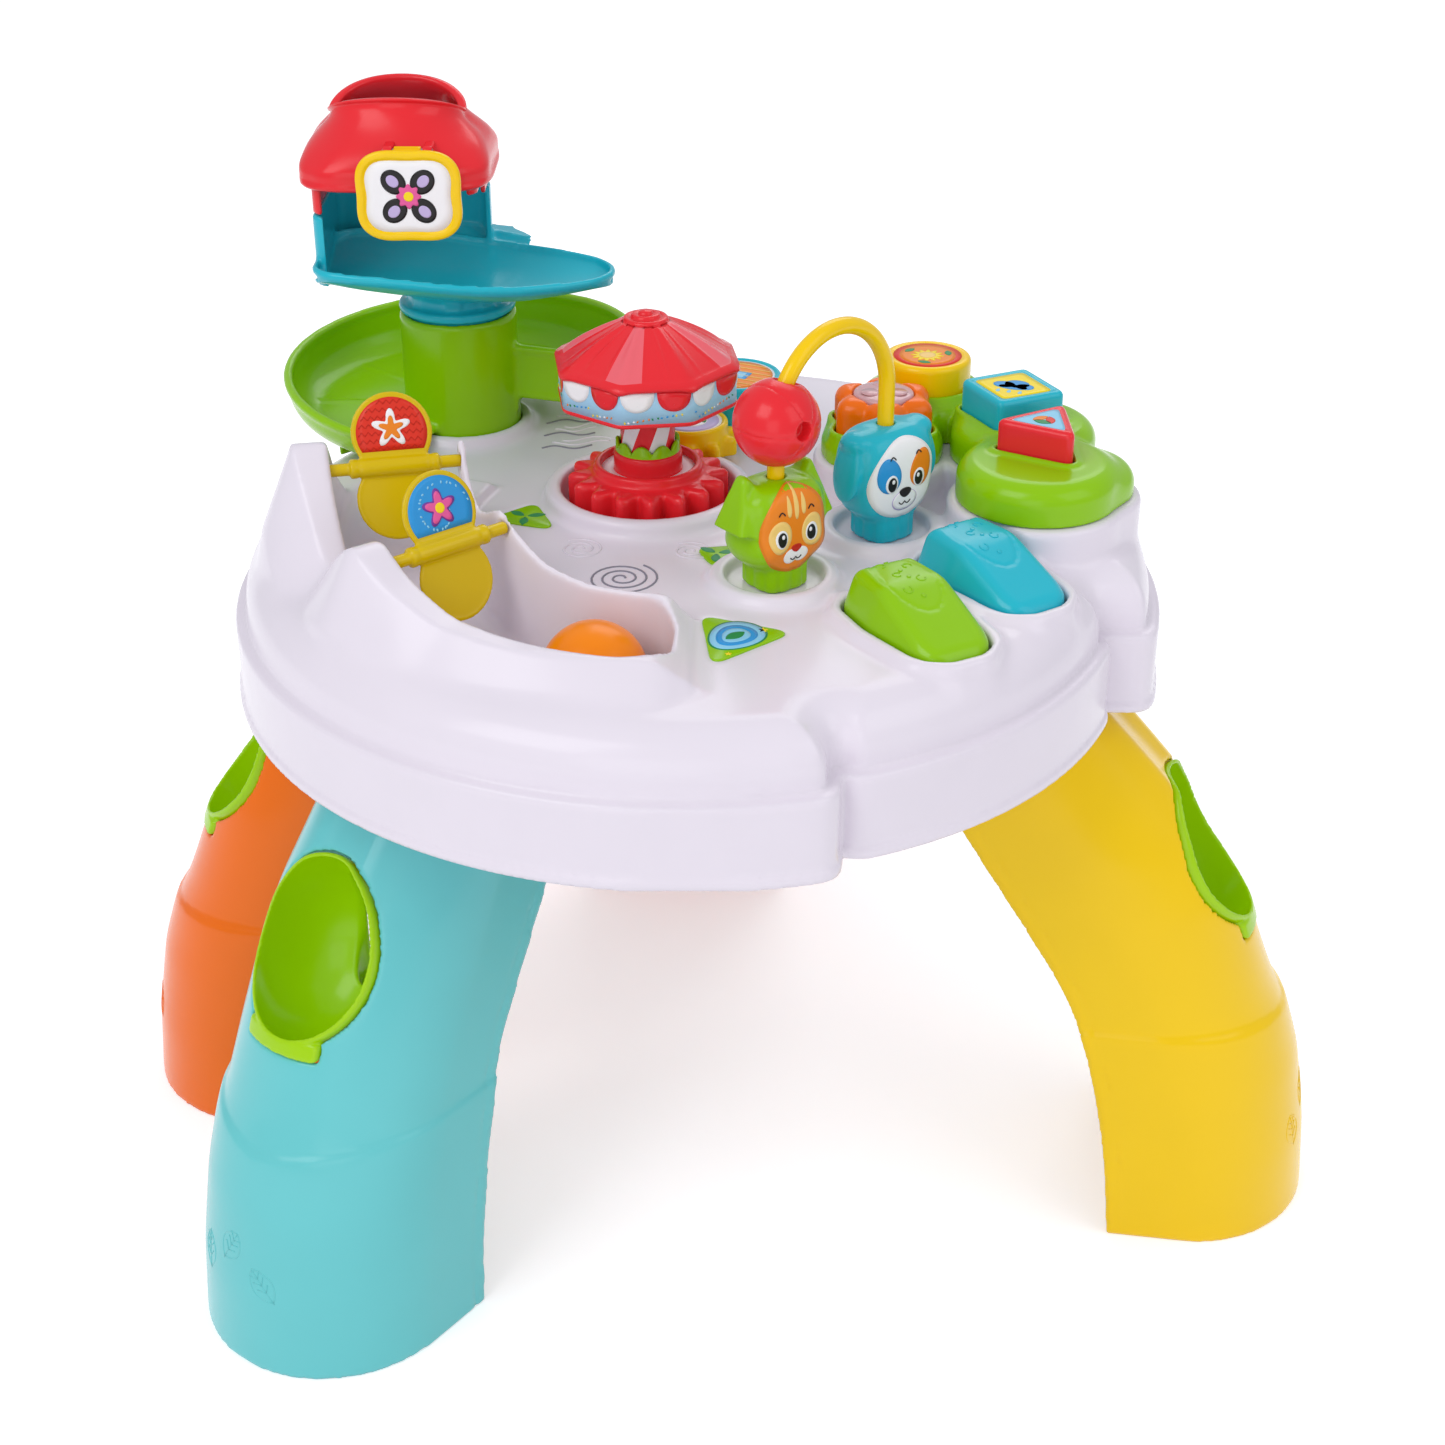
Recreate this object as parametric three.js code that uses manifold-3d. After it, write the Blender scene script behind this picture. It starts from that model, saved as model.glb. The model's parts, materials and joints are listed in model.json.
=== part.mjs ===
// A baby activity table: a lobed table top on four splayed legs, with a ball run, gears, keys
// and buttons.
// Lengths are millimetres and angles are degrees. X runs right, Y runs back and Z runs up.
import * as THREE from "three";
import { mergeVertices } from "three/addons/utils/BufferGeometryUtils.js";
import Module from "manifold-3d";

const wasm = await Module();
wasm.setup();

// Clearances shared by every piece
const gap = 0.3;
const overrun = 3;
const weld = 1e-4;
const smallest = 0.1;
const corner_steps = 2;
const sharpest_share = 0.5;

// Height of the legs, which every level of the table is measured from
const leg_height = 317.7;

// Table top
const skirt_bottom = leg_height - 17.7;
const deck_top = leg_height + 52.3;
const deck_wall = 3;
const lobe_left_radius = 222;
const lobe_keys_radius = 210;
const lobe_hill_radius = 228;
const lobe_back_radius = 236;
const lobe_corner = 14;
const skirt_flange = 2;
const skirt_flange_height = 6;
const band_height = 40;
const band_step = 5;
const shoulder_width = 24;
const shoulder_shares = [[0.12, 0.4], [0.36, 0.75]];
const shoulder_low_share = 0.2;
const shoulder_inner_share = [0.4, 0.66];
const lobe_edges_deg = [-72, -18, 60, 140, 288];
const skirt_steps = 40;
const crease_offsets_deg = [-4, -1.6, 0, 1.2, 2.6, 4.8];

// Tray that closes the table top from below
const tray_bottom = leg_height + 0.3;
const tray_wall = 3;
const speaker_ring = 2;
const speaker_ring_height = 3;
const tray_rim_height = 12;
const tray_screw_radius = 1.6;
const tray_screw_head = 3.4;
const tray_screw_length = 17;
const tray_inset = 1;
const screw_post_radius = 6;
const tray_screw_places = [[46, 143], [-86, 123], [39, -145], [153, 129]];

// Legs
const leg_half_width = 67;
const leg_depth = 105;
const leg_splay = 148;
const leg_wall = 3;
const leg_steps = 10;
const leg_tongue_width = 44;
const leg_tongue_depth = 26;
const leg_tongue_height = 12;
const leg_side_share = 0.36;
const leg_height_shares = [0, 0.14, 0.28, 0.37, 0.41, 0.47, 0.59, 0.7, 0.81, 0.91, 1];
const leg_inner_shares = [0, 0.03, 0.086, 0.14, 0.17, 0.225, 0.39, 0.55, 0.7, 0.72, 0.72];
const leg_outer_shares = [0, 0.025, 0.075, 0.125, 0.22, 0.255, 0.33, 0.44, 0.64, 0.835, 1.02];
const leg_width_shares = [1, 0.985, 0.965, 0.95, 0.93, 0.92, 0.885, 0.84, 0.79, 0.74, 0.7];

const left_leg = { x: -210, y: 66, turn: 183 };
const front_leg = { x: -160, y: -104, turn: -127 };
const right_leg = { x: 229, y: -29, turn: -9 };
const back_leg = { x: -10, y: 250, turn: 90 };

// Ball cups in the legs
const cup_width = 36;
const cup_reach = 42;
const cup_height = 50;
const cup_wall = 2.2;
const cup_centre_height = 205;
const cup_centre_depth = 30;
const cup_steps = 12;
const cup_rings = 6;
const cup_lip_width = 24;
const cup_lip_height = 9;
const cup_lip_proud = 2.4;
const cup_lip_drop_share = 0.8;
const cup_lip_reach_share = 0.82;

// Ball and its run
const run_inner_radius = 112;
const run_outer_radius = 172;
const run_width = run_outer_radius - run_inner_radius;
const ball_radius = run_width * 0.4;
const run_wall = 3;
const run_drop = 36;
const run_rise = 58;
const run_foot_radius = 214.6;
const run_foot_height = leg_height + 26.3;
const run_sections = 20;
const run_turn_shares = [
  0, 0.06, 0.12, 0.18, 0.24, 0.3, 0.36, 0.43, 0.48, 0.54, 0.6, 0.68, 0.78, 0.9, 0.94, 0.965, 1,
];
const run_floor_shares = [
  -0.06, -0.03, 0, 0.06, 0.2, 0.35, 0.48, 0.6, 0.68, 0.76, 0.85, 0.95, 1, 1, 0.72, 0, -0.04,
];
const run_inner_shares = [
  0.07, 0.07, 0.1, 0.45, 0.72, 0.95, 0.66, 0.5, 0.55, 0.66, 0.5, 0.34, 0.27, 0.26, 0.26, 0.24, 0.06,
];
const run_outer_shares = [
  0.07, 0.07, 0.1, 0.4, 0.8, 1, 0.62, 0.2, 0.45, 0.72, 0.5, 0.32, 0.27, 0.26, 0.26, 0.24, 0.06,
];
const run_ridge_shares = [
  0.3, 0.3, 0.3, 0.3, 0.32, 0.34, 0.26, 0.2, 0.28, 0.34, 0.28, 0.22, 0.16, 0.04, 0, 0, 0,
];
const run_start_deg = 158;
const run_sweep_deg = 112;
const run_overlap_deg = 1;
const run_floor_round = 6;
const run_edge = 0.75;
const run_slope_share = 0.62;
const run_fall_share = 0.38;
const ball_turn_deg = 253;
const ball_steps = 20;

// Flap wheels over the run
const flap_axle_radius = 3;
const flap_hub_radius = 4.6;
const flap_radius = run_width * 0.317;
const flap_offset = flap_radius - 3.5;
const flap_wall = 2.4;
const flap_blades = 2;
const rear_axle_height = leg_height + 95.3;
const front_axle_height = leg_height + 82.3;
const flap_axle_steps = 10;
const flap_steps = 16;
const rear_axle_turn_deg = 192.5;
const front_axle_turn_deg = 220.5;
const flap_hub_length = run_width * 0.7;
const axle_length = run_width + 3;
const flap_first_deg = 110;

// Tower
const column_x = -124;
const column_y = 130;
const column_radius = 30.6;
const column_wall = 3;
const column_top = leg_height + 118.3;
const column_collar = 5;
const column_collar_height = 6;
const bowl_radius = 94;
const bowl_wall = 2.6;
const bowl_floor = leg_height + 62.3;
const bowl_fall = 12;
const bowl_rise = 28;
const bowl_start_deg = -18;
const bowl_sweep_deg = 268;
const bowl_sections = 22;
const bowl_rise_shares = [0.86, 1, 1, 0.95, 0.9, 0.86, 0.8, 0.72, 0.62, 0.55];

const neck_radius = 25;
const neck_wall = 3;
const neck_plug_length = 10;
const slide_left = -199;
const slide_right = -41;
const slide_middle_y = 108;
const slide_half_width = 42;
const slide_rim = leg_height + 148.3;
const slide_depth = 14;
const slide_wall = 2.6;
const slide_sections = 16;
const slide_width_shares = [0.5, 0.86, 1, 1, 0.92, 0.74, 0.5, 0.16];
const slide_rim_shares = [1.3, 0.7, 0.2, -0.3, -0.5, -0.4, -0.1, 0.3];
const slide_depth_shares = [0.6, 0.9, 1, 1, 0.95, 0.8, 0.5, 0.2];
const slide_across_shares = [-1, -0.86, -0.5, 0, 0.5, 0.86, 1];
const slide_plate = 3;

const house_middle_x = -148;
const house_width = 84;
const house_front = 89;
const house_back = 161;
const house_floor = leg_height + 145.3;
const house_corner = 8;
const plate_front = 130;
const house_top = leg_height + 188.3;
const house_wall = 3;
const wall_top = leg_height + 202.3;

const roof_eave = leg_height + 193.3;
const roof_half_width = 48.5;
const roof_half_depth = 45;
const roof_seat = 2.5;
const roof_height = 36;
const roof_wall = 2.6;
const roof_steps = 24;
const roof_squareness = 4.2;
const mouth_lift = 6.5;
const roof_height_shares = [0, 0.26, 0.45, 0.66, 0.85, 1];
const roof_width_shares = [1, 1, 0.91, 0.77, 0.65, 0.62];
const mouth_bulge = 0.1;
const mouth_corners = 2;
const mouth_shares = [0, 0, 0.3, 0.8, 1, 1];

const plaque_middle_x = -138;
const plaque_middle_z = leg_height + 193.3;
const plaque_radius = 24;
const plaque_wave = 2;
const plaque_stretch = 1.16;
const plaque_wall = 4;
const plaque_back = 76;
const plaque_petals = 4;
const plaque_steps = 24;
const hinge_y = 80;
const hinge_height = leg_height + 213.3;
const hinge_pin_radius = 1.5;
const hinge_lug = 5;
const hinge_lug_width = 14;
const roof_lug_share = 0.78;

// Carousel and gear train
const carousel_x = -22;
const carousel_y = 30;
const carousel_teeth = 16;
const carousel_pitch = 37.5;
const pinion_teeth = 10;
const gear_wave = 3;
const gear_play = 0.6;
const pinion_turn_deg = 71;
const third_turn_deg = 60;
const tooth_samples = 6;
const recess_radius = 43.5;
const recess_rim = 7;
const recess_floor = leg_height + 44.3;
const recess_rim_height = 10;
const recess_rim_top = 17;
const recess_steps = 32;
const spindle_radius = 4;
const spindle_head = 6;
const running = 0.06;
const pin_sides = 16;
const carousel_gear_top = leg_height + 63.3;
const carousel_ring_radius = 27;
const carousel_ring_top = leg_height + 73.3;
const carousel_ring_depth = 4;
const post_radius = 13.6;
const post_top = leg_height + 108.3;
const post_leaf_radius = 17;
const post_leaf_height = 9;
const canopy_radius = 46;
const canopy_sides = 8;
const canopy_bottom = leg_height + 106.3;
const canopy_band_height = 18;
const canopy_wall = 2.4;
const canopy_roof_height = 21;
const canopy_eave = 1.5;
const canopy_cap_radius = 10;
const canopy_turn_deg = -60;
const canopy_boss_radius = 16;
const canopy_boss_length = 18;
const canopy_lip_height = 4;
const canopy_top_radius = 12;
const cap_height = 5;
const spindle_length = 60;
const bore_length = 62;
const pin_inset = 3;
const pin_head_height = 2;
const gear_bottom = leg_height + 55.3;
const yellow_gear_height = 10;
const yellow_hub_height = 7;
const yellow_hub_radius = 20;
const teal_gear_height = 10;
const teal_drum_height = 17;
const teal_drum_radius = 25;
const gear_pin_radius = 3;
const gear_pin_head = 6;
const gear_pad_radius = 12;

// Turning heads, arch and bead
const cat_x = 39;
const cat_y = -66;
const dog_x = 92;
const dog_y = -11;
const head_face_deg = -52;
const head_half_width = 22.5;
const head_half_depth = 16;
const cat_top = leg_height + 105.3;
const dog_top = leg_height + 109.3;
const dog_scale = 1.12;
const neck_half_width = 13;
const neck_length = 12;
const head_squareness = 3.4;
const head_steps = 20;
const head_scale_shares = [0.8, 0.97, 1, 0.98, 0.88, 0.62];
const head_rise_shares = [0, 0.16, 0.45, 0.75, 0.92, 1];
const ear_tip_radius = 2;
const ear_top = leg_height + 109.3;
const ear_radius = 7;
const ear_height = 14;
const ear_spread = 15;
const dish_radius = 27;
const dish_wall = 4;
const dish_height = 5;
const arch_tube_radius = 4;
const arch_spring_height = leg_height + 127.3;
const arch_bottom = leg_height + 42.3;
const arch_steps = 20;
const tube_sides = 8;
const bead_radius = 20;
const bead_bore_radius = 7.2;
const bead_bore_shift = 2.6;
const bead_bore_steps = 12;
const bead_lift = 3.6;
const bead_steps = 18;
const bead_side_hole = 4;
const bead_side_depth = 6;

// Keys
const key_length = 74;
const key_half_width = 23;
const key_bottom = leg_height + 43.3;
const key_rise = 22;
const key_slot_play = 1.4;
const key_collar = 4;
const key_collar_height = 3.5;
const key_pin_radius = 1.5;
const key_pin_inset = 6;
const key_lug_wall = 4;
const green_key_x = 84;
const green_key_y = -84;
const green_key_deg = -61;
const aqua_key_x = 119;
const aqua_key_y = -40;
const aqua_key_deg = -56;
const key_length_shares = [0, 0.06, 0.16, 0.4, 0.62, 0.84, 0.96, 1];
const key_width_shares = [0.62, 0.8, 0.93, 1, 0.96, 0.84, 0.66, 0.5];
const key_height_shares = [0.45, 0.8, 0.98, 1, 0.86, 0.56, 0.36, 0.2];
const key_crown_share = 0.72;

// Hill panel and its buttons
const hill_bottom = leg_height + 70.3;
const hill_wall = 2.6;
const hill_shoulder = 11;
const hill_side_share = 0.4;
const hill_turn_shares = [0.35, 0.78];
const hill_well_play = 0.8;
const block_margin = 4;
const hill_lobe_steps = 18;
const flower_x = 95;
const flower_y = 48;
const round_x = 120;
const round_y = 91;
const square_x = 159;
const square_y = 47;
const triangle_x = 169;
const triangle_y = 1;
const flower_lobe_radius = 30.5;
const flower_lobe_top = leg_height + 85.3;
const round_lobe_radius = 34;
const square_lobe_radius = 36;
const triangle_lobe_radius = 39;
const hill_top = leg_height + 90.3;
const end_lobe_x = 187;
const end_lobe_y = 0;
const end_lobe_radius = 27;
const triangle_lobe_x = 166;
const triangle_lobe_y = -9;
const square_lobe_x = 165;
const square_lobe_y = 43;
const button_top = leg_height + 106.3;
const button_bevel = 3;
const button_flange = 2.4;
const button_flange_margin = 1.8;
const round_button_radius = 22.5;
const square_button_half = 19;
const square_corners = 4;
const triangle_corners = 3;
const square_button_deg = 70;
const triangle_button_radius = 25;
const triangle_button_deg = 60;
const button_corner = 4;
const button_travel = 3;
const flower_button_top = leg_height + 102.3;
const flower_button_radius = 24;
const flower_wave = 2.4;
const flower_petals = 6;
const flower_turn_deg = 30;
const lens_radius = 15;
const lens_proud = 1.5;
const lens_depth = 5;

// Inlaid panels on the deck
const inlay_wall = 1.2;
const inlay_pocket = 0.8;
const inlay_corner = 5;
const front_inlay_points = [[5, -102], [10, -150], [46, -119]];
const left_inlay_points = [[-101, 4], [-66, -8], [-78, 24]];
const back_inlay_points = [[2, -30], [12, -54], [24, -26]];

// Parts inside the table top
const board_level = leg_height + 28.3;
const board_thickness = 1.6;
const board_points = [
  [85, 36], [135, -35], [175, -32], [205, -15], [205, 30], [165, 85], [135, 105], [110, 105],
];
const board_post_radius = 3;
const board_post_places = [[138, -22], [197, 22], [148, 80]];
const led_x = 138;
const led_y = 50;
const led_radius = 2.5;
const led_height = 9;
const membrane_dome_radius = 5;
const membrane_thickness = 1;
const membrane_dome_height = 5;
const membrane_margin = 5;
const stem_radius = 4;
const speaker_radius = 25;
const speaker_magnet_radius = 14;
const speaker_height = 14;
const speaker_rim_height = 4;
const speaker_x = -40;
const speaker_y = -50;
const grille_holes = 6;
const grille_hole_radius = 1.6;
const grille_circle = 12;
const cell_radius = 7.2;
const cell_length = 50;
const cell_count = 3;
const battery_x = 40;
const battery_y = 60;
const battery_wall = 4;
const battery_side_play = 0.4;
const door_tab = 18;
const door_boss_radius = 4.5;
const door_screw_length = 10;
const door_screw_head_height = 1.2;
const door_thickness = 2.4;
const door_screw_radius = 1.5;
const door_screw_head = 3;
const switch_length = 9;
const switch_width = 5;
const switch_travel = 4;
const switch_low = leg_height - 1.2;
const switch_flange = 4;
const switch_flange_height = 1.6;
const switch_x = -10;
const switch_y = -110;

const tau = Math.PI + Math.PI;
const half = 1 / 2;
const quarter = half * half;
const twice = 2;
const fourfold = 4;
const turn_deg = 360;
const right_angle_deg = turn_deg * quarter;
const axes = [0, 1, 2];
const sides = [-1, 1];

function radians(degrees) {
  return THREE.MathUtils.degToRad(degrees);
}

function polar(radius, degrees, x = 0, y = 0) {
  return [x + radius * Math.cos(radians(degrees)), y + radius * Math.sin(radians(degrees))];
}

// The value at a share of a list, read off straight lines between its entries.
function along(list, share) {
  const place = THREE.MathUtils.clamp(share, 0, 1) * (list.length - 1);
  const index = Math.min(Math.floor(place), list.length - 2);
  return THREE.MathUtils.lerp(list[index], list[index + 1], place - index);
}

// The value at a share, read off a table of places and values.
function tabled(places, values, share) {
  let index = 0;
  while (index < places.length - twice && share > places[index + 1]) index += 1;
  const part = (share - places[index]) / (places[index + 1] - places[index]);
  return THREE.MathUtils.lerp(values[index], values[index + 1], THREE.MathUtils.clamp(part, 0, 1));
}

// A closed geometry as a solid, with its faces turned outward.
function solid(geometry) {
  const plain = geometry.clone();
  plain.deleteAttribute("normal");
  plain.deleteAttribute("uv");
  const merged = mergeVertices(plain, weld);
  const index = merged.index.array;
  const build = (flip) => {
    const corners = [];
    for (let i = 0; i < index.length; i += 3) {
      const [a, b, c] = [index[i], index[i + 1], index[i + 2]];
      if (a !== b && b !== c && c !== a) corners.push(a, flip ? c : b, flip ? b : c);
    }
    return new wasm.Manifold(new wasm.Mesh({
      numProp: axes.length,
      vertProperties: new Float32Array(merged.attributes.position.array),
      triVerts: new Uint32Array(corners),
    }));
  };
  const made = build(false);
  return made.volume() < 0 ? build(true) : made;
}

function join(first, ...others) {
  return others.reduce((sum, next) => sum.add(next), first);
}

function cut(first, ...others) {
  return others.reduce((rest, next) => rest.subtract(next), first);
}

// A solid as a geometry with flat faces.
function geometryOf(made) {
  const mesh = made.getMesh();
  const positions = new Float32Array(mesh.numVert * axes.length);
  for (let i = 0; i < mesh.numVert; i += 1) {
    const start = i * mesh.numProp;
    positions.set(mesh.vertProperties.subarray(start, start + axes.length), i * axes.length);
  }
  const geometry = new THREE.BufferGeometry();
  geometry.setAttribute("position", new THREE.BufferAttribute(positions, axes.length));
  geometry.setIndex(new THREE.BufferAttribute(new Uint32Array(mesh.triVerts), 1));
  const flat = geometry.toNonIndexed();
  flat.computeVertexNormals();
  return flat;
}

// A solid through a stack of rings, each a list of [x, y, z], with fans over both ends.
function loft(rings) {
  const count = rings[0].length;
  const points = rings.flat();
  const faces = [];
  for (let level = 0; level < rings.length - 1; level += 1) {
    for (let i = 0; i < count; i += 1) {
      const next = (i + 1) % count;
      const a = level * count + i;
      const b = level * count + next;
      faces.push(a, b, b + count, a, b + count, a + count);
    }
  }
  for (const [level, turn] of [[0, 1], [rings.length - 1, 0]]) {
    const ring = rings[level];
    const centre = axes.map((axis) => ring.reduce((sum, p) => sum + p[axis], 0) / count);
    const hub = points.push(centre) - 1;
    for (let i = 0; i < count; i += 1) {
      const a = level * count + i;
      const b = level * count + ((i + 1) % count);
      faces.push(hub, turn ? b : a, turn ? a : b);
    }
  }
  return solid(facesOf(points, faces));
}

// A thin wall swept through sections, each with an outer and an inner chain of equal length.
function bandLoft(sections) {
  const rings = sections.map(({ outer, inner }) => [...outer, ...[...inner].reverse()]);
  const count = rings[0].length;
  const chain = sections[0].outer.length;
  const faces = [];
  for (let level = 0; level < rings.length - 1; level += 1) {
    for (let i = 0; i < count; i += 1) {
      const a = level * count + i;
      const b = level * count + ((i + 1) % count);
      faces.push(a, b, b + count, a, b + count, a + count);
    }
  }
  for (const [level, turn] of [[0, 1], [rings.length - 1, 0]]) {
    for (let i = 0; i < chain - 1; i += 1) {
      const a = level * count + i;
      const b = a + 1;
      const c = level * count + (count - 1 - (i + 1));
      const d = level * count + (count - 1 - i);
      const corners = turn ? [a, c, b, a, d, c] : [a, b, c, a, c, d];
      faces.push(...corners);
    }
  }
  return solid(facesOf(rings.flat(), faces));
}

function facesOf(points, faces) {
  const geometry = new THREE.BufferGeometry();
  geometry.setAttribute("position", new THREE.Float32BufferAttribute(points.flat(), axes.length));
  geometry.setIndex(faces);
  return geometry;
}

// A turned solid about the vertical axis through (x, y), from a closed profile of [radius, height].
function turned(profile, steps, x = 0, y = 0) {
  const closed = [...profile, profile[0]].map(([r, z]) => new THREE.Vector2(r, z));
  const geometry = new THREE.LatheGeometry(closed, steps);
  geometry.rotateX(tau * quarter);
  geometry.translate(x, y, 0);
  return solid(geometry);
}

function disc(radius, low, high, steps, x = 0, y = 0) {
  return turned([[0, low], [radius, low], [radius, high], [0, high]], steps, x, y);
}

// A bore whose flats stay clear of the corners of the pin that turns in it
// The radius of a bore whose flat sides clear a turning pin.
function clearRadius(radius, steps) {
  return (radius + running) / Math.cos(Math.PI / steps);
}

function pinBore(radius, low, high, x, y) {
  return disc(clearRadius(radius, pin_sides), low, high, pin_sides, x, y);
}

function ringOf(inner, outer, low, high, steps, x = 0, y = 0) {
  return turned([[inner, low], [outer, low], [outer, high], [inner, high]], steps, x, y);
}

// An upright prism over an outline of [x, y] points.
function prism(outline, low, high) {
  return loft([low, high].map((z) => outline.map(([x, y]) => [x, y, z])));
}

function block(width, depth, height, x, y, z) {
  const geometry = new THREE.BoxGeometry(width, depth, height);
  geometry.translate(x, y, z);
  return solid(geometry);
}

// A cylinder whose axis lies level, along the given turn, centred on a point.
function levelRod(radius, length, degrees, x, y, z, steps = flap_axle_steps) {
  const geometry = new THREE.CylinderGeometry(radius, radius, length, steps);
  geometry.rotateZ(tau * quarter);
  geometry.rotateZ(radians(degrees));
  geometry.translate(x, y, z);
  return solid(geometry);
}

function moved(made, { x = 0, y = 0, z = 0, turn = 0, tilt = 0 }) {
  const geometry = geometryOf(made);
  geometry.rotateX(radians(tilt));
  geometry.rotateZ(radians(turn));
  geometry.translate(x, y, z);
  return solid(geometry);
}

// Moves each edge of an outline outward by a distance, so that its corners meet again.
function grown(outline, distance) {
  const normal = ([ax, ay], [bx, by]) => new THREE.Vector2(by - ay, ax - bx).normalize();
  return outline.map(([x, y], i) => {
    const before = normal(outline[(i + outline.length - 1) % outline.length], [x, y]);
    const after = normal([x, y], outline[(i + 1) % outline.length]);
    const reach = distance / Math.max(sharpest_share, 1 + before.dot(after));
    return [x + (before.x + after.x) * reach, y + (before.y + after.y) * reach];
  });
}

// A convex outline with each corner rounded by short chords.
function rounded(corners, radius) {
  const points = [];
  corners.forEach((corner, i) => {
    const here = new THREE.Vector2(...corner);
    const before = new THREE.Vector2(...corners[(i + corners.length - 1) % corners.length]);
    const after = new THREE.Vector2(...corners[(i + 1) % corners.length]);
    const toBefore = before.sub(here).normalize();
    const toAfter = after.sub(here).normalize();
    const opening = Math.acos(toBefore.dot(toAfter)) * half;
    const reach = radius / Math.tan(opening);
    const start = here.clone().addScaledVector(toBefore, reach);
    const end = here.clone().addScaledVector(toAfter, reach);
    const curve = new THREE.QuadraticBezierCurve(start, here, end);
    curve.getPoints(corner_steps).forEach((p) => points.push([p.x, p.y]));
  });
  return points;
}

function regular(count, radius, degrees, x, y) {
  return Array.from({ length: count }, (_, i) => polar(radius, degrees + (i / count) * turn_deg, x, y));
}

// A squared circle, between a circle and a rectangle.
function squircle(halfWidth, halfDepth, squareness, steps, x = 0, y = 0) {
  return Array.from({ length: steps }, (_, i) => {
    const turn = (i / steps) * tau;
    const fold = (value) => Math.sign(value) * Math.abs(value) ** (twice / squareness);
    return [x + halfWidth * fold(Math.cos(turn)), y + halfDepth * fold(Math.sin(turn))];
  });
}

// The table top's outer radius at an azimuth: four lobes with a rounded crease between each pair.
function lobeRadius(degrees) {
  const turn = THREE.MathUtils.euclideanModulo(degrees - lobe_edges_deg[0],
    turn_deg) + lobe_edges_deg[0];
  const radii = [lobe_keys_radius, lobe_hill_radius, lobe_back_radius, lobe_left_radius];
  const lobe = radii.findIndex((_, i) => turn <= lobe_edges_deg[i + 1]);
  const radius = radii[lobe];
  const nearest = Math.min(turn - lobe_edges_deg[lobe], lobe_edges_deg[lobe + 1] - turn);
  const arc = radians(nearest) * radius;
  const inside = Math.max(0, lobe_corner - arc);
  return radius - lobe_corner + Math.sqrt(Math.max(0, lobe_corner ** twice - inside ** twice));
}

const skirt_turns = [
  ...Array.from({ length: skirt_steps }, (_, i) => (i / skirt_steps) * turn_deg)
    .filter((turn) => lobe_edges_deg.every((edge) => {
      const away = THREE.MathUtils.euclideanModulo(turn - edge, turn_deg);
      return Math.min(away, turn_deg - away) > crease_offsets_deg[crease_offsets_deg.length - 1];
    })),
  ...lobe_edges_deg.slice(1).flatMap((edge) => crease_offsets_deg.map(
    (offset) => THREE.MathUtils.euclideanModulo(edge + offset, turn_deg),
  )),
].sort((a, b) => a - b);

// The table top's outline at a height, set in radially, then by a wall measured square to it.
function lobeRing(inset, z, wall = 0) {
  const outline = skirt_turns.map((turn) => polar(lobeRadius(turn) - inset, turn));
  return grown(outline, -wall).map(([x, y]) => [x, y, z]);
}

// Colours as the object shows them
const colours = {
  body: [0xe9e2f0, 0.3], lime: [0x8cc31e, 0.35], teal: [0x23b4be, 0.35], aqua: [0x6ecbc8, 0.35],
  orange: [0xf07d13, 0.35], yellow: [0xffd600, 0.35], red: [0xe5303a, 0.35], gold: [0xddbe00, 0.35],
  sky: [0xa9d3ee, 0.4], white: [0xf7f5fa, 0.35], steel: [0xa8abb0, 0.35], board: [0x1f6b3a, 0.6],
  rubber: [0x4b4d52, 0.8], black: [0x2b2c30, 0.6], cell: [0x3d4046, 0.4], lens: [0xf6c9cf, 0.2],
};

const group = new THREE.Group();

function place(name, made, colour, parent = group) {
  const [color, roughness] = colours[colour];
  const metalness = colour === "steel" ? 1 : 0;
  const material = new THREE.MeshStandardMaterial({ color, roughness, metalness });
  const mesh = new THREE.Mesh(geometryOf(made.simplify(smallest)), material);
  mesh.name = name;
  parent.add(mesh);
  return mesh;
}

// Legs: each is built with its open side on the local Y axis and its front along local X
function legChain(level, offset) {
  const width = leg_half_width * leg_width_shares[level] - offset;
  const inner = -leg_splay * leg_inner_shares[level];
  const outer = leg_depth - leg_splay * leg_outer_shares[level];
  const side = inner + (outer - inner) * leg_side_share;
  const height = leg_height * leg_height_shares[level];
  const front = outer - offset - side;
  const arc = Array.from({ length: leg_steps + 1 }, (_, i) => {
    const turn = (i / leg_steps - half) * tau * half;
    return [side + front * Math.cos(turn), width * Math.sin(turn), height];
  });
  return [[inner, -width, height], ...arc, [inner, width, height]];
}

function legBody() {
  const sections = leg_height_shares.map((_, level) => ({
    outer: legChain(level, 0),
    inner: legChain(level, leg_wall),
  }));
  return bandLoft(sections);
}

function legFilled(offset) {
  return loft(leg_height_shares.map((_, level) => legChain(level, -offset)));
}

// An egg-shaped solid about the cup's centre.
function cupEgg(offset) {
  const geometry = new THREE.SphereGeometry(1, cup_steps, cup_rings);
  geometry.scale(cup_reach - offset, cup_width - offset, cup_height - offset);
  geometry.translate(cup_centre_depth, 0, cup_centre_height);
  return solid(geometry);
}

function cupLip(offset) {
  const low = cup_centre_height - cup_height * cup_lip_drop_share;
  return block(
    cup_reach + offset, (cup_lip_width + offset) * twice, cup_lip_height + offset * twice,
    cup_centre_depth + cup_reach * cup_lip_reach_share, 0, low + cup_lip_height * half,
  );
}

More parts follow.
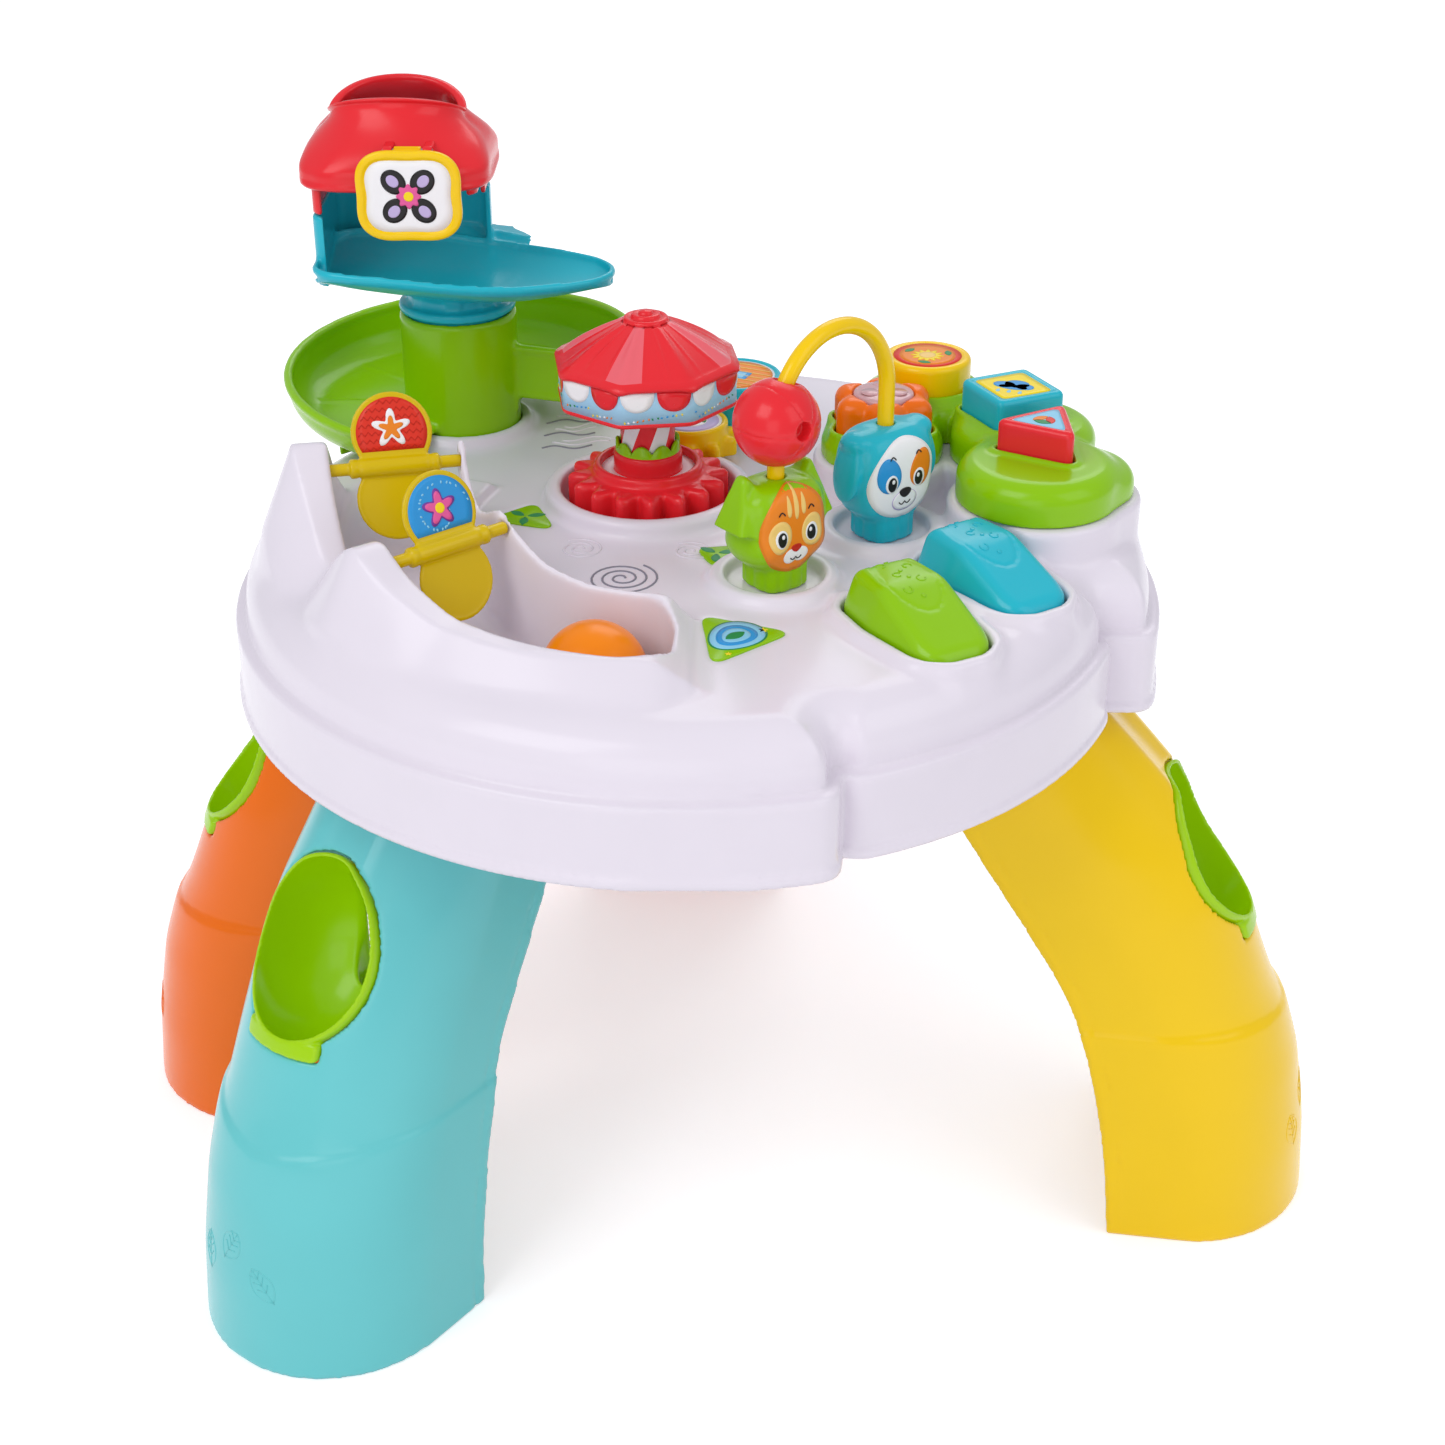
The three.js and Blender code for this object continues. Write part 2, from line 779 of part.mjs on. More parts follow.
function makeLeg() {
  const filled = legFilled(0);
  const last = leg_height_shares.length - 1;
  const topInner = -leg_splay * leg_inner_shares[last];
  const topOuter = leg_depth - leg_splay * leg_outer_shares[last];
  const middle = (topInner + topOuter) * half;
  const lid = cut(filled, block(
    leg_depth * fourfold, leg_depth * fourfold, leg_height * twice, 0, 0, -leg_wall,
  ));
  const tongue = block(
    leg_tongue_depth, leg_tongue_width, leg_tongue_height + leg_wall,
    middle, 0, leg_height + (leg_tongue_height - leg_wall) * half,
  );
  const body = join(legBody(), lid, tongue);
  const leg = cut(body, cupEgg(-gap), cupLip(gap));
  const bowl = cut(cupEgg(0), cupEgg(cup_wall));
  const lip = cut(cupLip(0), cupEgg(cup_wall));
  const cup = join(bowl, lip).intersect(legFilled(cup_lip_proud * half));
  return { leg, cup, middle };
}

const { leg: leg_solid, cup: cup_solid, middle: leg_top_middle } = makeLeg();

const leg_places = [
  { name: "side_leg_left", cup: "side_leg_left_cup", colour: "orange", ...left_leg },
  { name: "front_leg", cup: "front_leg_cup", colour: "aqua", ...front_leg },
  { name: "side_leg_right", cup: "side_leg_right_cup", colour: "yellow", ...right_leg },
  { name: "back_leg", cup: "back_leg_cup", colour: "red", ...back_leg },
];

for (const { name, cup, colour, x, y, turn } of leg_places) {
  const legGroup = new THREE.Group();
  legGroup.position.set(x, y, 0);
  legGroup.rotation.z = radians(turn);
  group.add(legGroup);
  place(name, leg_solid, colour, legGroup);
  place(cup, cup_solid, "lime", legGroup);
}

// Table top
function runSection(share) {
  const turn = run_start_deg + share * run_sweep_deg;
  const at = (shares) => tabled(run_turn_shares, shares, share);
  const floor = deck_top - run_drop * at(run_floor_shares);
  const inTop = deck_top + run_rise * at(run_inner_shares);
  const outTop = deck_top + run_rise * at(run_outer_shares);
  const back = run_outer_radius + run_wall;
  const ridge = back + at(run_ridge_shares) * (run_foot_radius - back);
  const bend = Math.min(run_floor_round, (outTop - floor) * half);
  const under = floor - run_wall;
  const apex = Math.max(outTop - run_wall, under + bend);
  const slopeRadius = THREE.MathUtils.lerp(ridge, run_foot_radius, run_slope_share);
  const slopeHeight = THREE.MathUtils.lerp(outTop, run_foot_height, run_fall_share);
  const top = [
    [run_inner_radius - run_wall, under], [run_inner_radius - run_wall, inTop],
    [run_inner_radius, inTop], [run_inner_radius, floor + bend], [run_inner_radius + bend, floor],
    [run_outer_radius - bend, floor], [run_outer_radius, floor + bend], [run_outer_radius, outTop],
    [ridge, outTop - run_edge], [slopeRadius, slopeHeight],
    [run_foot_radius, run_foot_height + run_wall * half], [run_foot_radius, run_foot_height - run_wall],
  ];
  const base = [
    [run_inner_radius - run_wall + run_edge, under - run_edge],
    [run_inner_radius - run_edge, under - run_edge],
    [run_inner_radius, under], [run_inner_radius + bend * half, under],
    [run_inner_radius + bend, under],
    [run_outer_radius - bend, under], [back, under + bend * half], [back, apex],
    [Math.max(back, ridge - run_edge - run_edge) + run_edge, apex - run_edge],
    [slopeRadius - run_wall, slopeHeight - run_wall * half],
    [run_foot_radius - run_wall, run_foot_height - run_wall * half],
    [run_foot_radius - run_wall, run_foot_height - run_wall],
  ];
  const spread = (chain) => chain.map(([r, z]) => [...polar(r, turn), z]);
  return { outer: spread(top), inner: spread(base) };
}

function makeRun() {
  return bandLoft(Array.from({ length: run_sections + 1 }, (_, i) => runSection(i / run_sections)));
}

function runSector() {
  const first = run_start_deg + run_overlap_deg;
  const last = run_start_deg + run_sweep_deg - run_overlap_deg;
  const turns = Array.from(
    { length: run_sections + 1 }, (_, i) => THREE.MathUtils.lerp(first, last, i / run_sections),
  );
  const low = run_foot_height + run_wall * half;
  const near = run_inner_radius - run_wall * half;
  const far = run_foot_radius + run_foot_radius;
  const edge = (turn, z) => [near, far].map((radius) => [...polar(radius, turn), z]);
  return bandLoft(turns.map((turn) => ({
    outer: edge(turn, low),
    inner: edge(turn, deck_top + run_wall),
  })));
}

function shellOuter() {
  const ledge = skirt_bottom + band_height;
  const rise = deck_top - ledge;
  const taper = skirt_flange * half;
  return loft([
    lobeRing(-skirt_flange, skirt_bottom),
    lobeRing(-skirt_flange, skirt_bottom + skirt_flange_height),
    lobeRing(0, skirt_bottom + skirt_flange_height),
    lobeRing(taper, ledge),
    lobeRing(band_step, ledge),
    ...shoulder_shares.map(([inset, lift]) => lobeRing(band_step + shoulder_width * inset,
      ledge + rise * lift)),
    lobeRing(shoulder_width, deck_top),
  ]);
}

function shellInner() {
  const [inner_inset, inner_lift] = shoulder_inner_share;
  const ledge = skirt_bottom + band_height;
  const rise = deck_top - ledge;
  const taper = skirt_flange * half;
  return loft([
    lobeRing(0, skirt_bottom - overrun, deck_wall),
    lobeRing(taper, ledge - deck_wall, deck_wall),
    lobeRing(band_step + taper, ledge + rise * shoulder_low_share, deck_wall),
    lobeRing(band_step + shoulder_width * inner_inset, ledge + rise * inner_lift, deck_wall),
    lobeRing(shoulder_width, deck_top - deck_wall, deck_wall),
  ]);
}

const hill_lobes = [
  { x: flower_x, y: flower_y, radius: flower_lobe_radius, top: flower_lobe_top },
  { x: round_x, y: round_y, radius: round_lobe_radius, top: hill_top },
  { x: square_lobe_x, y: square_lobe_y, radius: square_lobe_radius, top: hill_top },
  { x: triangle_lobe_x, y: triangle_lobe_y, radius: triangle_lobe_radius, top: hill_top },
  { x: end_lobe_x, y: end_lobe_y, radius: end_lobe_radius, top: flower_lobe_top },
];

function hillDiscs(margin, low, high) {
  return join(...hill_lobes.map(
    ({ x, y, radius }) => disc(radius + margin, low, high, hill_lobe_steps, x, y),
  ));
}

function hillDomes(inset, low) {
  return join(...hill_lobes.map(({ x, y, radius, top }) => {
    const full = radius - inset;
    const height = top - inset - hill_bottom;
    const [turn_in, turn_up] = hill_turn_shares;
    return turned([
      [0, low], [full, low], [full, hill_bottom + height * hill_side_share],
      [full - hill_shoulder * turn_in, hill_bottom + height * turn_up],
      [full - hill_shoulder, hill_bottom + height], [0, hill_bottom + height],
    ], hill_lobe_steps, x, y);
  }));
}

// Outlines of the buttons, and of the wells that they travel in
function waveOutline(radius, wave, petals, steps, phase, x, y) {
  return Array.from({ length: steps }, (_, i) => {
    const turn = (i / steps) * turn_deg;
    return polar(radius + wave * Math.cos(radians(petals * (turn - phase))), turn, x, y);
  });
}

const button_outlines = {
  round_button: regular(hill_lobe_steps, round_button_radius, 0, round_x, round_y),
  square_button: rounded(
    regular(square_corners, square_button_half * Math.SQRT2, square_button_deg, square_x, square_y),
    button_corner,
  ),
  triangle_button: rounded(
    regular(triangle_corners, triangle_button_radius, triangle_button_deg, triangle_x, triangle_y),
    button_corner,
  ),
  flower_button: waveOutline(
    flower_button_radius, flower_wave, flower_petals, hill_lobe_steps * twice,
    flower_turn_deg, flower_x, flower_y,
  ),
};

const block_top = hill_bottom - gap;
const plate_under = block_top - deck_wall;
const flange_top = plate_under - gap;
const flange_bottom = flange_top - button_flange;
const board_top = board_level + board_thickness;
const membrane_low = board_top + gap;
const dome_top = membrane_low + membrane_thickness + membrane_dome_height;
const stem_bottom = dome_top + button_travel + gap;

function makeButton(outline, top, [x, y]) {
  const body = loft([
    ...[flange_bottom + button_flange * half, top - button_bevel]
      .map((z) => outline.map(([px, py]) => [px, py, z])),
    grown(outline, -button_bevel * half).map(([px, py]) => [px, py, top]),
  ]);
  const flange = prism(grown(outline, button_flange_margin), flange_bottom, flange_top);
  const stem = disc(stem_radius, stem_bottom, flange_top, tube_sides, x, y);
  return join(body, flange, stem);
}

// Keys lie along local X from the hinge end
function keyWidth(share) {
  return key_half_width * tabled(key_length_shares, key_width_shares, share);
}

function keyOutline(grow) {
  const right = key_length_shares.map((share) => [share * key_length, -keyWidth(share)]);
  const left = key_length_shares.map((share) => [share * key_length, keyWidth(share)]).reverse();
  return grown([...right, ...left], grow);
}

function makeKey() {
  const body = loft(key_length_shares.map((share, i) => {
    const x = share * key_length;
    const width = key_half_width * key_width_shares[i];
    const top = deck_top + key_rise * key_height_shares[i];
    const side = deck_top + (top - deck_top) * half;
    const crown = width * key_crown_share;
    const chamfer = (width + crown) * half;
    return [
      [x, -width, key_bottom], [x, width, key_bottom], [x, width, side],
      [x, chamfer, (side + top) * half + (top - side) * quarter], [x, crown * key_crown_share, top],
      [x, -crown * key_crown_share, top], [x, -chamfer, (side + top) * half + (top - side) * quarter],
      [x, -width, side],
    ];
  }));
  const bore = levelRod(
    key_pin_radius + running, key_half_width * fourfold, right_angle_deg, key_pin_inset, 0,
    key_pin_level, tube_sides,
  );
  return cut(body, bore);
}

const key_pin_level = key_bottom + key_pin_radius + key_pin_radius;
const key_lug_inner = keyWidth((key_pin_inset + key_pin_inset) / key_length) + key_slot_play + gap;
const key_pin_length = (key_lug_inner + key_lug_wall) * twice;

function keyPin() {
  return levelRod(
    key_pin_radius, key_pin_length, right_angle_deg, key_pin_inset, 0, key_pin_level, tube_sides,
  );
}

function keyLugs() {
  const height = deck_top - deck_wall * half - (key_bottom - key_pin_radius);
  const lugs = sides.map((side) => block(
    key_pin_inset + key_pin_radius * twice, key_lug_wall, height, key_pin_inset,
    side * (key_lug_inner + key_lug_wall * half), deck_top - deck_wall * half - height * half,
  ));
  const bore = levelRod(
    key_pin_radius + gap, key_pin_length + overrun, right_angle_deg, key_pin_inset, 0,
    key_pin_level, tube_sides,
  );
  return cut(join(...lugs), bore);
}

const key_places = [
  { name: "green_key", colour: "lime", x: green_key_x, y: green_key_y, turn: green_key_deg },
  { name: "aqua_key", colour: "teal", x: aqua_key_x, y: aqua_key_y, turn: aqua_key_deg },
];

const pinion_pitch = (carousel_pitch * pinion_teeth) / carousel_teeth;
const [yellow_x, yellow_y] = polar(carousel_pitch + pinion_pitch, pinion_turn_deg, carousel_x,
  carousel_y);
const [teal_x, teal_y] = polar(pinion_pitch + pinion_pitch, third_turn_deg, yellow_x, yellow_y);

const inlays = {
  front_panel: rounded(front_inlay_points, inlay_corner),
  left_panel: rounded(left_inlay_points, inlay_corner),
  back_panel: rounded(back_inlay_points, inlay_corner),
};

const gear_reach = pinion_pitch + gear_wave + gear_play;
const gear_clear = deck_top + recess_rim_height + recess_rim_height;

function makeTableTop() {
  const keySlots = key_places.map((place) => moved(
    prism(keyOutline(key_slot_play), key_bottom - key_collar - key_collar, deck_top + key_rise), place,
  ));
  const keyCollars = key_places.map((place) => moved(prism(
    keyOutline(key_slot_play + key_collar), deck_top - deck_wall, deck_top + key_collar_height,
  ), place));
  const keyHangers = key_places.map((place) => moved(keyLugs(), place));
  const blockLow = board_top + overrun + gap;
  let shell = cut(shellOuter(), shellInner(), runSector());
  shell = join(shell, makeRun(), hillDiscs(block_margin, blockLow, block_top));
  shell = cut(shell, hillDiscs(block_margin - deck_wall, blockLow - overrun, plate_under));
  shell = join(
    shell,
    disc(recess_radius + recess_rim, recess_floor - deck_wall, recess_floor + recess_rim_top,
      recess_steps, carousel_x, carousel_y),
    ringOf(column_radius + gap, column_radius + column_collar, deck_top - deck_wall,
      deck_top + column_collar_height, hill_lobe_steps, column_x, column_y),
    ...[[cat_x, cat_y], [dog_x, dog_y]].map(([x, y]) => ringOf(
      dish_radius - dish_wall, dish_radius, deck_top - deck_wall, deck_top + dish_height,
      hill_lobe_steps, x, y,
    )),
    ...[[yellow_x, yellow_y], [teal_x, teal_y]].map(([x, y]) => disc(
      gear_pad_radius, deck_top - deck_wall, gear_bottom + gap, tube_sides, x, y,
    )),
    ...keyCollars,
    ...board_post_places.map(([x, y]) => disc(
      board_post_radius, board_top + gap, plate_under + deck_wall * half, tube_sides, x, y,
    )),
    ...tray_screw_places.map(([x, y]) => disc(
      screw_post_radius, tray_bottom + tray_wall + gap, deck_top - deck_wall * half, tube_sides, x, y,
    )),
  );
  shell = cut(
    shell,
    disc(recess_radius, recess_floor, deck_top + recess_rim_height * twice, recess_steps,
      carousel_x, carousel_y),
    disc(spindle_radius + gap, recess_floor - deck_wall * twice, deck_top, pin_sides, carousel_x,
      carousel_y),
    ...[[yellow_x, yellow_y], [teal_x, teal_y]].flatMap(([x, y]) => [
      turned([
        [0, gear_bottom - gap], [gear_pad_radius - gap, gear_bottom - gap],
        [gear_pad_radius - gap, deck_top - inlay_pocket], [gear_reach + gap, deck_top - inlay_pocket],
        [gear_reach + gap, gear_clear], [0, gear_clear],
      ], hill_lobe_steps, x, y),
      disc(gear_pin_radius + gap, deck_top - deck_wall * twice, deck_top + deck_wall * twice,
        pin_sides, x, y),
    ]),
    ...[[cat_x, cat_y], [dog_x, dog_y]].map(([x, y]) => disc(
      arch_tube_radius + gap, deck_top - deck_wall * twice, deck_top + deck_wall, tube_sides, x, y,
    )),
    ...keySlots,
    ...Object.values(button_outlines).map((outline) => prism(
      grown(outline, hill_well_play), plate_under - overrun, hill_top,
    )),
    ...Object.values(inlays).map((outline) => prism(
      grown(outline, gap), deck_top - inlay_pocket, deck_top + overrun,
    )),
    ...tray_screw_places.map(([x, y]) => disc(
      tray_screw_radius + gap, tray_bottom - overrun, tray_bottom + tray_screw_length + tray_wall,
      tube_sides, x, y,
    )),
    ...[[rear_axle_turn_deg, rear_axle_height], [front_axle_turn_deg, front_axle_height]]
      .map(([turn, height]) => levelRod(
        flap_axle_radius + gap, axle_length + gap + gap, turn, ...polar(run_middle_radius, turn),
        height,
      )),
  );
  return join(shell, ...keyHangers);
}

const run_middle_radius = (run_inner_radius + run_outer_radius) * half;
place("tabletop_shell", makeTableTop(), "body");

// Tray with the battery box, the speaker seat and the switch slot
const cell_pitch = cell_radius + cell_radius + battery_side_play;
const cells_width = cell_pitch * cell_count + battery_side_play;
const cells_depth = cell_length + gap + gap;
const door_width = cells_width + battery_wall;
const door_depth = cells_depth + door_tab;
const door_y = battery_y + (door_tab - battery_wall) * half;
const door_screw_y = battery_y + cells_depth * half + battery_wall * half + door_boss_radius;
const cell_low = tray_bottom + door_thickness + gap + gap;
const cell_level = cell_low + cell_radius;
const box_inner_top = cell_low + cell_radius + cell_radius + gap;
const tray_top = tray_bottom + tray_wall;

function tongueHole({ x, y, turn }) {
  const hole = block(
    leg_tongue_depth + gap * twice, leg_tongue_width + gap * twice, tray_rim_height * twice,
    leg_top_middle, 0, tray_bottom,
  );
  return moved(hole, { x, y, turn });
}

function grilleHoles() {
  return regular(grille_holes, grille_circle, 0, speaker_x, speaker_y)
    .map(([x, y]) => disc(grille_hole_radius, tray_bottom - overrun, tray_top + overrun, tube_sides,
      x, y));
}

function makeTray() {
  const dish = cut(
    loft([tray_bottom, tray_bottom + tray_rim_height].map(
      (z) => lobeRing(tray_inset, z, deck_wall + gap),
    )),
    loft([tray_top, tray_bottom + tray_rim_height + overrun].map(
      (z) => lobeRing(tray_inset, z, deck_wall + gap + tray_wall),
    )),
  );
  const boxHeight = box_inner_top + door_thickness - tray_bottom;
  const made = join(
    dish,
    block(cells_width + battery_wall * twice, cells_depth + battery_wall * twice, boxHeight - gap,
      battery_x, battery_y, tray_bottom + (boxHeight + gap) * half),
    disc(door_boss_radius, tray_bottom + gap, tray_bottom + door_screw_length + tray_wall,
      tube_sides, battery_x, door_screw_y),
    ringOf(speaker_radius + gap, speaker_radius + gap + speaker_ring, tray_bottom + gap,
      tray_top + speaker_ring_height, hill_lobe_steps, speaker_x, speaker_y),
  );
  const doorHeight = door_thickness + gap;
  return cut(
    made,
    block(cells_width, cells_depth, boxHeight - door_thickness + overrun, battery_x, battery_y,
      tray_bottom + (boxHeight - door_thickness - overrun) * half),
    block(door_width + gap * twice, door_depth + gap * twice, doorHeight * twice, battery_x, door_y,
      tray_bottom),
    disc(door_screw_radius + running, tray_bottom - overrun, tray_bottom + door_screw_length + gap,
      tube_sides, battery_x, door_screw_y),
    block(switch_length + switch_travel + gap * twice, switch_width + gap * twice, tray_wall * fourfold,
      switch_x + switch_travel * half, switch_y, tray_bottom),
    ...grilleHoles(),
    ...leg_places.map(tongueHole),
    ...tray_screw_places.map(([x, y]) => disc(
      tray_screw_radius + gap, tray_bottom - overrun, tray_top + overrun, tube_sides, x, y,
    )),
  );
}

place("base_tray", makeTray(), "body");

tray_screw_places.forEach(([x, y], i) => {
  const shank = disc(tray_screw_radius, tray_bottom - gap, tray_bottom + tray_screw_length,
    tube_sides, x, y);
  const head = disc(tray_screw_head, tray_bottom - pin_head_height, tray_bottom - gap, tube_sides,
    x, y);
  place(`tray_screw_${i + 1}`, join(shank, head), "steel");
});

for (let i = 0; i < cell_count; i += 1) {
  const x = battery_x + (i - (cell_count - 1) * half) * cell_pitch;
  place(`battery_${i + 1}`, levelRod(
    cell_radius, cell_length, right_angle_deg, x, battery_y, cell_level,
  ), "cell");
}

const door_plate = block(
  door_width, door_depth, door_thickness, battery_x, door_y, tray_bottom + door_thickness * half,
);
place("battery_door", cut(
  door_plate,
  disc(door_screw_radius + gap, tray_bottom - overrun, tray_top, tube_sides, battery_x, door_screw_y),
  disc(door_screw_head + gap, tray_bottom - overrun, tray_bottom + door_screw_head_height + gap,
    tube_sides, battery_x, door_screw_y),
), "body");
place("battery_door_screw", join(
  disc(door_screw_radius, tray_bottom, tray_bottom + door_screw_length, tube_sides, battery_x,
    door_screw_y),
  disc(door_screw_head, tray_bottom, tray_bottom + door_screw_head_height, tube_sides, battery_x,
    door_screw_y),
), "steel");

const switch_flange_low = tray_top + gap;
place("power_switch", join(
  block(switch_length, switch_width, switch_flange_low - switch_low + gap, switch_x, switch_y,
    (switch_flange_low + switch_low + gap) * half),
  block(switch_length + switch_flange + switch_flange, switch_width + switch_flange,
    switch_flange_height,
    switch_x, switch_y, switch_flange_low + switch_flange_height * half),
), "red");

const speaker_low = tray_top + gap;
place("speaker", turned([
  [0, speaker_low], [speaker_radius, speaker_low], [speaker_radius, speaker_low + speaker_rim_height],
  [speaker_magnet_radius, speaker_low + speaker_rim_height + speaker_rim_height],
  [speaker_magnet_radius, speaker_low + speaker_height], [0, speaker_low + speaker_height],
], hill_lobe_steps, speaker_x, speaker_y), "black");

const stem_places = {
  round_button: [round_x, round_y],
  square_button: [square_x, square_y],
  triangle_button: [triangle_x, triangle_y],
  flower_button: [flower_x, flower_y],
};

place("circuit_board", join(
  prism(board_points, board_level, board_top),
  disc(led_radius, board_top - gap, board_top + led_height, tube_sides, led_x, led_y),
), "board");
place("button_membrane", cut(
  join(
    prism(grown(board_points, -membrane_margin), membrane_low, membrane_low + membrane_thickness),
    ...Object.values(stem_places).map(([x, y]) => turned([
      [0, membrane_low], [membrane_dome_radius, membrane_low],
      [membrane_dome_radius, membrane_low + membrane_thickness],
      [stem_radius, dome_top], [0, dome_top],
    ], tube_sides, x, y)),
  ),
  disc(led_radius + gap, board_level, board_top + led_height, tube_sides, led_x, led_y),
  ...board_post_places.map(([x, y]) => disc(
    board_post_radius + gap, board_level, dome_top, tube_sides, x, y,
  )),
), "rubber");

// Hill panel, buttons and lens
place("hill_panel", cut(
  join(
    cut(hillDomes(0, hill_bottom), hillDomes(hill_wall, hill_bottom - overrun)),
    ...Object.entries(button_outlines).map(([name, outline]) => prism(
      grown(outline, hill_well_play + hill_wall), hill_bottom,
      (name === "flower_button" ? flower_lobe_top : hill_top) + hill_wall * half,
    )),
  ),
  ...Object.values(button_outlines).map((outline) => prism(
    grown(outline, hill_well_play), hill_bottom - overrun, hill_top + hill_shoulder,
  )),
), "lime");

const button_colours = {
  round_button: "yellow", square_button: "teal", triangle_button: "red", flower_button: "orange",
};
for (const [name, outline] of Object.entries(button_outlines)) {
  const top = name === "flower_button" ? flower_button_top : button_top;
  const made = makeButton(outline, top, stem_places[name]);
  const well = disc(
    lens_radius + gap, flower_button_top - lens_depth, flower_button_top + overrun,
    hill_lobe_steps, flower_x, flower_y,
  );
  place(name, name === "flower_button" ? cut(made, well) : made, button_colours[name]);
}
place("flower_lens", disc(
  lens_radius, flower_button_top - lens_depth + gap, flower_button_top + lens_proud,
  hill_lobe_steps, flower_x, flower_y,
), "lens");

// Keys on their pins
for (const { name, colour, x, y, turn } of key_places) {
  place(name, moved(makeKey(), { x, y, turn }), colour);
  place(`${name}_pin`, moved(keyPin(), { x, y, turn }), "steel");
}

// Inlaid panels
const inlay_low = deck_top - inlay_pocket + gap;
for (const [name, outline] of Object.entries(inlays)) {
  place(name, prism(outline, inlay_low, inlay_low + inlay_wall), "lime");
}

// Ball at rest in the bowl that ends the run
const [ball_x, ball_y] = polar(run_middle_radius, ball_turn_deg);
const ball_shape = new THREE.SphereGeometry(ball_radius, ball_steps, ball_steps * half);
ball_shape.translate(ball_x, ball_y, deck_top - run_drop + ball_radius + gap);
place("ball", solid(ball_shape), "orange");

// Flap wheels
function makeFlapWheel(turn, height) {
  const [x, y] = polar(run_middle_radius, turn);
  const blades = Array.from({ length: flap_blades }, (_, i) => moved(
    disc(flap_radius, -flap_wall * half, flap_wall * half, flap_steps, 0, flap_offset),
    { tilt: flap_first_deg + (i / flap_blades) * turn_deg },
  ));
  const wheel = join(
    levelRod(flap_hub_radius, flap_hub_length, 0, 0, 0, 0),
    levelRod(flap_axle_radius, axle_length, 0, 0, 0, 0),
    ...blades,
  );
  return moved(wheel, { x, y, z: height, turn });
}

place("rear_flap_wheel", makeFlapWheel(rear_axle_turn_deg, rear_axle_height), "gold");
place("front_flap_wheel", makeFlapWheel(front_axle_turn_deg, front_axle_height), "gold");

// Tower: a column with a curved ramp, a leaf-shaped slide, the house and its roof
function rampSection(share) {
  const turn = bowl_start_deg + share * bowl_sweep_deg;
  const floor = bowl_floor + bowl_fall * (1 - share);
  const rim = floor + bowl_rise * along(bowl_rise_shares, share);
  const near = column_radius - column_wall * half;
  const bend = bowl_wall + bowl_wall;
  const outer = [
    [near, floor], [bowl_radius - bend - bend, floor],
    [bowl_radius - bend, floor + bowl_wall], [bowl_radius - bowl_wall, rim],
  ];
  const inner = [
    [near, floor - bowl_wall], [bowl_radius - bend - bend + bowl_wall * half, floor - bowl_wall],
    [bowl_radius - bowl_wall, floor], [bowl_radius, rim],
  ];
  const spread = (chain) => chain.map(([r, z]) => [...polar(r, turn, column_x, column_y), z]);
  return { outer: spread(outer), inner: spread(inner) };
}

function makeRamp() {
  const trough = bandLoft(Array.from({ length: bowl_sections + 1 },
    (_, i) => rampSection(i / bowl_sections)));
  const endFloor = bowl_floor + bowl_fall;
  const endLength = bowl_radius - bowl_wall - column_radius;
  const endWall = moved(
    block(endLength, bowl_wall, bowl_rise * bowl_rise_shares[0], column_radius + endLength * half,
      bowl_wall * half, endFloor + bowl_rise * bowl_rise_shares[0] * half),
    { x: column_x, y: column_y, turn: bowl_start_deg },
  );
  const column = disc(column_radius, deck_top + gap, column_top, hill_lobe_steps, column_x, column_y);
  const bore = disc(
    column_radius - column_wall, deck_top, column_top + overrun, hill_lobe_steps, column_x, column_y,
  );
  return cut(join(trough, endWall, column), bore);
}

function slideSection(share, lift) {
  const x = THREE.MathUtils.lerp(slide_left, slide_right, share);
  const width = slide_half_width * along(slide_width_shares, share);
  const rim = slide_rim + slide_depth * along(slide_rim_shares, share);
  const depth = slide_depth * along(slide_depth_shares, share);
  const point = (across, grow, drop) => [
    x, slide_middle_y + across * (width + grow), rim - depth * (1 - across * across) - drop,
  ];
  if (lift) {
    const sides = [...slide_across_shares].reverse().map((across) => [
      x, slide_middle_y + across * width, rim + lift,
    ]);
    return { outer: slide_across_shares.map((across) => point(across, 0, 0)), inner: sides.reverse() };
  }
  return {
    outer: slide_across_shares.map((across) => point(across, 0, 0)),
    inner: slide_across_shares.map((across) => point(across, slide_wall * half, slide_wall)),
  };
}

function slideBand(lift) {
  return bandLoft(Array.from(
    { length: slide_sections + 1 }, (_, i) => slideSection(i / slide_sections, lift),
  ));
}

const house_middle_y = (house_front + house_back) * half;

function housePlan(inset) {
  const right = house_width * half - inset;
  const corners = [
    [house_middle_x - right, house_front + inset], [house_middle_x + right, house_front + inset],
    [house_middle_x + right, house_back - inset], [house_middle_x - right, house_back - inset],
  ];
  return rounded(corners, house_corner - inset);
}

function houseWalls(low, high) {
  const opening = block(
    house_width - house_wall * fourfold, house_corner * twice, high - low + overrun * twice,
    house_middle_x, house_front, (low + high) * half,
  );
  return cut(
    prism(housePlan(0), low, high),
    prism(housePlan(house_wall), low - overrun, high + overrun),
    opening,
  );
}

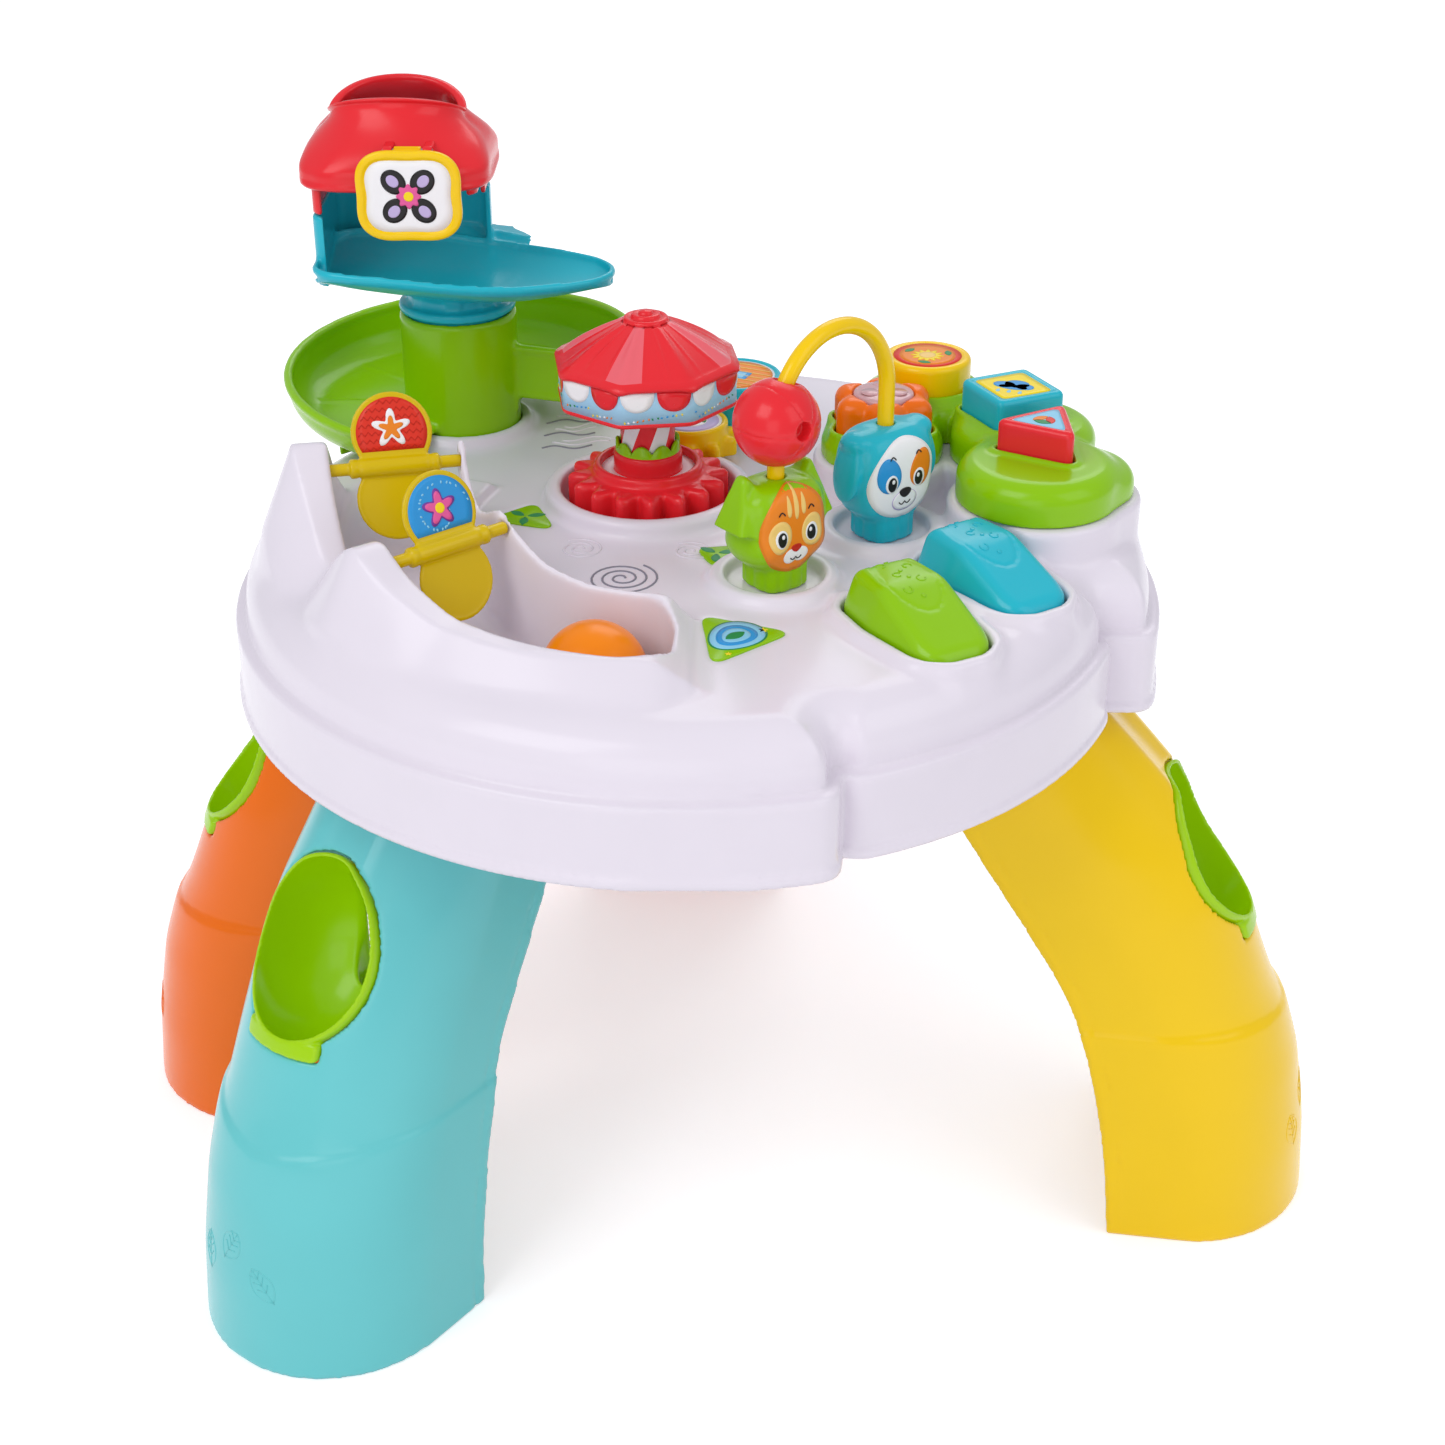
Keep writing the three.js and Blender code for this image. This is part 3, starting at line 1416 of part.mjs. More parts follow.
function makeSlide() {
  const plug = disc(
    column_radius - column_wall - gap, column_top - neck_plug_length, column_top,
    hill_lobe_steps, column_x, column_y,
  );
  const collar = disc(
    column_radius, column_top + gap, column_top + neck_plug_length * half,
    hill_lobe_steps, column_x, column_y,
  );
  const neck = disc(neck_radius, column_top - neck_wall, slide_rim, hill_lobe_steps, column_x,
    column_y);
  const plate = cut(
    prism(housePlan(0), house_floor - slide_plate, house_floor),
    block(house_width * twice, (plate_front - house_front) * twice, slide_plate * fourfold,
      house_middle_x, house_front, house_floor),
  );
  const made = join(slideBand(0), plug, collar, neck, plate,
    houseWalls(house_floor - slide_plate, house_top));
  return cut(made, slideBand(house_width * half).intersect(block(
    house_width * fourfold, house_width * fourfold, house_top, column_x, column_y, 0,
  )));
}

place("ramp_bowl", makeRamp(), "lime");
place("upper_slide", makeSlide(), "teal");
place("tower_walls", houseWalls(house_top + gap, wall_top), "red");

function roofRing(share, inset) {
  const spread = tabled(roof_height_shares, roof_width_shares, share);
  const width = roof_half_width * spread - inset;
  const depth = roof_half_depth * spread - inset;
  const mouth = tabled(roof_height_shares, mouth_shares, share);
  return squircle(1, 1, roof_squareness, roof_steps).map(([sx, sy], i) => {
    const turn = (i / roof_steps) * turn_deg;
    const bulge = 1 + mouth_bulge * Math.cos(radians(turn * mouth_corners));
    const x = THREE.MathUtils.lerp(sx, bulge * Math.cos(radians(turn)), mouth);
    const y = THREE.MathUtils.lerp(sy, bulge * Math.sin(radians(turn)), mouth);
    const z = roof_eave + roof_height * share + mouth_lift * mouth * share * (twice * Math.abs(y) - 1);
    return [house_middle_x + width * x, house_middle_y + depth * y, z];
  });
}

function makeRoof() {
  const outer = loft(roof_height_shares.map((share) => roofRing(share, 0)));
  const below = roofRing(0, roof_wall).map(([x, y, z]) => [x, y, z - overrun]);
  const above = roofRing(1, roof_wall).map(([x, y, z]) => [x, y, z + overrun]);
  const inner = loft([
    below, ...roof_height_shares.map((share) => roofRing(share, roof_wall)), above,
  ]);
  const seatLow = wall_top + gap;
  const seat = cut(
    block(roof_half_width * twice, roof_half_depth * twice, roof_seat,
      house_middle_x, house_middle_y, seatLow + roof_seat * half).intersect(outer),
    prism(housePlan(house_wall), seatLow - overrun, seatLow + roof_seat + overrun),
  );
  const lugDepth = hinge_lug + (house_middle_y - roof_half_depth * roof_lug_share) - hinge_y;
  const lugs = sides.map((side) => block(
    hinge_lug, lugDepth, hinge_lug,
    plaque_middle_x + side * (hinge_lug_width * half + gap + hinge_lug * half),
    hinge_y - hinge_lug * half + lugDepth * half, hinge_height,
  ));
  const bore = levelRod(
    hinge_pin_radius + gap, hinge_pin_length + overrun, 0, plaque_middle_x, hinge_y, hinge_height,
    tube_sides,
  );
  return join(cut(outer, inner), seat, cut(join(...lugs), bore));
}

const hinge_pin_length = hinge_lug_width + (gap + hinge_lug) * twice;
place("tower_roof", makeRoof(), "red");
place("sign_pin", levelRod(
  hinge_pin_radius, hinge_pin_length, 0, plaque_middle_x, hinge_y, hinge_height, tube_sides,
), "steel");

function makePlaque() {
  const outline = waveOutline(
    plaque_radius, plaque_wave, plaque_petals, plaque_steps, right_angle_deg * half,
    0, plaque_middle_z,
  ).map(([x, z]) => [plaque_middle_x + x * plaque_stretch, z]);
  const face = moved(prism(outline, -plaque_back, plaque_wall - plaque_back),
    { tilt: right_angle_deg });
  const lugDepth = hinge_y + hinge_lug * half - plaque_back + plaque_wall * half;
  const lug = block(
    hinge_lug_width, lugDepth, hinge_lug, plaque_middle_x,
    plaque_back - plaque_wall * half + lugDepth * half,
    hinge_height,
  );
  return cut(join(face, lug), levelRod(
    clearRadius(hinge_pin_radius, tube_sides), hinge_lug_width * twice, 0, plaque_middle_x, hinge_y,
    hinge_height, tube_sides,
  ));
}

place("sign_plaque", makePlaque(), "yellow");

// Carousel on its spindle
function gearOutline(teeth, pitch, side, phase, x, y) {
  return Array.from({ length: teeth * tooth_samples }, (_, i) => {
    const turn = phase + (i / (teeth * tooth_samples)) * turn_deg;
    const radius = pitch - gear_play + side * gear_wave * Math.cos(radians(teeth * (turn - phase)));
    return polar(radius, turn, x, y);
  });
}

const gear_low = recess_floor + gap + gap;
const carousel_floor = carousel_ring_top - carousel_ring_depth;
const spindle_low = recess_floor - deck_wall - gap;

place("carousel_spindle", join(
  disc(spindle_radius, spindle_low - gap, spindle_low + spindle_length, pin_sides, carousel_x,
    carousel_y),
  disc(spindle_head, spindle_low - pin_head_height, spindle_low, tube_sides, carousel_x, carousel_y),
), "steel");

const spindle_bore = pinBore(
  spindle_radius, spindle_low, spindle_low + bore_length, carousel_x, carousel_y,
);
place("carousel_gear", cut(
  join(
    prism(
      gearOutline(carousel_teeth, carousel_pitch, 1, pinion_turn_deg, carousel_x, carousel_y),
      gear_low, carousel_gear_top,
    ),
    disc(carousel_ring_radius, carousel_gear_top - overrun, carousel_ring_top,
      hill_lobe_steps, carousel_x, carousel_y),
  ),
  disc(carousel_ring_radius - carousel_ring_depth, carousel_floor, carousel_ring_top + overrun,
    hill_lobe_steps, carousel_x, carousel_y),
  spindle_bore,
), "red");

const post_low = carousel_floor + gap;
place("carousel_post", cut(
  join(
    disc(post_radius, post_low, post_top, hill_lobe_steps, carousel_x, carousel_y),
    disc(post_leaf_radius, post_low, post_low + post_leaf_height, hill_lobe_steps, carousel_x,
      carousel_y),
  ),
  spindle_bore,
), "white");

function octagon(radius) {
  return regular(canopy_sides, radius, canopy_turn_deg, carousel_x, carousel_y);
}

const band_top = canopy_bottom + canopy_band_height;
const eave_low = band_top + gap;
const eave_top = eave_low + canopy_wall;
const canopy_peak = eave_low + canopy_roof_height;
const ringAt = (outline, z) => outline.map(([x, y]) => [x, y, z]);

place("canopy_band", cut(
  prism(octagon(canopy_radius), canopy_bottom, band_top),
  prism(octagon(canopy_radius - canopy_wall), canopy_bottom - overrun, band_top + overrun),
), "sky");

function makeCanopy() {
  const eave = canopy_radius + canopy_eave;
  const inner = canopy_radius - canopy_wall - gap;
  const outerRoof = loft([
    ringAt(octagon(eave), eave_low), ringAt(octagon(eave), eave_top),
    ringAt(octagon(canopy_top_radius), canopy_peak),
  ]);
  const innerRoof = loft([
    ringAt(octagon(inner - canopy_wall), eave_low - overrun),
    ringAt(octagon(inner - canopy_wall), eave_low),
    ringAt(octagon(canopy_top_radius), canopy_peak - canopy_wall - canopy_wall),
  ]);
  const lip = prism(octagon(inner), eave_low - canopy_lip_height, eave_top);
  const boss = disc(
    canopy_boss_radius, eave_low - canopy_boss_length, canopy_peak - canopy_wall,
    hill_lobe_steps, carousel_x, carousel_y,
  );
  const cap = turned([
    [0, canopy_peak - canopy_wall], [canopy_cap_radius, canopy_peak - canopy_wall],
    [canopy_cap_radius, canopy_peak + cap_height * half],
    [canopy_cap_radius * half, canopy_peak + cap_height],
    [0, canopy_peak + cap_height],
  ], hill_lobe_steps, carousel_x, carousel_y);
  const lipHollow = prism(
    octagon(inner - canopy_wall), eave_low - canopy_lip_height - overrun, eave_low,
  );
  const socket = disc(
    post_radius + gap, eave_low - canopy_boss_length - overrun, post_top + gap,
    hill_lobe_steps, carousel_x, carousel_y,
  );
  return cut(join(cut(join(outerRoof, lip), innerRoof, lipHollow), boss, cap), socket);
}

place("carousel_canopy", makeCanopy(), "red");

// Gear train beside the carousel
function gearPin(name, x, y, top) {
  const low = deck_top - deck_wall - gap;
  place(name, join(
    disc(gear_pin_radius, low - gap, top - pin_inset, pin_sides, x, y),
    disc(gear_pin_head, low - pin_head_height, low, tube_sides, x, y),
  ), "steel");
}

function pinionGear(side, phase, x, y, height, hubRadius, hubTop) {
  return cut(
    join(
      prism(gearOutline(pinion_teeth, pinion_pitch, side, phase, x, y), gear_bottom,
        gear_bottom + height),
      disc(hubRadius, gear_bottom + height, hubTop, hill_lobe_steps, x, y),
    ),
    pinBore(gear_pin_radius, gear_bottom - overrun, hubTop - pin_inset + gap, x, y),
  );
}

const yellow_top = gear_bottom + yellow_gear_height + yellow_hub_height;
const teal_top = gear_bottom + teal_gear_height + teal_drum_height;
place("yellow_gear", pinionGear(
  -1, pinion_turn_deg + turn_deg * half, yellow_x, yellow_y, yellow_gear_height, yellow_hub_radius,
  yellow_top,
), "yellow");
gearPin("yellow_gear_pin", yellow_x, yellow_y, yellow_top);
const teal_phase = third_turn_deg + third_turn_deg - pinion_turn_deg;
place("teal_gear", pinionGear(
  1, teal_phase, teal_x, teal_y, teal_gear_height, teal_drum_radius, teal_top,
), "teal");
gearPin("teal_gear_pin", teal_x, teal_y, teal_top);

// Arch, bead and turning heads
const arch_span = new THREE.Vector3(dog_x - cat_x, dog_y - cat_y, 0);
const arch_radius = arch_span.length() * half;
const arch_centre = new THREE.Vector3((cat_x + dog_x) * half, (cat_y + dog_y) * half,
  arch_spring_height);
const arch_level = arch_span.clone().normalize();
const arch_up = new THREE.Vector3(0, 0, 1);
const arch_normal = arch_level.clone().cross(arch_up);

function archRing(turn, drop) {
  const away = arch_level.clone().multiplyScalar(-Math.cos(turn)).addScaledVector(arch_up,
    Math.sin(turn));
  const middle = arch_centre.clone().addScaledVector(away, arch_radius).addScaledVector(arch_up, -drop);
  return Array.from({ length: tube_sides }, (_, i) => {
    const round = (i / tube_sides) * tau;
    const point = middle.clone()
      .addScaledVector(away, arch_tube_radius * Math.cos(round))
      .addScaledVector(arch_normal, arch_tube_radius * Math.sin(round));
    return point.toArray();
  });
}

const arch_drop = arch_spring_height - arch_bottom;
const arch_turns = Array.from({ length: arch_steps + 1 }, (_, i) => (i / arch_steps) * tau * half);
place("arch_tube", loft([
  archRing(0, arch_drop), ...arch_turns.map((turn) => archRing(turn, 0)),
  archRing(tau * half, arch_drop),
]), "yellow");

function makeBead() {
  const turn = Math.asin(bead_lift / arch_radius);
  const away = arch_level.clone().multiplyScalar(-Math.cos(turn)).addScaledVector(arch_up,
    Math.sin(turn));
  const ahead = arch_level.clone().multiplyScalar(Math.sin(turn)).addScaledVector(arch_up,
    Math.cos(turn));
  const middle = arch_centre.clone().addScaledVector(away, arch_radius);
  const ballShape = new THREE.SphereGeometry(bead_radius, bead_steps, bead_steps * half);
  ballShape.translate(...middle.toArray());
  const stand = new THREE.Quaternion().setFromUnitVectors(arch_up, ahead);
  const boreShape = geometryOf(disc(
    bead_bore_radius, -bead_radius * twice, bead_radius * twice, bead_bore_steps,
  ));
  boreShape.applyQuaternion(stand);
  boreShape.translate(...middle.clone().addScaledVector(away, -bead_bore_shift).toArray());
  const front = new THREE.Quaternion().setFromUnitVectors(arch_up, arch_normal);
  const dimple = geometryOf(disc(
    bead_side_hole, bead_radius - bead_side_depth, bead_radius * twice, tube_sides,
  ));
  dimple.applyQuaternion(front);
  dimple.translate(...middle.toArray());
  return cut(solid(ballShape), solid(boreShape), solid(dimple));
}

place("bead", makeBead(), "red");

function makeHead(top, scale) {
  const low = deck_top + gap;
  const chin = low + neck_length;
  const rings = head_rise_shares.map((rise, i) => squircle(
    head_half_depth * head_scale_shares[i], head_half_width * scale * head_scale_shares[i],
    head_squareness, head_steps,
  ).map(([x, y]) => [x, y, THREE.MathUtils.lerp(chin, top, rise)]));
  const neckPlan = squircle(neck_half_width, neck_half_width, head_squareness, head_steps);
  const neck = prism(neckPlan, low, chin + overrun);
  const ears = sides.map((side) => turned([
    [0, ear_top - ear_height], [ear_radius, ear_top - ear_height], [ear_tip_radius, ear_top],
    [0, ear_top],
  ], tube_sides, 0, side * ear_spread * scale));
  const bore = disc(clearRadius(arch_tube_radius, tube_sides), deck_top, ear_top + overrun, tube_sides);
  return cut(join(loft(rings), neck, ...ears), bore);
}

place("cat_head", moved(makeHead(cat_top, 1), { x: cat_x, y: cat_y, turn: head_face_deg }), "lime");
place("dog_head", moved(makeHead(dog_top, dog_scale), { x: dog_x, y: dog_y, turn: head_face_deg }),
  "teal");

// The whole object stands on the floor, centred on it
const box = new THREE.Box3().setFromObject(group, true);
const middle = box.getCenter(new THREE.Vector3());
group.position.set(-middle.x, -middle.y, -box.min.z);

export default group;
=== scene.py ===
"""A baby activity table in moulded plastic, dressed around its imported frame.

Each sub-assembly is a class. Its sizes are dataclass fields in millimetres, measured from the centre of
the table top, with X to the right, Y to the back and Z up from the floor. Meshes are turned into metres
in the frame's own place when they are made.
"""

from __future__ import annotations

import bpy
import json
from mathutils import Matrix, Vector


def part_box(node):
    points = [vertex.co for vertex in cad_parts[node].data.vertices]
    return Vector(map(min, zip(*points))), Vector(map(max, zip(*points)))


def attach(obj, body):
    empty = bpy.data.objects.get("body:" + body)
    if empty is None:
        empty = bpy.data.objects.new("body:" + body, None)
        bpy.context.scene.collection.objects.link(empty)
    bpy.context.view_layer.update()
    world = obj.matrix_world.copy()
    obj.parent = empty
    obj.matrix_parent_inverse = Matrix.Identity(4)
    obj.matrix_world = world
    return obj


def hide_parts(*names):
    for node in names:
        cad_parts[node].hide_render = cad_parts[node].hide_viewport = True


for spare in ("Cube", "Light", "Camera"):
    if spare in bpy.data.objects:
        bpy.data.objects.remove(bpy.data.objects[spare])
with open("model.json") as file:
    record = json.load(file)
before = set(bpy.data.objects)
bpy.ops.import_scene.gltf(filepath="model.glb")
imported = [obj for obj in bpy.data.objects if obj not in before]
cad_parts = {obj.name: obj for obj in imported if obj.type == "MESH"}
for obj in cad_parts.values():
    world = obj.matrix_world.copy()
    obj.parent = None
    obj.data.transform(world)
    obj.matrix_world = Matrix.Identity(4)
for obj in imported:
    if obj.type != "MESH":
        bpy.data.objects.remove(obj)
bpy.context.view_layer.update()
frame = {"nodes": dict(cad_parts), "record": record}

import json
import logging
import math
from dataclasses import dataclass, field
from enum import Enum
from typing import Callable, Iterable, Optional, Sequence

import numpy as np
import openvdb
from mathutils import Matrix, Vector
from mathutils.bvhtree import BVHTree

LOG = logging.getLogger("activity_table")
METRE = 0.001
PRINT_ROOT = 0.3
MIX_FACTOR, MIX_A, MIX_B, MIX_RESULT = 0, 6, 7, 2
BROAD_GRAINS = 14
RELIEF_MM = 0.2
PLASTIC_IOR = 1.46
SPECULAR_LEVEL = 0.3
COAT_ROUGHNESS = 0.12

Array = np.ndarray
Point2 = tuple[float, float]
Point3 = tuple[float, float, float]


def shader_nodes(tree: bpy.types.NodeTree, **kinds: str) -> dict[str, bpy.types.Node]:
    """Clear a node tree and return new shader nodes, each under the name that asks for its kind."""
    tree.nodes.clear()
    return {name: tree.nodes.new(f"ShaderNode{kind}") for name, kind in kinds.items()}


def wire(tree: bpy.types.NodeTree, nodes: dict[str, bpy.types.Node], values: Iterable[tuple],
         links: Iterable[tuple]) -> None:
    """Set the sockets of some nodes and join them.

    Args:
        tree: The node tree that holds them.
        nodes: The nodes by name.
        values: Rows of a node, its input and the input's value.
        links: Rows of a node, its output, the next node and that one's input.
    """
    for name, socket, value in values:
        nodes[name].inputs[socket].default_value = value
    for source, output, target, socket in links:
        tree.links.new(nodes[source].outputs[output], nodes[target].inputs[socket])


def add_object(name: str, data: bpy.types.ID) -> bpy.types.Object:
    """Return a new object that carries some data, linked to the scene."""
    made = bpy.data.objects.new(name, data)
    bpy.context.scene.collection.objects.link(made)
    return made


# Finishes


@dataclass(frozen=True)
class Finish:
    """One moulded or painted finish.

    The colour is linear light from a hex code, and the grain is the size of the surface's ripple.
    """

    label: str
    hex_colour: str
    roughness: float = 0.22
    coat: float = 0.1
    metallic: float = 0.0
    transmission: float = 0.0
    grain_mm: float = 3.0
    ripple: float = 0.006
    mottle: float = 0.05

    def colour(self) -> tuple[float, float, float, float]:
        """Return the colour in linear light."""
        code = self.hex_colour.lstrip("#")
        parts = [int(code[i : i + 2], 16) / 255 for i in (0, 2, 4)]
        linear = [c / 12.92 if c <= 0.04045 else ((c + 0.055) / 1.055) ** 2.4 for c in parts]
        return (linear[0], linear[1], linear[2], 1.0)

    def material(self) -> bpy.types.Material:
        """Return this finish's node material, made once.

        Returns:
            A material whose colour, roughness and relief come from noise at the plastic's own scale.
        """
        found = bpy.data.materials.get(self.label)
        if found:
            return found
        made = bpy.data.materials.new(self.label)
        made.use_nodes = True
        colour = self.colour()
        made.diffuse_color = colour
        nodes = shader_nodes(
            made.node_tree, out="OutputMaterial", shader="BsdfPrincipled", where="TexCoord",
            broad="TexNoise",
            fine="TexNoise", shade="Mix", shine="MapRange", relief="Bump",
        )
        nodes["shade"].data_type = "RGBA"
        wire(made.node_tree, nodes, (
            ("shade", MIX_A, colour),
            ("shade", MIX_B, tuple(c * (1 - self.mottle) for c in colour[:3]) + (1.0,)),
            ("broad", "Scale", 1 / (self.grain_mm * BROAD_GRAINS * METRE)),
            ("fine", "Scale", 1 / (self.grain_mm * METRE)),
            ("fine", "Detail", 1.0),
            ("shine", "To Min", self.roughness * 0.9),
            ("shine", "To Max", min(1.0, self.roughness * 1.1)),
            ("relief", "Strength", self.ripple),
            ("relief", "Distance", RELIEF_MM * METRE),
            ("shader", "Metallic", self.metallic),
            ("shader", "IOR", PLASTIC_IOR),
            ("shader", "Specular IOR Level", SPECULAR_LEVEL),
            ("shader", "Coat Weight", self.coat),
            ("shader", "Coat Roughness", COAT_ROUGHNESS),
            ("shader", "Transmission Weight", self.transmission),
        ), (
            ("where", "Object", "broad", "Vector"),
            ("where", "Object", "fine", "Vector"),
            ("broad", "Fac", "shade", MIX_FACTOR),
            ("fine", "Fac", "shine", "Value"),
            ("fine", "Fac", "relief", "Height"),
            ("shade", MIX_RESULT, "shader", "Base Color"),
            ("shine", "Result", "shader", "Roughness"),
            ("relief", "Normal", "shader", "Normal"),
            ("shader", "BSDF", "out", "Surface"),
        ))
        return made


class Finishes(Enum):
    """The finishes that the table's pieces are moulded, printed or plated in."""

    BODY = Finish("body_lilac_white", "#ECE4EE", roughness=0.24)
    LIME = Finish("lime_plastic", "#92CB00")
    CUP_LIME = Finish("cup_lime_plastic", "#A8DA00")
    TEAL = Finish("teal_plastic", "#22BCD0")
    AQUA = Finish("aqua_plastic", "#6ECFD2")
    ORANGE = Finish("orange_plastic", "#FB7200")
    YELLOW = Finish("yellow_plastic", "#FFD200")
    RED = Finish("red_plastic", "#F02A33")
    ROSE = Finish("rose_plastic", "#F46A74")
    GOLD = Finish("gold_plastic", "#DDBD00")
    WHITE = Finish("white_plastic", "#F6F3F8", roughness=0.3)
    SKY = Finish("sky_print", "#A6D3EF", roughness=0.35, coat=0.2)
    BALL_ORANGE = Finish("ball_orange", "#FF8C00", roughness=0.3)
    BALL_YELLOW = Finish("ball_yellow", "#FFD400", roughness=0.3)
    LENS = Finish("clear_pink_lens", "#F7C3C8", roughness=0.12, transmission=0.35, coat=0.5)
    INK_BLACK = Finish("ink_black", "#1D1A1C", roughness=0.35, coat=0.1)
    INK_WHITE = Finish("ink_white", "#FBFAFC", roughness=0.35, coat=0.1)
    INK_PINK = Finish("ink_pink", "#EE5FA2", roughness=0.35, coat=0.1)
    INK_PURPLE = Finish("ink_purple", "#7A3FA0", roughness=0.35, coat=0.1)
    INK_BLUE = Finish("ink_blue", "#2E9BE0", roughness=0.35, coat=0.1)
    INK_PALE_BLUE = Finish("ink_pale_blue", "#8FD3F2", roughness=0.35, coat=0.1)
    INK_ORANGE = Finish("ink_orange", "#F58A1F", roughness=0.35, coat=0.1)
    INK_CREAM = Finish("ink_cream", "#FBD27A", roughness=0.35, coat=0.1)
    INK_RED = Finish("ink_red", "#E5331F", roughness=0.35, coat=0.1)
    INK_DEEP_RED = Finish("ink_deep_red", "#C8240F", roughness=0.35, coat=0.1)
    INK_YELLOW = Finish("ink_yellow", "#FFE11A", roughness=0.35, coat=0.1)
    INK_GREEN = Finish("ink_green", "#1E8F4E", roughness=0.35, coat=0.1)
    INK_LILAC = Finish("ink_lilac", "#C9B6E4", roughness=0.35, coat=0.1)
    # Painted shade: a grey that stands for the dark inside a moulded groove.
    GROOVE = Finish("groove_shadow", "#8E8A97", roughness=0.5, coat=0.0)
    STEEL = Finish("brushed_steel", "#B4B7BC", roughness=0.32, coat=0.0, metallic=1.0, ripple=0.05)
    BOARD = Finish("green_circuit_board", "#1F6B3A", roughness=0.55, coat=0.1)
    RUBBER = Finish("dark_rubber", "#4B4D52", roughness=0.75, coat=0.0, ripple=0.08)
    BLACK = Finish("black_plastic", "#2B2C30", roughness=0.5, coat=0.1, ripple=0.06)
    CELL = Finish("cell_wrapper", "#3D4046", roughness=0.35)

    def material(self) -> bpy.types.Material:
        """Return this finish's material."""
        return self.value.material()


SLOT_FINISH: dict[str, Finishes] = {
    slot: Finishes[slot.upper()]
    for slot in (
        "body", "lime", "teal", "aqua", "orange", "yellow", "red", "gold", "sky", "white", "steel", "board",
        "rubber", "black", "cell", "lens",
    )
}


# Mesh making


def table_origin() -> Vector:
    """Return the table top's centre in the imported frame, in metres, found from the carousel's spindle."""
    low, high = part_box("carousel_spindle")
    middle = (low + high) / 2
    return Vector((middle.x - Carousel.x * METRE, middle.y - Carousel.y * METRE, 0.0))


def to_frame(points: Array) -> Array:
    """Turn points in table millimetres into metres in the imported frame."""
    return np.asarray(points, float) * METRE + np.array(ORIGIN)


def settle(
    piece: bpy.types.Object, body: str, slot: str, replaced: Sequence[str] = ()
) -> bpy.types.Object:
    """Make a piece ride on its body and stand for the nodes that it replaces.

    Args:
        piece: The finished piece, in place.
        body: The body that it moves with.
        slot: Not used.
        replaced: Nodes that are hidden because the piece stands for them.

    Returns:
        The same piece.
    """
    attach(piece, body)
    if replaced:
        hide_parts(*replaced)
    LOG.info("%s rides on %s, %d faces", piece.name, body, len(piece.data.polygons))
    return piece


def mesh_object(
    name: str,
    points: Array,
    faces: Iterable[Sequence[int]],
    finishes: Sequence[Finishes],
    face_finish: Optional[Sequence[int]] = None,
) -> bpy.types.Object:
    """Make a smoothly shaded object from points in table millimetres.

    Args:
        name: The piece's name.
        points: Points, one row each.
        faces: Corner numbers of each face.
        finishes: The finishes, in the order that face_finish counts them.
        face_finish: The finish number of each face, or all the first one.

    Returns:
        The object, linked to the scene.
    """
    data = bpy.data.meshes.new(name)
    data.from_pydata(to_frame(points).tolist(), [], [tuple(int(i) for i in f) for f in faces])
    for finish in finishes:
        data.materials.append(finish.material())
    if face_finish is not None:
        data.polygons.foreach_set("material_index", np.asarray(face_finish, np.int32))
    data.polygons.foreach_set("use_smooth", np.ones(len(data.polygons), bool))
    data.validate()
    data.update()
    return add_object(name, data)


def soft_min(a: Array, b: Array, blend: float) -> Array:
    """Return the lower of two distances, blended over a width."""
    mix = np.maximum(blend - np.abs(a - b), 0) / blend
    return np.minimum(a, b) - mix * mix * blend / 4


def soft_max(a: Array, b: Array, blend: float) -> Array:
    """Return the higher of two distances, blended over a width."""
    return -soft_min(-a, -b, blend)


def round_max(a: Array, b: Array, radius: float) -> Array:
    """Return the overlap of two shapes whose common edge is rounded to a radius."""
    return np.minimum(np.maximum(a, b), -radius) + np.hypot(
        np.maximum(a + radius, 0), np.maximum(b + radius, 0)
    )


def outline_distance(x: Array, y: Array, outline: Sequence[Point2]) -> Array:
    """Return the signed distance to a closed outline, below zero inside it.

    Args:
        x: Places along X.
        y: Places along Y, which broadcast against x.
        outline: The corners in order.

    Returns:
        The distance at each place.
    """
    x, y = np.broadcast_arrays(x, y)
    best = np.full(x.shape, np.inf)
    inside = np.zeros(x.shape, bool)
    for (ax, ay), (bx, by) in zip(outline, [*outline[1:], outline[0]]):
        ex, ey = bx - ax, by - ay
        if ex * ex + ey * ey < 1e-12:
            continue
        part = np.clip(((x - ax) * ex + (y - ay) * ey) / (ex * ex + ey * ey), 0, 1)
        best = np.minimum(best, (x - ax - ex * part) ** 2 + (y - ay - ey * part) ** 2)
        if ay != by:
            crossing = ((ay <= y) != (by <= y)) & (x < ax + (y - ay) / (by - ay) * ex)
            inside ^= crossing
    return np.where(inside, -1.0, 1.0) * np.sqrt(best)


def smooth_table(
    places: Sequence[float], values: Sequence[float], width: float
) -> Callable[[Array], Array]:
    """Return a smooth curve through a table.

    Args:
        places: Rising places.
        values: The value at each place.
        width: How far the corners are rounded, in the same unit as the places.

    Returns:
        A function that reads the curve.
    """
    first, last = places[0], places[-1]
    dense = np.linspace(first - 3 * width, last + 3 * width, 1200)
    raw = np.interp(dense, places, values)
    step = dense[1] - dense[0]
    reach = max(1, int(3 * width / step))
    weights = np.exp(-0.5 * (np.arange(-reach, reach + 1) * step / width) ** 2)
    padded = np.pad(raw, reach, mode="edge")
    soft = np.convolve(padded, weights / weights.sum(), mode="valid")
    return lambda at: np.interp(at, dense, soft)


def polar(radius: float, degrees: float, x: float = 0.0, y: float = 0.0) -> Point2:
    """Return the point at a radius and azimuth about a centre."""
    turn = math.radians(degrees)
    return (x + radius * math.cos(turn), y + radius * math.sin(turn))


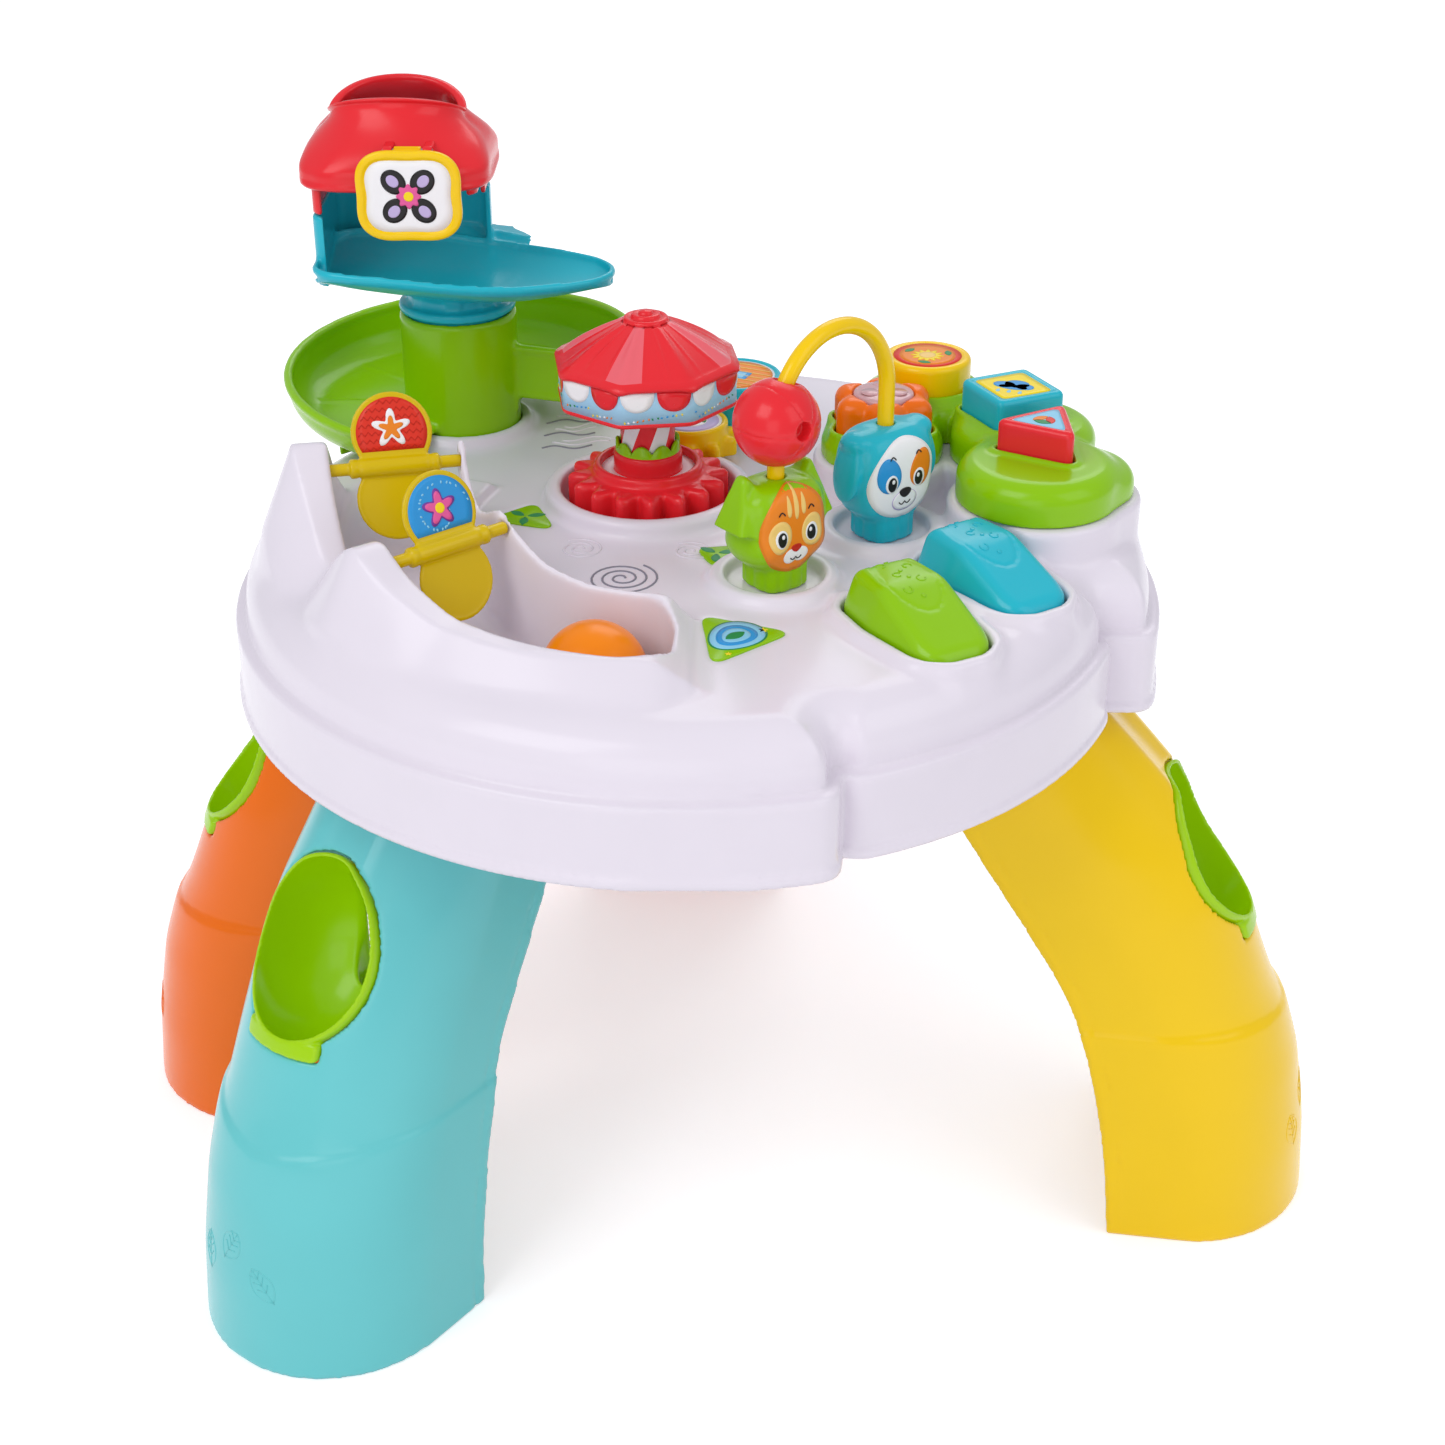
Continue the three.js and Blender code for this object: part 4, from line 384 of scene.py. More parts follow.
@dataclass
class Block:
    """A box of space, in millimetres, in which a shape is measured at each step and then meshed."""

    low: Point3
    high: Point3
    step: float

    def __post_init__(self) -> None:
        """Lay out the places along each axis."""
        along = [np.arange(a, b + self.step, self.step, np.float32) for a, b in zip(self.low, self.high)]
        self.x = along[0][:, None, None]
        self.y = along[1][None, :, None]
        self.z = along[2][None, None, :]

    def true(self, shape: Array) -> Array:
        """Divide a shape by its own slope, so that it reads as a distance."""
        slopes = np.gradient(shape.astype(np.float32), self.step)
        slope = np.sqrt(sum(s * s for s in slopes))
        return shape / np.maximum(slope, 1e-3)

    def surface(self, shape: Array, settle_turns: int = 1) -> tuple[Array, Array]:
        """Mesh the surface where a shape is zero.

        Args:
            shape: The signed distance at each place.
            settle_turns: How often each point is drawn halfway to its neighbours.

        Returns:
            The points and the quads.
        """
        full = np.broadcast_to(shape, (self.x.size, self.y.size, self.z.size))
        full = np.clip(full, -3 * self.step, 3 * self.step).astype(np.float32)
        full = np.pad(full, 1, constant_values=3 * self.step)
        grid = openvdb.FloatGrid(3 * self.step)
        grid.copyFromArray(np.ascontiguousarray(full))
        points, quads = grid.convertToQuads(0.0)
        points = (points.astype(float) - 1) * self.step + np.array(self.low)
        quads = quads.astype(np.int64)
        a, b, c = points[quads[:, 0]], points[quads[:, 1]], points[quads[:, 2]]
        d = points[quads[:, 3]]
        volume = (np.cross(b - a, c - a) * a).sum() + (np.cross(c - a, d - a) * a).sum()
        if volume < 0:
            quads = quads[:, ::-1]
        for _ in range(settle_turns):
            total = np.zeros_like(points)
            count = np.zeros(len(points))
            for i in range(4):
                one, two = quads[:, i], quads[:, (i + 1) % 4]
                np.add.at(total, one, points[two])
                np.add.at(count, one, 1)
                np.add.at(total, two, points[one])
                np.add.at(count, two, 1)
            points = points * 0.6 + 0.4 * total / np.maximum(count, 1)[:, None]
        return points, quads

    def piece(
        self, name: str, shape: Array, body: str, slot: str, replaced: Sequence[str] = (),
        place: Optional[Matrix] = None,
    ) -> bpy.types.Object:
        """Mesh a shape in its slot's finish and make it ride on its body.

        Args:
            name: The piece's name.
            shape: The signed distance at each place.
            body: The body that it moves with.
            slot: The record's material slot that it takes its finish from.
            replaced: Nodes that are hidden because the piece stands for them.
            place: Where the shape's own frame stands in the table's, in millimetres.

        Returns:
            The object.
        """
        points, quads = self.surface(shape)
        made = mesh_object(name, placed(points, place), quads, [SLOT_FINISH[slot]])
        return settle(made, body, slot, replaced)


def placed(points: Array, place: Optional[Matrix]) -> Array:
    """Move points from a piece's own frame into the table's."""
    if place is None:
        return np.asarray(points, float)
    move = np.array(place)
    return np.asarray(points, float) @ move[:3, :3].T + move[:3, 3]


def rounded_outline(corners: Sequence[Point2], radius: float) -> list[Point2]:
    """Return a closed outline whose corners are rounded.

    Args:
        corners: The sharp corners in order.
        radius: The radius at each corner.

    Returns:
        The rounded outline.
    """
    shape: list[Point2] = []
    places = [Vector(corner) for corner in corners]
    for i, here in enumerate(places):
        before = (places[i - 1] - here).normalized()
        after = (places[(i + 1) % len(places)] - here).normalized()
        reach = radius / math.tan(before.angle(after) / 2)
        start, end = here + before * reach, here + after * reach
        for k in range(7):
            t = k / 6
            point = start * (1 - t) ** 2 + here * 2 * t * (1 - t) + end * t * t
            shape.append((point.x, point.y))
    return shape


def turn_about(x: float, y: float, degrees: float, z: float = 0.0) -> Matrix:
    """Return the frame that stands at a place, turned about the vertical."""
    return Matrix.Translation((x, y, z)) @ Matrix.Rotation(math.radians(degrees), 4, "Z")


def along_across(x: Array, y: Array, px: float, py: float, degrees: float) -> tuple[Array, Array]:
    """Return places along and across a direction through a point."""
    cos, sin = math.cos(math.radians(degrees)), math.sin(math.radians(degrees))
    return (x - px) * cos + (y - py) * sin, -(x - px) * sin + (y - py) * cos


# Swept, lofted and printed pieces


@dataclass
class Draft:
    """A mesh gathered patch by patch, each patch in its own finish."""

    points: list[Point3] = field(default_factory=list)
    faces: list[tuple[int, ...]] = field(default_factory=list)
    marks: list[int] = field(default_factory=list)
    finishes: list[Finishes] = field(default_factory=list)

    def mark(self, finish: Finishes) -> int:
        """Return the finish's number, added if it is new."""
        if finish not in self.finishes:
            self.finishes.append(finish)
        return self.finishes.index(finish)

    def grid(
        self,
        rings: Array,
        finish: Finishes,
        capped: bool = False,
        pick: Optional[Callable[[int, int], Finishes]] = None,
    ) -> None:
        """Add the surface through a stack of closed rings.

        Args:
            rings: Points, one row of the stack by one point of the ring by three.
            finish: The finish of every face that pick leaves alone.
            capped: Whether both ends are filled.
            pick: The finish of the face at a row and a step round the ring.
        """
        rows, count = rings.shape[:2]
        start = len(self.points)
        self.points.extend(map(tuple, rings.reshape(-1, 3)))
        number = self.mark(finish)
        for row in range(rows - 1):
            for i in range(count):
                a, b = start + row * count + i, start + row * count + (i + 1) % count
                self.faces.append((a, b, b + count, a + count))
                self.marks.append(self.mark(pick(row, i)) if pick else number)
        if capped:
            self.faces.append(tuple(start + i for i in reversed(range(count))))
            self.faces.append(tuple(start + (rows - 1) * count + i for i in range(count)))
            self.marks += [number, number]

    def tube(
        self, path: Array, radius: float, finish: Finishes, sides: int = 8, closed: bool = False
    ) -> None:
        """Add a round bar along a path.

        Args:
            path: The points that it follows.
            radius: Its radius in millimetres.
            finish: Its finish.
            sides: How many faces go round it.
            closed: Whether the path joins its own start.
        """
        path = np.asarray(path, float)
        ahead = np.gradient(path, axis=0)
        if closed:
            ahead = np.roll(path, -1, 0) - np.roll(path, 1, 0)
        ahead /= np.maximum(np.linalg.norm(ahead, axis=1, keepdims=True), 1e-9)
        side = np.cross(ahead[0], (0.0, 0.0, 1.0))
        if np.linalg.norm(side) < 0.2:
            side = np.cross(ahead[0], (0.0, 1.0, 0.0))
        rings = []
        for here, way in zip(path, ahead):
            side = side - way * side.dot(way)
            side /= max(np.linalg.norm(side), 1e-9)
            other = np.cross(way, side)
            turns = np.arange(sides) / sides * math.tau
            spokes = np.cos(turns)[:, None] * side + np.sin(turns)[:, None] * other
            rings.append(here + radius * spokes)
        if closed:
            rings.append(rings[0])
        self.grid(np.array(rings), finish, capped=not closed)

    def lathe(
        self, profile: Sequence[Point2], finish: Finishes, x: float, y: float, steps: int = 48
    ) -> None:
        """Add a surface turned about the vertical through a place, from [radius, height] points."""
        turns = np.arange(steps) / steps * math.tau
        cos, sin = np.cos(turns), np.sin(turns)
        rings = [np.stack([x + r * cos, y + r * sin, np.full(steps, h)], 1) for r, h in profile]
        self.grid(np.array(rings), finish)

    def object(self, name: str, place: Optional[Matrix] = None) -> bpy.types.Object:
        """Return the gathered mesh as an object, moved to its place."""
        points = placed(np.array(self.points), place)
        return mesh_object(name, points, self.faces, self.finishes, self.marks)


def turned(a: float, b: float, turn: float, u: float, v: float) -> Point2:
    """Return a point turned about the origin and then moved."""
    cos, sin = math.cos(turn), math.sin(turn)
    return (u + a * cos - b * sin, v + a * sin + b * cos)


def egg(across: float, up: float, steps: int = 40, narrow: float = 0.0, u: float = 0.0, v: float = 0.0,
        turn_deg: float = 0.0) -> list[Point2]:
    """Return an egg-shaped outline.

    Args:
        across: Half its width.
        up: Half its height.
        steps: How many corners it has.
        narrow: How much narrower its top is, as a share.
        u: Its centre along the sheet.
        v: Its centre up the sheet.
        turn_deg: How far it is turned.

    Returns:
        The corners in order.
    """
    shape = []
    for i in range(steps):
        at = i / steps * math.tau
        a, b = across * math.cos(at) * (1 - narrow * math.sin(at)), up * math.sin(at)
        shape.append(turned(a, b, math.radians(turn_deg), u, v))
    return shape


def petals(count: int, inner: float, outer: float, steps: int = 96, v: float = 0.0, u: float = 0.0,
           power: float = 1.0) -> list[Point2]:
    """Return a flower or star outline of some petals between two radii, one of them upright."""
    shape = []
    for i in range(steps):
        at = i / steps * math.tau
        wave = (0.5 + 0.5 * math.cos(count * (at - math.pi / 2))) ** power
        radius = inner + (outer - inner) * wave
        shape.append((u + radius * math.cos(at), v + radius * math.sin(at)))
    return shape


def leaf(
    length: float, width: float, u: float, v: float, turn_deg: float, steps: int = 24
) -> list[Point2]:
    """Return a pointed leaf outline about its own middle."""
    shape = []
    for i in range(steps):
        part = i / (steps / 2)
        side, along = (1, part) if part < 1 else (-1, 2 - part)
        half = side * width / 2 * math.sin(math.pi * along) ** 0.8
        shape.append(turned((along - 0.5) * length, half, math.radians(turn_deg), u, v))
    return shape


@dataclass
class Sheet:
    """A flat place that printed shapes lie on, or from which they are laid onto a surface.

    The place's own X and Y are the print's two directions, and its Z points out of the surface.
    """

    place: Matrix
    target: Optional[BVHTree] = None
    reach: float = 30.0
    size: float = 1.0

    def laid(self, u: float, v: float, lift: float) -> Point3:
        """Return where a point of the print lies, in table millimetres."""
        here = self.place @ Vector((u * self.size, v * self.size, 0.0))
        out = (self.place.to_3x3() @ Vector((0.0, 0.0, 1.0))).normalized()
        if self.target is not None:
            start = here + out * self.reach
            found, normal, _, _ = self.target.ray_cast(start, -out, self.reach * 2)
            if found is not None:
                up = normal if normal.dot(out) > 0 else -normal
                return tuple(found + up * lift)
        return tuple(here + out * lift)

    def print_shape(
        self, draft: Draft, outline: Sequence[Point2], finish: Finishes, lift: float = 0.25, rings: int = 5
    ) -> None:
        """Lay a star-shaped outline on the sheet as a thin print.

        Args:
            draft: The mesh that takes it.
            outline: Corners in order, all seen from their common middle.
            finish: The print's finish.
            lift: How far it stands out of the surface.
            rings: How many steps lead from its middle to its edge.
        """
        mu = sum(p[0] for p in outline) / len(outline)
        mv = sum(p[1] for p in outline) / len(outline)
        shares = [(k + 0.02) / (rings + 0.02) for k in range(rings + 1)]
        rows = [
            [self.laid(mu + (u - mu) * share, mv + (v - mv) * share, lift) for u, v in outline]
            for share in shares
        ]
        rows.append([self.laid(u, v, -PRINT_ROOT) for u, v in outline])
        draft.grid(np.array(rows), finish)

    def prints(self, draft: Draft, *shapes: tuple) -> None:
        """Lay several prints, each given as its outline, its finish, its lift and maybe its rings."""
        for shape in shapes:
            self.print_shape(draft, *shape)

    def trace(
        self, draft: Draft, path: Sequence[Point2], radius: float, finish: Finishes, lift: float = 0.0
    ) -> None:
        """Lay a thin raised line on the sheet."""
        draft.tube(np.array([self.laid(u, v, lift) for u, v in path]), radius, finish, sides=6)


def surface_tree(piece: bpy.types.Object) -> BVHTree:
    """Return a piece's surface in table millimetres, for prints to be laid on."""
    origin = Vector(ORIGIN)
    points = [(v.co - origin) / METRE for v in piece.data.vertices]
    return BVHTree.FromPolygons(points, [p.vertices[:] for p in piece.data.polygons])


def facing(x: float, y: float, z: float, out: Point3, up: Point3 = (0.0, 0.0, 1.0)) -> Matrix:
    """Return the place of a sheet whose Z points out and whose Y leans towards up."""
    normal = Vector(out).normalized()
    side = Vector(up).cross(normal).normalized()
    top = normal.cross(side)
    turn = Matrix((side, top, normal)).transposed().to_4x4()
    return Matrix.Translation((x, y, z)) @ turn


# Table top


@dataclass
class TableTop:
    """The lobed white table top with its ball run, gear well, dishes, key sockets and hill block."""

    step: float = 1.5
    skirt_bottom: float = 300.0
    band_top: float = 341.0
    flange_top: float = 306.0
    deck: float = 370.0
    wall: float = 3.0
    corner: float = 14.0
    shoulder: float = 22.0
    lobe_edges: tuple[float, ...] = (-72, -18, 60, 140, 288)
    lobe_radii: tuple[float, ...] = (210, 228, 236, 222)
    run_inner: float = 112.0
    run_outer: float = 172.0
    run_middle: float = 142.0
    run_drop: float = 36.0
    run_rise: float = 58.0
    run_start: float = 158.0
    run_sweep: float = 112.0
    run_foot: float = 216.0
    run_foot_height: float = 343.0
    turns: tuple[float, ...] = (
        0, 0.06, 0.12, 0.18, 0.24, 0.3, 0.36, 0.43, 0.48, 0.54, 0.6, 0.68, 0.78, 0.9, 0.94, 0.965, 1,
    )
    floors: tuple[float, ...] = (
        -0.06, -0.03, 0, 0.06, 0.2, 0.35, 0.48, 0.6, 0.68, 0.76, 0.85, 0.95, 1, 1, 1, 1, 1,
    )
    inner_tops: tuple[float, ...] = (
        0.07, 0.07, 0.1, 0.45, 0.72, 0.95, 0.66, 0.5, 0.55, 0.66, 0.5, 0.34, 0.27, 0.26, 0.26, 0.24, 0.06,
    )
    outer_tops: tuple[float, ...] = (
        0.07, 0.07, 0.1, 0.4, 0.8, 1, 0.62, 0.2, 0.45, 0.72, 0.5, 0.32, 0.27, 0.26, 0.26, 0.24, 0.06,
    )
    ridges: tuple[float, ...] = (
        0.3, 0.3, 0.3, 0.3, 0.32, 0.34, 0.26, 0.2, 0.28, 0.34, 0.28, 0.22, 0.16, 0.04, 0, 0, 0,
    )
    well_radius: float = 43.5
    well_floor: float = 362.0
    well_top: float = 379.0
    column_seat: float = 31.0
    dish_radius: float = 23.0
    gear_pad: float = 11.0
    gear_ditch: float = 27.4

    def edge_radius(self) -> Callable[[Array], Array]:
        """Return the outline's radius at an azimuth in degrees, with its creases softened."""
        turn = np.arange(self.lobe_edges[0], self.lobe_edges[0] + 360, 0.1)
        radius = np.zeros_like(turn)
        for i, reach in enumerate(self.lobe_radii):
            low, high = self.lobe_edges[i], self.lobe_edges[i + 1]
            here = (turn >= low) & (turn <= high)
            near = np.minimum(turn - low, high - turn)[here]
            inside = np.maximum(0, self.corner - np.radians(near) * reach)
            radius[here] = reach - self.corner + np.sqrt(np.maximum(0, self.corner**2 - inside**2))
        weights = np.exp(-0.5 * (np.arange(-20, 21) * 0.1 / 0.55) ** 2)
        soft = np.convolve(np.pad(radius, 20, mode="wrap"), weights / weights.sum(), mode="valid")
        return lambda at: np.interp((at - turn[0]) % 360 + turn[0], turn, soft)

    def edge_distance(self, x: Array, y: Array) -> Array:
        """Return the distance outward from the table top's outline."""
        read = self.edge_radius()
        return outline_distance(x, y, [polar(float(read(at)), at) for at in np.arange(0, 360, 0.6)])

    def run_share(self, azimuth: Array) -> Array:
        """Return how far along the run an azimuth lies, as a share of its sweep."""
        return ((azimuth - self.run_start + 90) % 360 - 90) / self.run_sweep

    def run_height(self, azimuth: Array, radius: Array) -> Array:
        """Return the height of the run's walls and of the slope outside them."""
        share = self.run_share(azimuth)
        inner, outer, ridge = (
            smooth_table(self.turns, table, 0.012)(share)
            for table in (self.inner_tops, self.outer_tops, self.ridges)
        )
        fade = np.clip((share + 0.05) / 0.05, 0, 1) * np.clip((1.06 - share) / 0.06, 0, 1)
        in_top = self.deck + self.run_rise * inner * fade - 8 * (1 - fade)
        out_top = self.deck + self.run_rise * outer * fade - 8 * (1 - fade)
        back = self.run_outer + self.wall
        shelf = back + ridge * (self.run_foot - back)
        part = np.clip((radius - shelf) / (self.run_foot - shelf), 0, 1.2)
        fall = np.where(part < 0.62, part * 0.38 / 0.62, 0.38 + (part - 0.62) * 0.62 / 0.38)
        slope = out_top + (self.run_foot_height - out_top) * (0.5 * fall + 0.5 * part)
        mix = np.clip((radius - self.run_inner) / (self.run_outer - self.run_inner), 0, 1)
        return np.where(radius < back, in_top + (out_top - in_top) * mix, slope)

    def trough(self, block: Block, azimuth: Array, radius: Array, grow: float) -> Array:
        """Return the distance to the channel that the ball rolls in, grown by a wall."""
        share = self.run_share(azimuth)
        floor = self.deck - self.run_drop * smooth_table(self.turns, self.floors, 0.015)(share)
        half_arc = math.radians((self.run_sweep - 3.5) / 2) * self.run_middle
        middle = self.run_start + self.run_sweep / 2 - 1.0
        along = np.radians((azimuth - middle + 180) % 360 - 180) * self.run_middle
        corner = 22.0
        qx = np.abs(radius - self.run_middle) - (30 - corner)
        qy = np.abs(along) - (half_arc - corner)
        plan = np.hypot(np.maximum(qx, 0), np.maximum(qy, 0)) + np.minimum(np.maximum(qx, qy), 0) - corner
        return round_max(plan - grow, floor - grow - block.z, 8.0 + grow)

    def build(self) -> None:
        """Mesh the whole table top as one moulded piece."""
        block = Block((-232, -222, 298.5), (238, 240, 432), self.step)
        x, y, z = block.x, block.y, block.z
        edge = self.edge_distance(x, y)
        azimuth, radius = np.degrees(np.arctan2(y, x)), np.hypot(x, y)
        deck = self.deck
        band = round_max(edge - 0.6, z - self.band_top, 2.0)
        band = soft_max(band, self.skirt_bottom - z, 1.5)
        flange = round_max(round_max(edge - 2.2, z - self.flange_top, 1.5), self.skirt_bottom - z, 0.8)
        dome = soft_max(round_max(edge + 5.5, z - deck, self.shoulder), self.skirt_bottom + 20 - z, 1.0)
        outer = soft_min(np.minimum(band, flange), dome, 2.0)

        height = self.run_height(azimuth, radius)
        slopes = np.gradient(height[:, :, 0], self.step)
        lean = np.sqrt(1 + np.minimum(slopes[0] ** 2 + slopes[1] ** 2, 9.0))[:, :, None]
        ridge = soft_max((z - height) / lean, 108.4 - radius, 3.0)
        ridge = np.maximum(ridge, edge + 6.0)
        share = self.run_share(azimuth)
        ridge = np.maximum(ridge, (np.abs(share - 0.5) - 0.56) * self.run_sweep * 2.4)
        ridge = np.maximum(ridge, 332 - z)
        outer = soft_min(outer, ridge, 4.0)

        hill, keys = HillBlock(), Keys()
        lobes = hill.plan(x, y, hill.margin)
        well = np.hypot(x - Carousel.x, y - Carousel.y)
        column = np.hypot(x - Tower.x, y - Tower.y)
        dishes = [np.hypot(x - hx, y - hy) for hx, hy in (Heads.cat, Heads.dog)]
        slots = [keys.plan(x, y, key) for key in keys.places]
        gears = [np.hypot(x - gx, y - gy) for gx, gy in GearTrain.places()]
        raised = (
            (lobes, hill.block_top, 3.0, 350, 5.0),
            (well - 51.5, self.well_top, 3.5, 355, 6.0),
            (column - 36.5, 376.0, 2.5, 360, 7.0),
            *((dish - 30.0, 375.2, 2.5, 360, 7.0) for dish in dishes),
            *((slot - 5.6, 374.0, 2.5, 352, 7.0) for slot in slots),
            *((pad - self.gear_pad, 372.4, 0.8, 360, 1.5) for pad in gears),
        )
        for plan, top, bevel, low, blend in raised:
            outer = soft_min(outer, soft_max(round_max(plan, z - top, bevel), low - z, 1.0), blend)

        inside = np.minimum(
            round_max(edge + 5.5 + self.wall, z - deck + self.wall, self.shoulder - self.wall),
            np.maximum(edge - 0.6 + self.wall, z - self.band_top + self.wall),
        )
        inside = np.minimum(inside, np.maximum(lobes + self.wall, z - hill.block_top + self.wall))
        inside = np.maximum(inside, -self.trough(block, azimuth, radius, 3.2))
        for slot in slots:
            inside = np.maximum(inside, self.wall - slot)
        inside = np.maximum(inside, -(soft_max(well - 46.5, self.well_floor - 3.0 - z, 1.0)))
        shell = soft_max(outer, -inside, 1.0)

        shell = soft_max(shell, -self.trough(block, azimuth, radius, 0.0), 3.0)
        shell = soft_max(shell, -round_max(well - self.well_radius, self.well_floor - z, 3.0), 2.5)
        shell = soft_max(shell, -(well - 4.4), 0.5)
        shell = soft_max(shell, -np.maximum(column - self.column_seat, deck + 0.1 - z), 1.0)
        for dish in dishes:
            shell = soft_max(shell, -round_max(dish - self.dish_radius, deck - z, 2.0), 2.0)
            shell = np.maximum(shell, 4.4 - dish)
        for pad in gears:
            ditch = pad - self.gear_ditch
            reach = round_max(ditch, deck - 0.6 - z, 0.5)
            shell = np.maximum(shell, -np.maximum(reach, self.gear_pad + 0.5 - pad))
            shell = np.maximum(shell, -np.maximum(ditch, 372.7 - z))
            shell = np.maximum(shell, 3.4 - pad)
        for slot in slots:
            shell = soft_max(shell, -slot, 2.0)
        for outlines, play, low in (
            (Hill().button_outlines(), 1.0, 352), (Inlays().outlines(), 0.3, deck - 0.8),
        ):
            for outline in outlines.values():
                plan = outline_distance(x, y, outline)
                shell = np.maximum(shell, -np.maximum(plan - play, low - z))
        for wheel in FlapWheels().wheels:
            shell = soft_max(shell, -wheel.rod(x, y, z, 3.7, 32.2), 1.0)
        piece = block.piece("table_top", shell, "table", "body", ["tabletop_shell"])
        self.engrave(surface_tree(piece))

    def engrave(self, tree: BVHTree) -> None:
        """Lay the moulded spirals and the wavy lines on the deck, the grey ones as painted groove shade."""
        marks = Draft()
        deck_sheet = Sheet(Matrix.Translation((0, 0, self.deck)), tree, 12.0)
        # The grey spiral is painted shade that stands for the dark inside a moulded groove.
        for u, v, reach, turns, finish, thick in (
            (-32.0, -63.0, 17.5, 3.2, Finishes.GROOVE, 0.55),
            (-53.0, -30.5, 11.5, 2.4, Finishes.BODY, 0.6),
            (0.0, -33.0, 10.5, 2.4, Finishes.BODY, 0.6),
        ):
            path = []
            for i in range(int(turns * 26)):
                at = i / 26 * math.tau
                grow = 1.5 + (reach - 1.5) * i / (turns * 26)
                path.append((u + grow * math.cos(at), v + grow * math.sin(at)))
            deck_sheet.trace(marks, path, thick, finish)
        for k in range(9):
            base_u, base_v = -80.0 + 5.0 * (k % 3), 96.0 + 6.2 * k
            long = 26 + 5 * math.sin(k)
            path = [
                (base_u + part * long, base_v + 2.4 * math.sin(part * 7 + k * 1.9) + 3 * part)
                for part in (i / 23 for i in range(24))
            ]
            # Every third wavy line is grey painted groove shade.
            deck_sheet.trace(marks, path, 0.6, Finishes.BODY if k % 3 else Finishes.GROOVE)
        loop = [(-62 + 26 * math.cos(t), 118 + 33 * math.sin(t)) for t in np.linspace(-1.3, 1.9, 40)]
        deck_sheet.trace(marks, loop, 0.8, Finishes.BODY)
        settle(marks.object("deck_markings"), "table", "body")


# Hill, buttons and flower


@dataclass
class HillBlock:
    """The round lobes that the hill and the white block below it are built from."""

    margin: float = 4.0
    block_top: float = 387.7
    lobes: tuple[tuple[float, float, float, float], ...] = (
        (95, 48, 30.5, 403),
        (120, 91, 34, 408),
        (165, 43, 36, 408),
        (166, -9, 39, 408),
        (187, 0, 27, 403),
    )

    def plan(self, x: Array, y: Array, grow: float) -> Array:
        """Return the distance outward from the lobes' common outline."""
        result = None
        for lx, ly, reach, _ in self.lobes:
            away = np.hypot(x - lx, y - ly) - reach - grow
            result = away if result is None else soft_min(result, away, 4.0)
        return result


